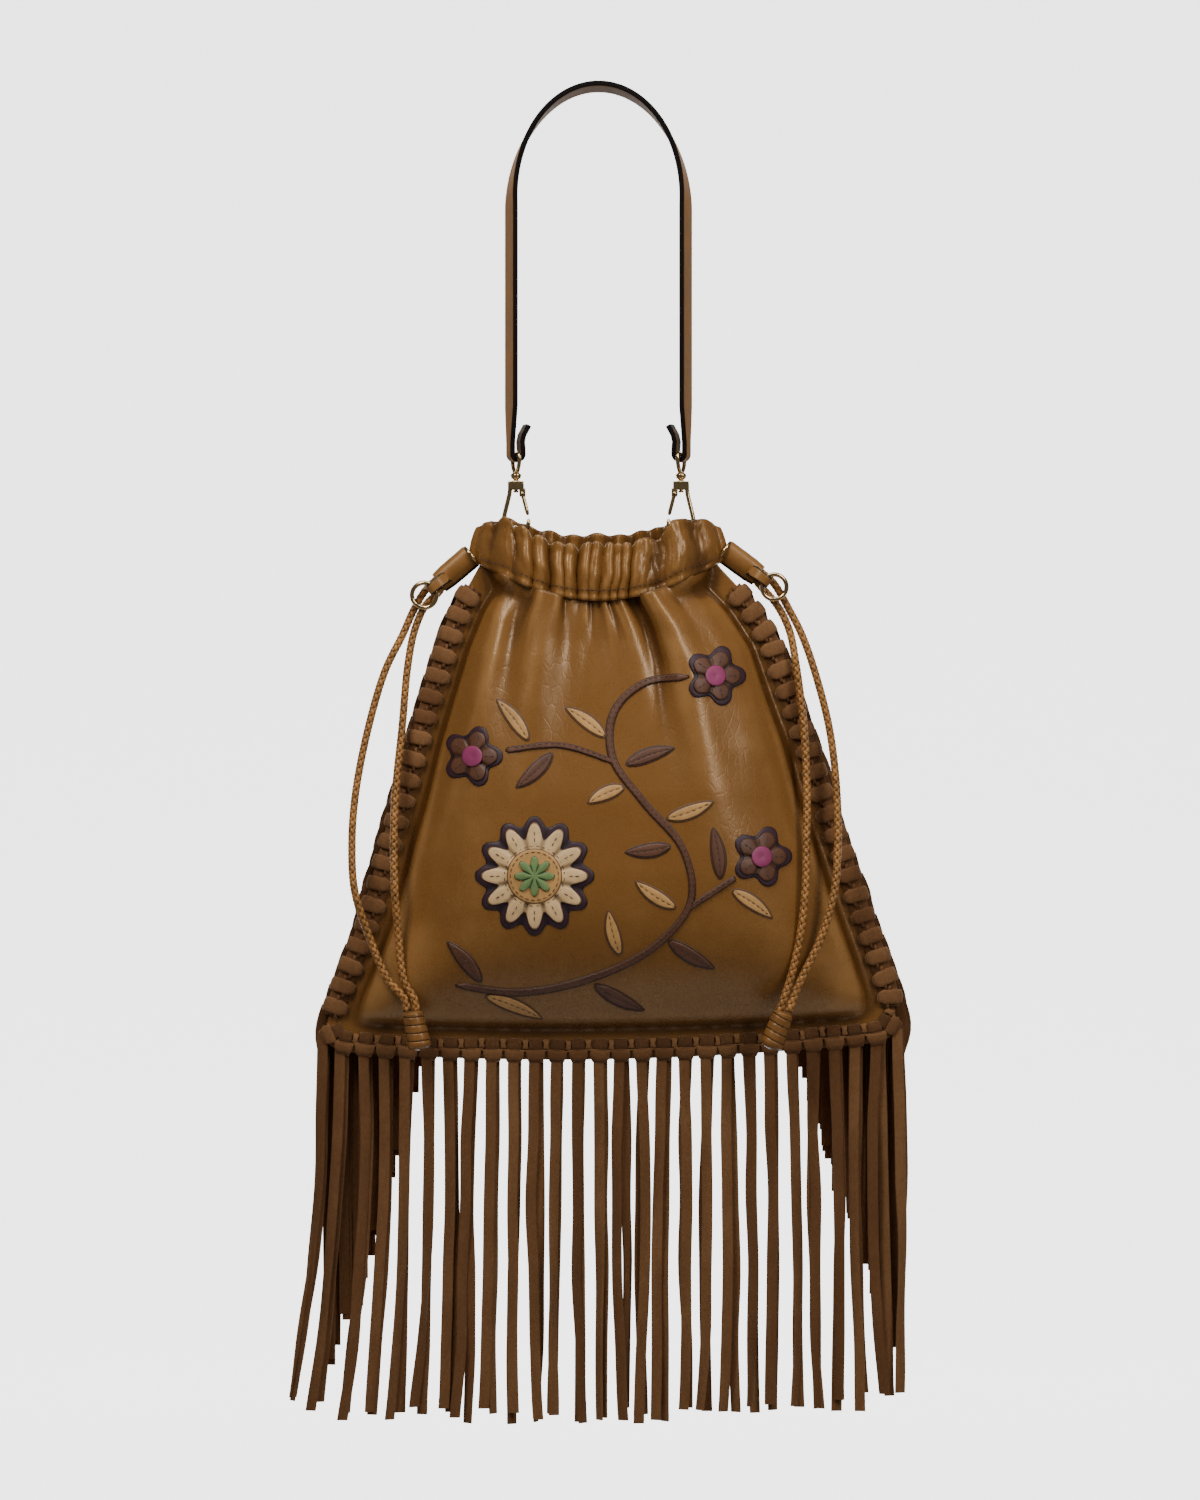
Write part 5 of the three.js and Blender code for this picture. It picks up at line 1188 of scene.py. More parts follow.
def grow_strips(name, lines, sizes):
    """Hanging strips along lines of (points, facing, shade)."""
    points, edges, facing, shade, start = [], [], [], [], 0
    for path, face, tone in lines:
        points.append(path)
        facing.append(face)
        shade.append(np.full(len(path), tone))
        edges += [(start + i, start + i + 1) for i in range(len(path) - 1)]
        start += len(path)
    mesh = bpy.data.meshes.new(name + "_lines")
    mesh.from_pydata((np.vstack(points) * MM).tolist(), edges, [])
    mesh.attributes.new("facing", "FLOAT_VECTOR", "POINT").data.foreach_set("vector",
            np.vstack(facing).ravel())
    mesh.attributes.new("shade", "FLOAT", "POINT").data.foreach_set("value", np.concatenate(shade))
    obj = bpy.data.objects.new(name + "_lines", mesh)
    bpy.context.scene.collection.objects.link(obj)
    return grown(name, obj, bpy.data.node_groups["Hanging strips"],
            {"Width": sizes.strip_width, "Thickness": sizes.strip_thickness, "Finish": FINISH["suede"]})


def bottom_strips(sizes, places):
    p, along, away = places
    count = len(p)
    length = sizes.strip_length / MM
    t = np.linspace(0, 1, 27)
    lines = []
    for k in range(count):
        for j in (0, 1):
            seed = k * 2 + j
            shift = (j - 0.5) * 1.8 + 0.5 * hashed(seed + 11)
            start = p[k] + away[k] * (EDGE_GAP + THONG + 0.2) + along[k] * shift
            y = (1.7 if j else -1.7) + 0.3 * hashed(seed + 3)
            share = k / (count - 1)
            splay = -16 * (1 - share) ** 5 + 3 * share ** 5
            sway = 2.6 * hashed(seed + 60)
            curl = 1.3 * hashed(seed + 210)
            x = start[0] + splay * t * t + sway * np.sin(3.1 * t) + 3.2 * hashed(seed + 20) * t * t \
                + 0.7 * mottle(t * 5, 0 * t + seed, 3) * smooth(t * 4) + curl * np.clip(t - 0.75, 0,
                        1) ** 2 * 16
            yy = y + 1.8 * hashed(seed + 90) * np.sin(2.6 * t) * t + 0.5 * mottle(t * 5, 0 * t + seed,
                    4) * smooth(t * 5)
            z = start[2] - (length + 5 * hashed(seed + 40)) * t
            turn = 0.9 * hashed(seed + 130) * t + 0.5 * mottle(t * 3, 0 * t + seed, 5) * smooth(t * 3)
            face = np.stack([np.cos(turn), np.sin(turn), 0 * t], 1)
            lines.append((np.stack([x, yy, z], 1), face, 0.5 + 0.5 * hashed(seed + 300)))
    return finish_piece(grow_strips("bottom_strips", lines, sizes), "bag", "suede")


def side_strips(pouch, sizes, kind, places):
    p, _, away = places
    length = sizes.strip_length / MM
    lines = []
    t = np.linspace(0, 1, 41)
    for k in range(len(p)):
        for j in (0, 1):
            seed = k * 2 + j + (400 if kind == "left" else 600)
            x = p[k][0] + away[k][0] * 1.5 + (j - 0.5) * 1.6 + 1.6 * hashed(k
                    + 31) * t + 1.5 * hashed(seed) * t * t
            x = x + away[k][0] * 4.5 * np.sin(np.pi * np.clip(t / 0.17, 0, 1)) * (1 + 0.3 * hashed(seed + 9))
            z = p[k][2] - (length + 5 * hashed(k + (7 if kind == "left" else 77)) + 3 * (j - 0.5)) * t
            layer = (k % 2) * 1.7 + j * 0.85
            reach = np.zeros(len(t))
            left, right = pouch.edges(pouch.find(x, z)[1])
            for dx in (-4, 0, 4):
                inside = (x + dx > left - 6) & (x + dx < right + 6) & (z > SEAM_Z - pouch.h - 14)
                reach = np.where(inside, np.maximum(reach, pouch.back_y(x + dx, z)), reach)
            y = np.maximum.accumulate(np.maximum(reach + 1.3 + layer, BAND_OUT + KNOT_T + 1.0 + layer))
            y = y + 0.5 + 0.4 * mottle(t * 5, 0 * t + seed, 4) * smooth(t * 4)
            y = np.convolve(np.pad(y, 2, mode="edge"), np.ones(5) / 5, mode="valid")
            y = y - (1 - smooth(t / 0.06)) * (y - BAND_OUT - 0.6)
            turn = 0.3 * mottle(t * 3, 0 * t + seed, 5) * smooth(t * 3)
            face = np.stack([np.cos(turn), np.sin(turn), 0 * t], 1)
            lines.append((np.stack([x, y, z], 1), face, 0.35 + 0.4 * hashed(seed + 300)))
    return finish_piece(grow_strips(kind + "_strips", lines, sizes), "bag", "suede")


# strap

STRAP_HALF, ARCH_H, STRAP_TURN, APEX_TURN, FOLD_L, EYE_Z, EYE_W = 45.6, 62, 17, -8, 15, -191, 12
BAR_R = 1.1


def strap_line(thick, share):
    leg = -EYE_Z - ARCH_H
    arc = math.pi * math.sqrt((STRAP_HALF ** 2 + ARCH_H ** 2) / 2)
    total = 2 * leg + arc
    s = share * total
    angle = np.clip((s - leg) / arc * math.pi, 0, math.pi)
    x = np.where(s < leg, -STRAP_HALF, np.where(s > leg + arc, STRAP_HALF, -STRAP_HALF * np.cos(angle)))
    z = np.where(s < leg, EYE_Z + s, np.where(s > leg + arc, EYE_Z + total - s,
            -ARCH_H + ARCH_H * np.sin(angle)))
    inward = np.stack([np.cos(angle), 0 * angle, -np.sin(angle)], 1)
    turn = np.radians(STRAP_TURN + (APEX_TURN - STRAP_TURN) * np.sin(angle))
    wide = np.stack([0 * angle, -np.cos(turn), 0 * angle], 1) + inward * np.sin(turn)[:, None]
    return np.stack([x, 0 * x, z + thick / 2], 1), wide


def leg_frame(side):
    turn = math.radians(STRAP_TURN)
    wide = np.array((-side * math.sin(turn), -math.cos(turn), 0))
    inward = np.array((-side * math.cos(turn), math.sin(turn), 0))
    return wide, inward, np.array((side * (STRAP_HALF - 2.4), 0, EYE_Z))


def make_strap(sizes):
    thick, width = sizes.strap_thickness / MM, sizes.strap_width / MM
    bend = BAR_R + GAP + 0.1 + thick / 2

    def fold(side):
        wide, inward, eye = leg_frame(side)
        a = np.radians(np.linspace(0, 180, 15))
        loop = np.stack([-bend * np.cos(a), -bend * np.sin(a)], 1)
        tail = np.array([(bend - 0.1, 3), (bend - 0.4, 6.5), (bend + 0.4, 10), (bend + 3.2, FOLD_L)])
        both = np.vstack([loop, tail])
        return eye + both[:, :1] * inward + both[:, 1:] * np.array((0, 0,
                1.0)), eye - bend * inward + np.array((0, 0, 6.0)), wide

    left, left_start, left_wide = fold(-1)
    right, right_start, right_wide = fold(1)
    middle, middle_wide = strap_line(thick, np.linspace(0.055, 0.945, 120))
    path = np.vstack([left[::-1], left_start, middle, right_start, right])
    wide = np.vstack([np.tile(left_wide, (len(left) + 1, 1)), middle_wide, np.tile(right_wide,
            (len(right) + 1, 1))])
    folded = len(left)
    k = np.minimum(np.arange(len(path)), len(path) - 1 - np.arange(len(path)))
    taper = np.interp(path[:, 2], [EYE_Z + 6, EYE_Z + 24], [0, 1]) * (k >= folded)
    across = EYE_W - 3.4 + (width - EYE_W + 3.4) * smooth(taper)
    along = unit(np.gradient(path, axis=0))
    side = unit(wide - along * np.sum(wide * along, axis=1, keepdims=True))
    up = np.cross(along, side)
    section, edge = rounded(2, thick, 0.75, 5, 8)
    x = np.sign(section[:, 0]) * (np.abs(section[:, 0]))
    full = np.zeros((len(path), len(section), 2))
    inset = 1 - np.abs(x)
    full[..., 0] = np.sign(x)[None] * (across[:, None] / 2 - inset[None] * np.where(inset < 0.75, 1,
            across[:, None] / 2))
    full[..., 0] = np.sign(x) * np.where(inset <= 0.75, across[:, None] / 2 - inset,
            (across[:, None] / 2 - 0.75) * np.abs(x) / 0.25)
    full[..., 1] = section[:, 1]
    points, faces = sweep(path, side, up, full)
    face = np.tile((section[:, 1] < 0).astype(float), len(path))
    ends = np.zeros((len(path), len(section)))
    ends[0] = ends[-1] = 1
    edges = np.maximum(np.tile(edge, len(path)), ends.ravel())
    obj = build("strap_leather_band", points, faces, FINISH["strap"], {"edge": edges, "face": face})
    finish_piece(obj, "bag", "strap_leather", "strap")


# metal

WIRE_R, PIN_R, HOOK_H, HOOK_W, RING_R = 1.2, 0.9, 24, 13, 5.6
KNOB_TOP, BLOCK_TOP, BLOCK_H = -10.2, -14.2, 4.6
GATE_ACROSS, GATE_DROP = 3.4, -BLOCK_H - 1.9


def hook_place(side):
    _, _, eye = leg_frame(side)
    top = eye + (0, 0, BLOCK_TOP)
    return lambda a, z, y=0.0: top + np.array((-side * a, y, z))


def make_eye(name, side):
    wide, _, eye = leg_frame(side)
    at = lambda a, z: eye + wide * a + np.array((0, 0, z))
    h = EYE_W / 2
    outline = [(-h + 1.2, 0), (0, 0), (h - 1.2, 0), (h, -0.8), (h + 0.4, -3), (h - 0.8, -6.4),
            (h - 3.2, -9), (0, -10.2),
            (-h + 3.2, -9), (-h + 0.8, -6.4), (-h - 0.4, -3), (-h, -0.8)]
    parts = [(*tube(catmull([at(a, z) for a, z in outline], 72, loop=True), BAR_R, 14, loop=True), {})]
    profile = [(0, 0.05), (0, 1.5), (0.5, 2.2), (0.9, 2.7), (1.2, 2.85), (2.0, 2.85), (2.3, 2.5),
            (2.6, 2.75), (2.9, 2.6),
            (3.5, 1.7), (4.2, PIN_R), (BLOCK_H + 4.9, PIN_R), (BLOCK_H + 5.0, 1.4), (BLOCK_H + 5.6, 1.5),
            (BLOCK_H + 5.9, 1.1), (BLOCK_H + 5.95, 0.05)]
    parts.append((*lathe(at(0, KNOB_TOP + 0.6), (0, 0, -1), profile, 28), {}))
    points, faces, _ = joined(parts)
    finish_piece(build(name + "_eye_metal", points, faces, FINISH["gold"]), "bag", "gold_metal",
            name + "_swivel_eye")


def box_part(middle, half):
    m, h = np.asarray(middle, float), np.asarray(half, float)
    pts = [m + h * (i, j, k) for k in (-1, 1) for i, j in ((-1, -1), (1, -1), (1, 1), (-1, 1))]
    return pts, [[3, 2, 1, 0], [4, 5, 6, 7], [0, 1, 5, 4], [1, 2, 6, 5], [2, 3, 7, 6], [3, 0, 4, 7]], {}


def make_hook(name, side):
    at = hook_place(side)
    w = HOOK_W / 2
    solid = build(name + "_hook_head", *joined([
        box_part(at(0, -BLOCK_H / 2), (4.2, 3.0, BLOCK_H / 2)),
        box_part(at(GATE_ACROSS, -BLOCK_H - 1.2, -2.4), (1.6, 0.6, 2.2)),
        box_part(at(GATE_ACROSS, -BLOCK_H - 1.2, 2.4), (1.6, 0.6, 2.2)),
    ])[:2], FINISH["gold"])
    softened(solid, 0.55, 3)
    lip = [at(-3.1, -BLOCK_H + 0.8), at(-3.3, -BLOCK_H - 1.6), at(-w + 0.5, -BLOCK_H - HOOK_H * 0.55),
           at(-w, -BLOCK_H - HOOK_H * 0.70), at(-w + 1.3, -BLOCK_H - HOOK_H * 0.85),
           at(-2.4, -BLOCK_H - HOOK_H * 0.93),
           at(1.6, -BLOCK_H - HOOK_H * 0.93), at(w - 1.4, -BLOCK_H - HOOK_H * 0.87),
           at(w, -BLOCK_H - HOOK_H * 0.72),
           at(w + 0.1, -BLOCK_H - HOOK_H * 0.62)]
    path = catmull(lip, 64)
    _, sd, up = frames_along(path)
    size = WIRE_R * np.r_[np.ones(60), 0.98, 0.92, 0.8, 0.62, 0.3][-len(path):]
    wire = sweep(path, sd, up, oval(16, 1.0)[None] * size[:, None, None])
    collar = lathe(at(0, 0.35), (0, 0, -1), [(0, PIN_R + 0.25), (0, 2.0), (0.3, 2.3), (0.7, 2.3)], 24)
    cheek = [lathe(at(GATE_ACROSS, GATE_DROP, s * 2.9), (0, s, 0), [(0, 0.05), (0, 1.0), (0.25, 0.9),
            (0.4, 0.05)], 16)
             for s in (-1, 1)]
    points, faces, _ = joined([(*wire, {}), (*collar, {})] + [(*c, {}) for c in cheek])
    extra = build(name + "_hook_wire", points, faces, FINISH["gold"])
    merge(solid, extra)
    solid.name = name + "_hook_metal"
    finish_piece(solid, name + "_hook", "gold_metal", name + "_hook")


def merge(obj, *others):
    """Joins other mesh objects into one."""
    bm = bmesh.new()
    bm.from_mesh(obj.data)
    for other in others:
        bm.from_mesh(other.data)
    bm.to_mesh(obj.data)
    bm.free()
    for other in others:
        data = other.data
        bpy.data.objects.remove(other)
        bpy.data.meshes.remove(data)
    obj.data.shade_smooth()
    return obj


def make_gate(name, side):
    at = hook_place(side)
    w = HOOK_W / 2
    hinge = np.array(at(GATE_ACROSS, GATE_DROP))
    tip = np.array(at(w - 0.2, -BLOCK_H - HOOK_H * 0.62 + WIRE_R + 0.6))
    path = np.array([hinge + (tip - hinge) * t for t in np.linspace(0, 1, 16)])
    _, sd, up = frames_along(path)
    size = 1.05 * np.r_[np.ones(13), 0.95, 0.82, 0.55]
    arm = sweep(path, sd, up, oval(16, 1.0)[None] * size[:, None, None])
    boss = lathe(at(GATE_ACROSS, GATE_DROP, -1.45), (0, 1, 0), [(0, 0.05), (0, 1.4), (0.15, 1.5),
            (2.75, 1.5), (2.9, 1.4), (2.9, 0.05)], 20)
    pin = lathe(at(GATE_ACROSS, GATE_DROP, -3.2), (0, 1, 0), [(0, 0.05), (0, 0.7), (6.4, 0.7), (6.4, 0.05)],
            16)
    points, faces, _ = joined([(*x, {}) for x in (arm, boss, pin)])
    finish_piece(build(name + "_gate_metal", points, faces, FINISH["gold"]), name + "_gate", "gold_metal",
            name + "_gate")


def ring_place(side):
    at = hook_place(side)
    turn = math.radians(18)
    across = np.array((side * math.sin(turn), math.cos(turn), 0))
    centre = at(-0.4, -BLOCK_H - HOOK_H * 0.94) + (0, 0, WIRE_R + 1.1 + GAP + 0.3 - RING_R)
    return centre, across


def circle(centre, a, b, radius, count):
    t = (np.arange(count) * 2 * np.pi / count)[:, None]
    return np.asarray(centre) + np.asarray(a) * radius * np.cos(t) + np.asarray(b) * radius * np.sin(t)


def make_rings(name, side):
    centre, across = ring_place(side)
    points, faces = tube(circle(centre, across, (0, 0, 1.0), RING_R, 56), 1.1, 14, loop=True)
    finish_piece(build(name + "_hanger_ring_metal", points, faces, FINISH["gold"]), "bag", "gold_metal",
            name + "_hanger_ring")
    at, axis, up = tab_place(name)
    lean = math.radians(8)
    a = axis * math.cos(lean) + np.array((0, math.sin(lean), 0))
    centre = at(RING_S, 0, RING_Y + SIDE_RING_R * math.sin(lean))
    points, faces = tube(circle(centre, a, up, SIDE_RING_R, 72), RING_WIRE, 16, loop=True)
    finish_piece(build(name + "_side_ring_metal", points, faces, FINISH["gold"]), "bag", "gold_metal",
            name + "_side_ring")
    points, faces = tube(circle(at(-1.3, 0, 0), (0, 1.0, 0), up, EYELET_R, 56), 0.9, 12, loop=True)
    finish_piece(build(name + "_eyelet_metal", points, faces, FINISH["gold"]), "bag", "gold_metal",
            name + "_eyelet")


# tabs and drawstrings

TAB_W, TAB_D, TAB_WALL, TAB_L = 13, 8, 1.4, 21
SIDE_RING_R, EYELET_R, RING_WIRE, RING_Y = 6.5, 5.4, 1.2, -6.0
RING_S = TAB_L + 3.5 + SIDE_RING_R
TABS = {"left": (-1, (-67.4, 0, -244.9), -40.3), "right": (1, (66.8, 0, -242.3), -36.2)}


def tab_place(name):
    side, start, slope = TABS[name]
    a = math.radians(slope)
    axis = np.array((side * math.cos(a), 0, math.sin(a)))
    up = np.array((-side * math.sin(a), 0, math.cos(a)))
    start = np.array(start)
    return (lambda s, p, y: start + axis * s + up * p + np.array((0, y, 0))), axis, up


def make_tab(name, sizes):
    """Folded leather sleeve with a painted and stitched lower edge, and the tongue that holds the ring."""
    at, _, up = tab_place(name)
    h, d = TAB_W / 2, TAB_D / 2
    # section from the lower lip round the folded top: (up, forward), with a mark for the painted lip
    ring = [(-h, -0.9, 1), (-h, 0.9, 1), (-h + 0.9, 1.35, 0.9), (-h + 1.9, 1.9, 0), (-h + 3.2, 2.9, 0),
            (-h + 5.0, d - 0.3, 0),
            (0.5, d, 0), (h - 3.0, d - 0.1, 0), (h - 1.2, d - 1.3, 0), (h - 0.2, d - 2.8, 0), (h, 0, 0),
            (h - 0.2, -d + 2.8, 0),
            (h - 1.2, -d + 1.3, 0), (h - 3.0, -d + 0.1, 0), (0.5, -d, 0), (-h + 5.0, -d + 0.3, 0),
            (-h + 3.2, -2.9, 0),
            (-h + 1.9, -1.9, 0), (-h + 0.9, -1.35, 0.9)]
    ring = np.array(ring)
    s = np.r_[0, 0.25, np.linspace(1.2, TAB_L - 1.2, 14), TAB_L - 0.25, TAB_L]
    shrink = np.r_[0.965, 0.99, np.ones(14), 0.985, 0.95]
    shrink = shrink * (1 + 0.012 * mottle(s / 3.0, 0 * s, 13)) * np.interp(s, [0, TAB_L * 0.75, TAB_L],
            [1.0, 1.0, 0.90])
    cut = lambda a, p: a + (1 - smooth(a / 8)) * np.interp(p, [-h, h], [-1.2, -1.0])
    outer = np.array([[at(cut(a, p), p * k, y * (0.6 + 0.4 * k)) for p, y, _ in ring] for a,
            k in zip(s, shrink)])
    hole = np.array([(p * 0.74 + 0.7, y * 0.66) for p, y, _ in ring])
    inner = np.array([[at(cut(a, p), p * k, y * k) for p, y in hole] for a, k in zip(s, shrink)])
    points, faces = slab(outer, inner, ring=True)
    edge = np.zeros(outer.shape[:2])
    edge[:] = ring[:, 2]
    edge[[0, -1]] = 0.8
    # painted light and shade: upper side lighter, lower side darker, inside darker still
    rub = np.tile(np.interp(ring[:, 0], [-h, -1, h - 1, h], [-0.5, 0.1, 0.6, 0.3]), len(s))
    body = build(name + "_tab_leather", points, faces, FINISH["tab"],
            {"edge": np.r_[edge.ravel(), 0 * edge.ravel()], "rub": np.r_[rub, rub * 0 - 0.6]})
    r = RING_WIRE + GAP + 0.8 + TAB_WALL / 2
    sw = RING_S - SIDE_RING_R
    a = np.radians(np.linspace(0, 180, 13))
    path = [at(TAB_L - 6, 0, -TAB_D / 2 + TAB_WALL / 2), at(TAB_L - 4, 0, -TAB_D / 2 + TAB_WALL / 2 - 0.1),
            at(TAB_L + 1, 0, RING_Y + r - 0.1)]
    path += [at(sw + r * math.sin(k), 0, RING_Y + r * math.cos(k)) for k in a]
    path += [at(sw - 4, 0, RING_Y - r + 0.6), at(sw - 9, 0, -TAB_D / 2 - 0.4)]
    path = catmull(path, 44)
    along = unit(np.gradient(path, axis=0))
    sd = np.tile(up, (len(path), 1))
    section, mark = rounded(2, TAB_WALL, 0.5, 4, 5)
    half = np.interp(np.arange(len(path)), [0, 6, 14, 30, 40, 44], [3.4, 3.2, 2.8, 2.8, 3.4, 2.2])
    full = np.repeat(section[None], len(path), 0)
    full[..., 0] *= half[:, None]
    points, faces = sweep(path, sd, np.cross(along, sd), full)
    tongue = build(name + "_tongue", points, faces, FINISH["tab"], {"edge": np.tile(mark, len(path)),
            "rub": np.full(len(points), 0.2)})
    merge(body, tongue)
    finish_piece(body, "bag", "smooth_leather", name + "_cord_sleeve")
    rows = []
    for face in (-1, 1):
        line = np.array([at(a, -h + 2.15, face * 2.05) for a in np.linspace(3.4, TAB_L * 0.80, 12)])
        rows.append((line, np.tile(np.array((0, face, 0)) - up * 0.7, (12, 1))))
    line = np.array([at(a, -h * 0.9 + 2.15, -1.95) for a in np.linspace(TAB_L * 0.84, TAB_L - 1.2, 4)])
    rows.append((line, np.tile(np.array((0, -1.0, 0)) - up * 0.7, (4, 1))))
    finish_piece(stitch_rows(name + "_tab_stitches", rows, FINISH["thread"], sizes), "bag", "smooth_leather")


def make_hanger_loop(name, side, pouch):
    """Leather loop that ties the ring to the side of the mouth."""
    centre, across = ring_place(side)
    out = np.cross(across, (0, 0, 1.0))
    if out[0] * side < 0:
        out = -out
    low = centre + (0, 0, -RING_R)
    r = 1.1 + GAP + 0.6 + 0.7
    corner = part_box(name + "_hanger_loop")
    foot_z = corner[0][2] / MM + 1.9
    foot_x = (corner[1] if side > 0 else corner[0])[0] / MM - side * 3.3
    seat = (foot_x - low[0]) / out[0]
    tail = lambda a, z: low + out * a + np.array((0, 0, z))
    a = np.radians(np.linspace(0, 180, 11))
    path = [tail(seat - 1.4, -15), tail(seat - 4.6, -8), tail(-r, -2)] + [low - out * r * math.cos(k) + (0,
            0, r * math.sin(k)) for k in a]
    path += [tail(r + 0.6, -3), tail(seat - 0.6, -9), tail(seat + 0.8, -15)]
    path = catmull(path, 60)
    along = unit(np.gradient(path, axis=0))
    sd = np.tile(across, (len(path), 1))
    section, mark = rounded(4.6, 1.4, 0.45, 4, 3)
    points, faces = sweep(path, sd, np.cross(along, sd), section)
    body = build(name + "_hanger_loop_leather", points, faces, FINISH["tab"],
            {"edge": np.tile(mark, len(path)), "rub": np.full(len(points), 0.1)})
    foot_mid = np.array((tail(seat, 0)[0], tail(seat, 0)[1], foot_z))
    pts = [foot_mid + out * 2.5 * i + across * 2.2 * j + np.array((0, 0, 1.8 * k)) for k in (-1, 1) for i,
           j in ((-1, -1), (1, -1), (1, 1), (-1, 1))]
    foot = build(name + "_loop_foot", pts, [[3, 2, 1, 0], [4, 5, 6, 7], [0, 1, 5, 4], [1, 2, 6, 5],
                                       [2, 3, 7, 6], [3, 0, 4, 7]],
            FINISH["tab"], {"edge": np.zeros(8), "rub": np.zeros(8)})
    softened(foot, 0.7, 3)
    merge(body, foot)
    finish_piece(body, "bag", "smooth_leather", name + "_hanger_loop")


CORDS = np.array([
    # down, left outer, left inner, right inner, right outer, forward
    [0.00, -96.9, -90.4, 93.4, 100.1, 0.0], [0.06, -102.4, -96.0, 99.6, 106.3, 2.0],
    [0.15, -111.4, -99.6, 103.2, 112.8, 6.0], [0.30, -120.4, -102.4, 107.1, 120.6, 10.0],
    [0.46, -126.6, -105.7, 108.6, 124.2, 15.0], [0.58, -128.2, -106.4, 108.2, 124.5, 20.0],
    [0.70, -126.6, -105.8, 107.4, 122.5, 25.0], [0.82, -118.8, -103.9, 104.5, 115.2, 30.0],
    [0.92, -109.7, -101.4, 99.6, 105.2, 34.0], [1.00, -99.6, -96.4, 94.4, 97.6, 37.0],
])
CORD_COLUMN = {("left", "outer"): 1, ("left", "inner"): 2, ("right", "inner"): 3, ("right", "outer"): 4}
CORD_TOP, CORD_END = -273, -481.5
ENDS = {"left": ((-97.0, 0, -481.5), (0.22, 0, -1)), "right": ((96.2, 0, -481.5), (-0.36, 0, -1))}
END_R, END_L = 6.2, 20


def end_place(pouch, name, cord_d):
    start, lean = ENDS[name]
    y = 0
    for strand in ("outer", "inner"):
        for t in (0.7, 0.76, 0.82, 0.88, 0.94, 1):
            x = float(np.interp(t, CORDS[:, 0], CORDS[:, CORD_COLUMN[name, strand]]))
            z = CORD_TOP + (CORD_END - CORD_TOP) * t
            y = min(y, float(pouch.front_y(x, z, fine=False)) - cord_d / 2 - 1.2)
    return np.array((start[0], y, start[2])), unit(lean)


def cord_path(pouch, name, strand, cord_d):
    side = TABS[name][0]
    at, _, _ = tab_place(name)
    outer = strand == "outer"
    shift = 2.35 if outer else -2.35
    points = [at(1.5, shift, 0), at(TAB_L * 0.5, shift, 0), at(TAB_L - 1, shift, 0),
            at(TAB_L + 8, shift - 0.6, 0.4) if outer else at(TAB_L + 3.4, shift - 1.2, 0.4)]
    end, lean = end_place(pouch, name, cord_d)
    for row in CORDS:
        t, x = row[0], row[CORD_COLUMN[name, strand]]
        z = CORD_TOP + (CORD_END - CORD_TOP) * t + (0 if outer else 3 * (1 - t))
        y = -row[5]
        left, right = pouch.edges(pouch.find(x, z)[1])
        spread = 9 if t > 0.1 else 0
        if left - spread < x < right + spread:
            for dz in (-6, 0, 6):
                y = min(y, float(pouch.front_y(x, z + dz, fine=False)) - cord_d / 2 - 1.2)
            y = min(y, -(BAND_OUT + KNOT_T + cord_d / 2 + 0.8))
        if t < 0.999:
            points.append(np.array((x, end[1] if t > 0.8 else y, z)))
    spread = side if outer else -side
    top = end + lean * (-GAP - 0.1) + np.array((spread * 2.45, 0, 0))
    points += [top - lean * 6, top]
    return catmull(points, 220)


def braid(path, diameter, lay=12.0, ways=3):
    """Six strands, three each way, passing over and under each other round the cord."""
    run = np.r_[0, np.cumsum(np.linalg.norm(np.diff(path, axis=0), axis=1))]
    steps = int(run[-1] / BRAID_STEP)
    s = np.linspace(0, run[-1], steps)
    p = np.stack([np.interp(s, run, path[:, k]) for k in range(3)], 1)
    _, side, up = frames_along(p)
    parts = []
    swing, half_w, half_t = 0.28, 1.08, 0.52
    r0 = diameter / 2 - swing - half_t + 0.12
    for way in (1, -1):
        for k in range(ways):
            a = way * 2 * np.pi * s / lay + 2 * np.pi * k / ways
            phase = np.cos(2 * np.pi * ways * s / lay)
            out = side * np.cos(a)[:, None] + up * np.sin(a)[:, None]
            line = p + out * (r0 + way * swing * phase)[:, None]
            along = unit(np.gradient(line, axis=0))
            wide = unit(np.cross(along, out))
            section = oval(8, half_w, half_t, 0)
            pts, faces = sweep(line, wide, np.cross(wide, along), section)
            # painted light and shade: high on a strand crossing over, low where it dips under and at its
            # edges
            high = np.clip(0.72 + 0.36 * way * phase, 0, 1)
            rounding = np.clip(0.35 + 0.65 * section[:, 1] / half_t, 0, 1)
            parts.append((pts, faces, {"high": (high[:, None] * rounding[None]).ravel()}))
    core = sweep(p, side, up, oval(8, 1.15))
    # the core is painted dark as painted shade between the strands
    parts.append((*core, {"high": np.full(len(core[0]), 0.2)}))
    return joined(parts), p


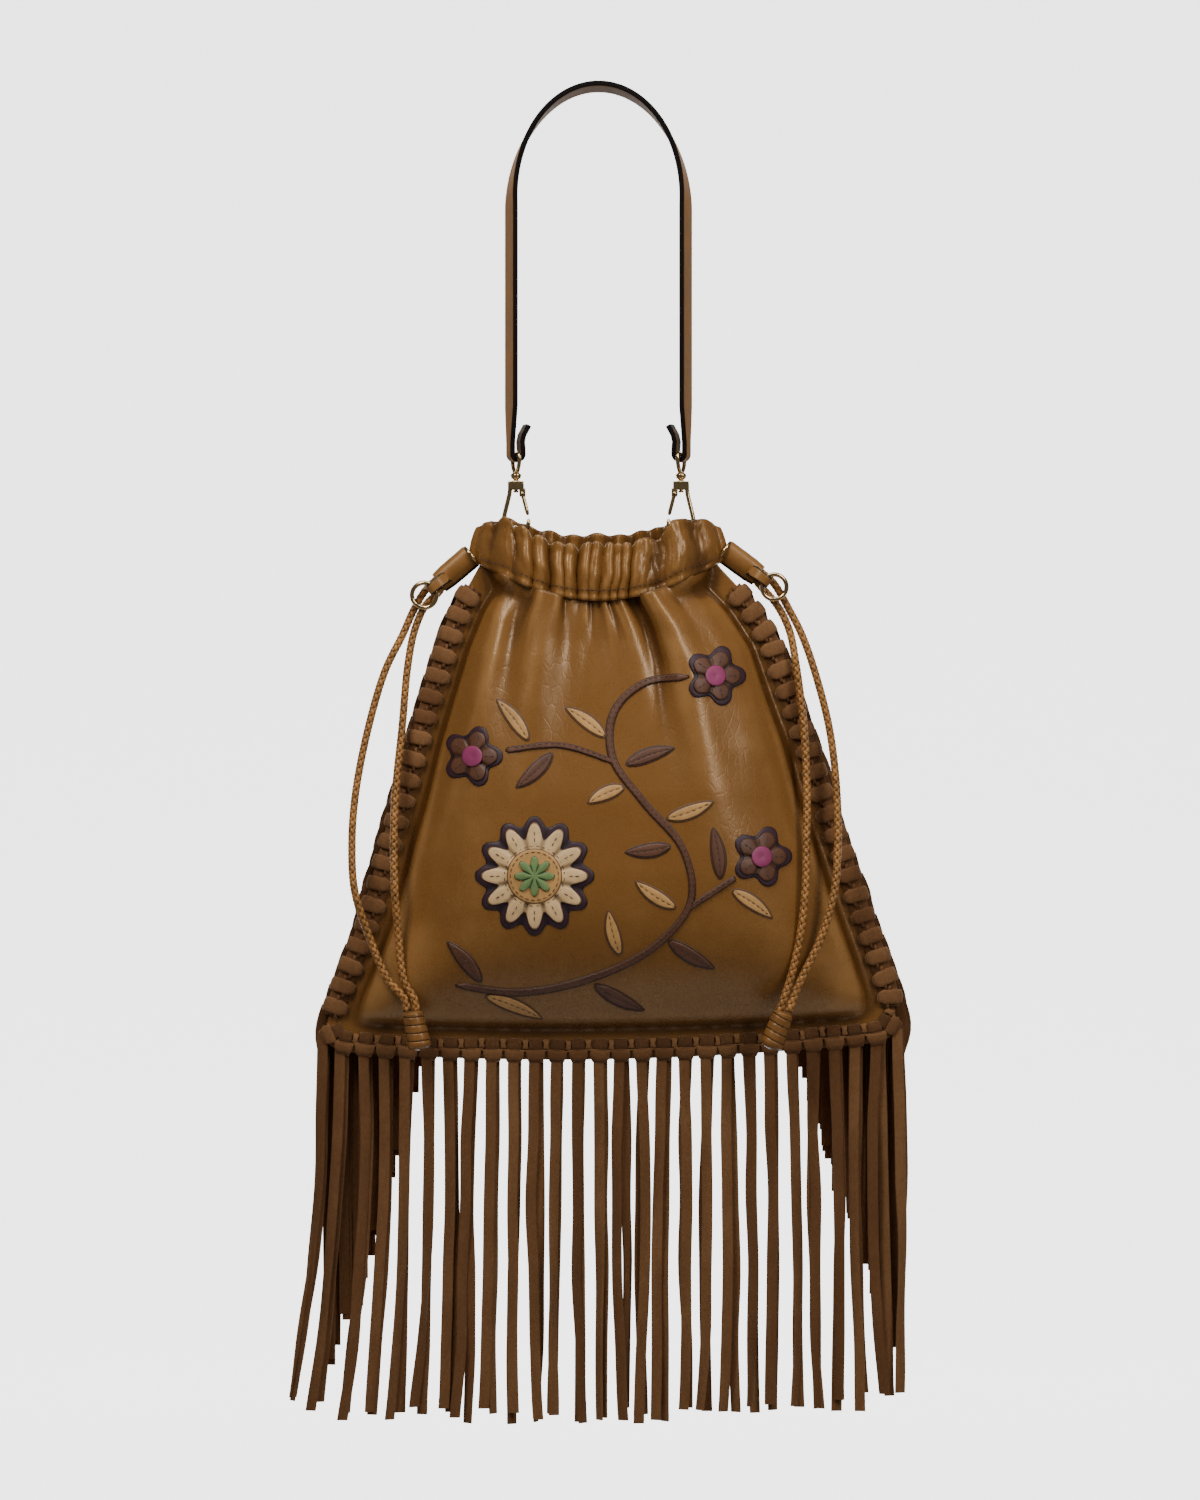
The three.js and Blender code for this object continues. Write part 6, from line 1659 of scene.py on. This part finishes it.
def wound_end(name, start, lean, wrap=4.2):
    """The thong wound into a barrel at the end of a drawstring, its grooves between turns painted dark as
    painted shade.
    """
    s = np.r_[0.02, np.linspace(0.3, END_L + 0.6, 96), END_L + 0.9]
    shape = np.interp(s, [0, 0.5, 1.4, 3.0, 12, END_L - 2.4, END_L - 1.0, END_L - 0.1, END_L + 0.9],
            [2.4, 4.2, 5.2, END_R - 0.75, END_R - 0.35, END_R, END_R - 0.35, END_R - 1.7, 0.4])
    a = np.arange(44) * 2 * np.pi / 44
    turn = s[:, None] / wrap + a[None] / (2 * np.pi) + 0.04 * np.sin(3 * a)[None]
    apart = np.abs(turn - np.round(turn)) * wrap
    groove = np.exp(-(apart / 0.26) ** 2) * np.interp(s, [0.4, 1.5, END_L - 1.6, END_L - 0.6],
            [0, 1, 1, 0])[:, None]
    swell = 0.14 * (1 - np.clip(1 - apart / (wrap / 2), 0, 1) ** 3)
    r = shape[:, None] + swell - 0.5 * groove
    lean = unit(lean)
    u = unit(np.array((1.0, 0, 0)) - lean * lean[0])
    w = np.cross(lean, u)
    pts = start + s[:, None, None] * lean + r[..., None] * (np.cos(a)[None, :, None] * u + np.sin(a)[None,
            :, None] * w)
    faces = [list(f) for f in grid_faces(len(s), 44, 0, True)]
    last = (len(s) - 1) * 44
    faces += [list(range(44)), list(range(last, last + 44))]
    return build(name, pts.reshape(-1, 3), faces, FINISH["wound"], {"high": (1 - groove).ravel()})


def make_cords(pouch, sizes):
    d = sizes.cord / MM
    for name, _ in SIDES:
        end, lean = end_place(pouch, name, d)
        coil = wound_end(name + "_cord_end_leather", end, lean)
        finish_piece(coil, "bag", "braided_leather", name + "_cord_end")
        for strand in ("outer", "inner"):
            path = cord_path(pouch, name, strand, d)
            (points, faces, values), line = braid(path, d)
            obj = build(f"{name}_{strand}_braid", points, faces, FINISH["braid"], values)
            finish_piece(obj, "bag", "braided_leather", f"{name}_{strand}_cord")
            length = float(np.sum(np.linalg.norm(np.diff(line, axis=0), axis=1))) * MM
            tuple(line[0] * MM)
            (line[::3] * MM).tolist()


# appliqué

VINE = [(-0.250, 0.867), (-0.137, 0.882), (-0.015, 0.853), (0.098, 0.786), (0.160, 0.694), (0.146, 0.588),
        (0.076, 0.490), (0.024, 0.402), (0.027, 0.310), (0.080, 0.251), (0.158, 0.238)]
BRANCHES = [[(0.152, 0.712), (0.198, 0.677), (0.238, 0.646)], [(0.030, 0.412), (-0.067, 0.378),
        (-0.162, 0.388)]]
LEAVES = [
    # base across, base down, tip across, tip down, tone
    (-0.204, 0.861, -0.264, 0.777, "brown"), (-0.198, 0.889, -0.097, 0.938, "tan"), (-0.008, 0.865, 0.081,
            0.920, "brown"),
    (0.038, 0.805, 0.017, 0.711, "tan"), (0.121, 0.774, 0.203, 0.832, "brown"), (0.135, 0.708, 0.063, 0.653,
            "tan"),
    (0.211, 0.650, 0.198, 0.544, "brown"), (0.231, 0.672, 0.303, 0.730, "tan"), (0.117, 0.527, 0.201, 0.491,
            "tan"),
    (0.126, 0.582, 0.045, 0.595, "brown"), (0.046, 0.462, -0.020, 0.496, "tan"), (0.047, 0.418, 0.133,
            0.383, "brown"),
    (0.013, 0.362, -0.059, 0.300, "tan"), (-0.080, 0.393, -0.144, 0.465, "brown"), (-0.121, 0.369, -0.178,
            0.283, "tan"),
]
DAISY = (-0.111, 0.643, 0.104)
BLOSSOMS = [(0.204, 0.236), (0.284, 0.604), (-0.220, 0.400)]
BLOSSOM_SIZE, LEAF_HALF, VINE_HALF, BRANCH, ART_T = 0.054, 0.0140, 2.1, 0.8, 1.0


def art_point(pouch, across, down):
    return across * pouch.w, SEAM_Z - down * pouch.h


def laid_slab(pouch, x, z, under, top):
    """Top and bottom grids of a thin piece lying on the front, at the given heights over it."""
    y = pouch.front_y(x, z)
    return np.stack([x, y - under - top, z], -1), np.stack([x, y - under + 0.25, z], -1)


def outward(pouch, x, z):
    e = 0.8
    dx = (pouch.front_y(x + e, z) - pouch.front_y(x - e, z)) / (2 * e)
    dz = (pouch.front_y(x, z + e) - pouch.front_y(x, z - e)) / (2 * e)
    return unit(np.stack([dx, -np.ones_like(dx), dz], -1))


def flat_petals(pouch, cx, cz, radius, under, thick, finish, name, count=144, lobes=0, dome=0.0, groove=0.0,
        hub=0.0):
    """A lobed disc with a rounded cut edge; radius is a function of the angle."""
    a = np.arange(count) * 2 * np.pi / count
    rings = np.array([0.02, 0.12, 0.25, 0.4, 0.55, 0.7, 0.82, 0.90, 0.95, 0.98, 1.0])
    r = radius(a)
    x = cx + rings[:, None] * r[None] * np.cos(a)
    z = cz + rings[:, None] * r[None] * np.sin(a)
    shape = np.array([1, 1, 1, 1, 1, 1, 1, 0.97, 0.88, 0.66, 0.30])[:, None] * thick
    between = 0.5 - 0.5 * np.cos(lobes * a) if lobes else 0 * a
    cut = smooth((between - 0.72) / 0.28)[None] * smooth((rings - hub) / 0.25)[:, None]
    top = shape * (1 - groove * cut) + dome * (np.sin(np.pi * np.clip(rings, 0, 1)) ** 1.2)[:,
            None] * (1 - between)[None]
    upper, lower = laid_slab(pouch, x, z, under, top)
    # polar grid closed at its hub
    points, faces = slab(upper.transpose(0, 1, 2), lower, ring=True)
    n = len(rings) * count
    faces = [list(f) for f in faces]
    hub_quads = [f for f in faces if set(f) <= set(range(count)) | set(range(n, n + count))]
    for f in hub_quads:
        faces.remove(f)
    faces += [list(range(count)), list(range(n, n + count))]
    edge = np.repeat(np.array([0, 0, 0, 0, 0, 0, 0, 0, 0.15, 0.7, 1.0])[:, None], count, 1)
    grooves = np.clip(cut, 0, 1) * 0.9
    obj = build(name, points, faces, finish, {"edge": np.r_[edge.ravel(), edge.ravel()],
            "groove": np.r_[grooves.ravel(), 0 * grooves.ravel()]})
    return obj, a


def ribbon_piece(pouch, path, half, under, thick, finish, name, border):
    """A leaf or stem lying on the front: a thin backing as a border, and the leather sewn on it."""
    d = unit(np.gradient(path, axis=0))
    across = np.stack([-d[:, 1], d[:, 0]], 1)
    share = np.sin(np.linspace(-np.pi / 2, np.pi / 2, 31))
    x = path[:, :1] + across[:, :1] * share * half[:, None]
    z = path[:, 1:] + across[:, 1:] * share * half[:, None]
    run = np.r_[0, np.cumsum(np.linalg.norm(np.diff(path, axis=0), axis=1))]
    to_end = np.minimum(run, run[-1] - run)[:, None] * 0.75
    inside = np.minimum((1 - np.abs(share))[None] * half[:, None], to_end)
    sewn = smooth((inside - border) / 0.35)
    top = thick * (0.12 + 0.30 * smooth(inside / 0.35) + 0.58 * sewn) + 0.22 * sewn * np.clip(inside / 3, 0,
            1)
    dip = np.exp(-((share[None] * half[:, None]) / 0.5) ** 2) * sewn * (0.35 if border > 0.8 else 0)
    upper, lower = laid_slab(pouch, x, z, under, top - dip * 0.5)
    points, faces = slab(upper, lower)
    edge = 1 - sewn
    return build(name, points, faces, finish, {"edge": np.r_[edge.ravel(), edge.ravel()],
            "groove": np.r_[dip.ravel(), 0 * dip.ravel()]})


def flat_curve(points, count):
    pts = catmull([(x, 0, z) for x, z in points], count)
    return pts[:, [0, 2]]


def make_vine(pouch, sizes):
    parts, rows = [], []
    for k, line in enumerate([VINE] + BRANCHES):
        path = flat_curve([art_point(pouch, *p) for p in line], 150 if k == 0 else 40)
        t = np.linspace(0, 1, len(path))
        half = VINE_HALF * (BRANCH if k else 1) * (1 + 0.10 * mottle(t * 18, 0 * t, k))
        half = half * np.clip(np.minimum(t, 1 - t) * 40 + 0.3, 0, 1)
        parts.append(ribbon_piece(pouch, path, half, 0.05 + 0.02 * k, ART_T, FINISH["brown"],
                f"vine_part_{k}", 0.45))
        d = unit(np.gradient(path, axis=0))
        for s in (-1, 1):
            row = (path + np.stack([-d[:, 1], d[:, 0]], 1) * half[:, None] * 0.45 * s)[3:-3]
            y = pouch.front_y(row[:, 0], row[:, 1]) - ART_T - 0.20
            rows.append((np.stack([row[:, 0], y, row[:, 1]], 1), outward(pouch, row[:, 0], row[:, 1])))
    obj = merge(*parts)
    obj.name = "vine_leather"
    finish_piece(obj, "bag", "brown_leather", "vine")
    finish_piece(stitch_rows("vine_stitches", rows, FINISH["thread"], sizes), "bag", "brown_leather")


def make_leaf(pouch, k, row, rows):
    (ax, az), (bx, bz) = art_point(pouch, row[0], row[1]), art_point(pouch, row[2], row[3])
    t = (1 - np.cos(np.linspace(0, np.pi, 44))) / 2
    d = np.array((bx - ax, bz - az))
    n = np.array((-d[1], d[0])) / np.linalg.norm(d)
    bow = 0.9 * np.sin(np.pi * t) * (1 if k % 2 else -1)
    path = np.array((ax, az)) + t[:, None] * d + n * bow[:, None]
    half = LEAF_HALF * pouch.w * np.maximum(0.05, np.sin(np.pi * t ** 0.85) ** 0.62)
    tone = row[4]
    obj = ribbon_piece(pouch, path, half, 0.05, ART_T * 0.9, FINISH[tone], f"leaf_{k + 1:02d}_leather", 0.95)
    finish_piece(obj, "bag", tone + "_leather", f"leaf_{k + 1:02d}")
    rib = path[9:-9]
    y = pouch.front_y(rib[:, 0], rib[:, 1]) - ART_T * 0.9 - 0.14
    rows.append((np.stack([rib[:, 0], y, rib[:, 1]], 1), outward(pouch, rib[:, 0], rib[:, 1])))


def stitched(pouch, rows, cx, cz, r, height):
    """A ring of stitches round a flower's middle."""
    a = np.linspace(0, 2 * np.pi, 73)
    x, z = cx + r * np.cos(a), cz + r * np.sin(a)
    rows.append((np.stack([x, pouch.front_y(x, z) - height - 0.02, z], 1), outward(pouch, x, z)))


def stitched_ray(pouch, rows, cx, cz, angle, r0, r1, height):
    """A short row of stitches down the middle of a petal."""
    r = np.linspace(r0, r1, 8)
    x, z = cx + r * math.cos(angle), cz + r * math.sin(angle)
    rows.append((np.stack([x, pouch.front_y(x, z) - height, z], 1), outward(pouch, x, z)))


def make_flowers(pouch, rows):
    petal = lambda n, deep: (lambda a: 1 - deep * (0.5 - 0.5 * np.cos(n * a)) ** 1.3)
    cx, cz = art_point(pouch, DAISY[0], DAISY[1])
    big = DAISY[2] * pouch.w
    height = 0.05
    layers = [
        ("backing", "dark", lambda a: big * petal(12, 0.16)(a), 12, 0.0, 0.35, 0.5),
        ("petals", "cream", lambda a: big * 0.9 * petal(12, 0.30)(a), 12, 0.35, 0.85, 0.45),
        ("disc", "tan", lambda a: big * 0.46 * (1 + 0 * a), 0, 0.15, 0.0, 0.0),
        ("star", "green", lambda a: big * 0.34 * petal(8, 0.4)(a), 8, 0.25, 0.6, 0.2),
    ]
    for part, tone, radius, lobes, dome, groove, hub in layers:
        obj, a = flat_petals(pouch, cx, cz, radius, height, ART_T, FINISH[tone], f"daisy_{part}_leather",
                168, lobes, dome, groove, hub)
        finish_piece(obj, "bag", tone + "_leather", f"daisy_{part}")
        height += ART_T + 0.12
        if part == "petals":
            stitched(pouch, rows, cx, cz, big * 0.50, height)
            for k in range(12):
                stitched_ray(pouch, rows, cx, cz, 2 * np.pi * k / 12, big * 0.56, big * 0.76, height + 0.28)
        if part == "disc":
            stitched(pouch, rows, cx, cz, big * 0.40, height)
    for k, (across, down) in enumerate(BLOSSOMS):
        cx, cz = art_point(pouch, across, down)
        r = BLOSSOM_SIZE * pouch.w
        lobes = petal(5, 0.3)
        height = 0.05
        for part, tone, radius, n, dome, groove, hub in (
                ("backing", "dark", lambda a: r * lobes(a), 5, 0.0, 0.3, 0.5),
                ("petals", "brown", lambda a: r * 0.82 * lobes(a), 5, 0.4, 0.8, 0.3),
                ("eye", "pink", lambda a: r * 0.34 * (1 + 0 * a), 0, 0.3, 0.0, 0.0)):
            obj, a = flat_petals(pouch, cx, cz, radius, height, ART_T, FINISH[tone],
                    f"blossom_{k + 1}_{part}_leather", 90, n, dome, groove, hub)
            finish_piece(obj, "bag", tone + "_leather", f"blossom_{k + 1}_{part}")
            height += ART_T + 0.12
            if part == "petals":
                for n in range(5):
                    stitched_ray(pouch, rows, cx, cz, 2 * np.pi * n / 5, r * 0.40, r * 0.70, height + 0.30)


# stage


def soft_light(name, place, target, size, power, tint=(1, 1, 1)):
    data = bpy.data.lights.new(name, "AREA")
    data.shape, data.size, data.size_y = "RECTANGLE", size[0], size[1]
    data.energy, data.color = power, tint
    obj = bpy.data.objects.new(name, data)
    obj.location = place
    obj.rotation_euler = (Vector(target) - Vector(place)).to_track_quat("-Z", "Y").to_euler()
    bpy.context.scene.collection.objects.link(obj)


def make_stage():
    low = CAD_BOX[0][2] - FLOOR_BELOW
    a = np.radians(np.linspace(0, 90, 24))
    bend, start = WALL_BEND, WALL_AWAY
    line = [(-0.6, low)] + [(start + bend * math.sin(k), low + bend * (1 - math.cos(k))) for k in a]
    line += [(start + bend, low + 3.6)]
    points = [(x, y, z) for y, z in line for x in (-2.6, 2.6)]
    faces = [[2 * i, 2 * i + 1, 2 * i + 3, 2 * i + 2] for i in range(len(line) - 1)]
    obj = build("floor", np.array(points) / MM, faces, FINISH["floor"], closed=False)
    world = bpy.data.worlds.new("soft_studio")
    world.use_nodes = True
    world.node_tree.nodes["Background"].inputs[0].default_value = (1.0, 0.98, 0.96, 1)
    world.node_tree.nodes["Background"].inputs[1].default_value = 0.12
    bpy.context.scene.world = world
    middle = (0, 0, -0.36)
    soft_light("key_light", (-0.55, -0.85, 0.60), middle, (0.4, 0.6), 11.5, (1.0, 0.97, 0.93))
    soft_light("fill_light", (0.95, -1.10, 0.45), middle, (0.4, 0.9), 12.5, (1.0, 0.98, 0.96))
    soft_light("top_light", (0.05, -0.5, 0.85), (0, 0, -0.25), (0.8, 0.4), 6)
    camera = bpy.data.cameras.new("camera")
    camera.sensor_fit = "VERTICAL"
    away = CAMERA_AWAY
    camera.sensor_height = 36
    camera.lens = 36 * away / 0.780
    camera.clip_end = 50
    obj = bpy.data.objects.new("camera", camera)
    obj.location = (0.00078, -away - 0.02, -0.3458)
    obj.rotation_euler = (math.radians(90), 0, 0)
    bpy.context.scene.collection.objects.link(obj)
    bpy.context.scene.camera = obj


# operators


def the_pouch():
    return Pouch(bpy.context.scene.bag_sizes)


class BAG_OT_stage(bpy.types.Operator):
    """Pale floor, soft light and the camera"""
    bl_idname = "bag.stage"
    bl_label = "Stage"

    def execute(self, context):
        make_stage()
        return {"FINISHED"}


class BAG_OT_finishes(bpy.types.Operator):
    """Leathers, suede, metal, thread, node trees and the small patterns"""
    bl_idname = "bag.finishes"
    bl_label = "Finishes and patterns"

    def execute(self, context):
        mix_finishes()
        repeat_tree()
        strip_tree()
        patterns()
        return {"FINISHED"}


class BAG_OT_cords(bpy.types.Operator):
    """Braided drawstrings and their wound ends"""
    bl_idname = "bag.cords"
    bl_label = "Drawstrings"

    def execute(self, context):
        make_cords(the_pouch(), context.scene.bag_sizes)
        return {"FINISHED"}


class BAG_OT_panels(bpy.types.Operator):
    """Front and back panels of soft leather"""
    bl_idname = "bag.panels"
    bl_label = "Panels"

    def execute(self, context):
        make_panel(the_pouch(), False)
        make_panel(the_pouch(), True)
        return {"FINISHED"}


class BAG_OT_casing(bpy.types.Operator):
    """Gathered band round the mouth"""
    bl_idname = "bag.casing"
    bl_label = "Casing"

    def execute(self, context):
        make_casing(the_pouch(), context.scene.bag_sizes)
        return {"FINISHED"}


class BAG_OT_fringe(bpy.types.Operator):
    """Suede lacing and the strips that hang from it"""
    bl_idname = "bag.fringe"
    bl_label = "Lacing and fringe"

    def execute(self, context):
        pouch, sizes = the_pouch(), context.scene.bag_sizes
        bottom_strips(sizes, make_lacing(pouch, "bottom", sizes.bottom_knots, 0.92))
        for kind in ("left", "right"):
            side_strips(pouch, sizes, kind, make_lacing(pouch, kind, sizes.side_knots, 0.72))
        return {"FINISHED"}


class BAG_OT_strap(bpy.types.Operator):
    """Shoulder strap with painted edges"""
    bl_idname = "bag.strap"
    bl_label = "Strap"

    def execute(self, context):
        make_strap(context.scene.bag_sizes)
        return {"FINISHED"}


class BAG_OT_metal(bpy.types.Operator):
    """Snap hooks, rings and eyelets"""
    bl_idname = "bag.metal"
    bl_label = "Metal"

    def execute(self, context):
        for name, side in SIDES:
            make_eye(name, side)
            make_hook(name, side)
            make_gate(name, side)
            make_rings(name, side)
        return {"FINISHED"}


class BAG_OT_tabs(bpy.types.Operator):
    """Side tabs that the drawstrings run through, and the loops that hold the hooks"""
    bl_idname = "bag.tabs"
    bl_label = "Tabs and loops"

    def execute(self, context):
        for name, side in SIDES:
            make_tab(name, context.scene.bag_sizes)
            make_hanger_loop(name, side, the_pouch())
        return {"FINISHED"}


class BAG_OT_applique(bpy.types.Operator):
    """Stitched leather vine, leaves and flowers on the front"""
    bl_idname = "bag.applique"
    bl_label = "Appliqué"

    def execute(self, context):
        pouch, sizes = the_pouch(), context.scene.bag_sizes
        make_vine(pouch, sizes)
        rows = []
        for k, row in enumerate(LEAVES):
            make_leaf(pouch, k, row, rows)
        make_flowers(pouch, rows)
        finish_piece(stitch_rows("applique_stitches", rows, FINISH["thread"], sizes), "bag", "tan_leather")
        return {"FINISHED"}


STEPS = (BAG_OT_finishes, BAG_OT_stage, BAG_OT_cords, BAG_OT_panels, BAG_OT_casing, BAG_OT_fringe,
        BAG_OT_strap,
        BAG_OT_metal, BAG_OT_tabs, BAG_OT_applique)


class BAG_PT_panel(bpy.types.Panel):
    """Lists the bag's steps and settings"""
    bl_idname = "BAG_PT_panel"
    bl_label = "Fringed bag"
    bl_space_type = "VIEW_3D"
    bl_region_type = "UI"
    bl_category = "Bag"

    def draw(self, context):
        for group in (context.scene.bag_sizes, context.scene.bag_colours):
            for key in group.bl_rna.properties.keys():
                if key not in ("rna_type", "name"):
                    self.layout.prop(group, key)
        for step in STEPS:
            self.layout.operator(step.bl_idname)


CLASSES = (BagSizes, BagColours, *STEPS, BAG_PT_panel)


def register():
    for cls in CLASSES:
        bpy.utils.register_class(cls)
    bpy.types.Scene.bag_sizes = bpy.props.PointerProperty(type=BagSizes)
    bpy.types.Scene.bag_colours = bpy.props.PointerProperty(type=BagColours)


def unregister():
    del bpy.types.Scene.bag_sizes
    del bpy.types.Scene.bag_colours
    for cls in reversed(CLASSES):
        bpy.utils.unregister_class(cls)


def main():
    register()
    for step in STEPS:
        group, action = step.bl_idname.split(".")
        getattr(getattr(bpy.ops, group), action)()


if __name__ == "__main__":
    main()
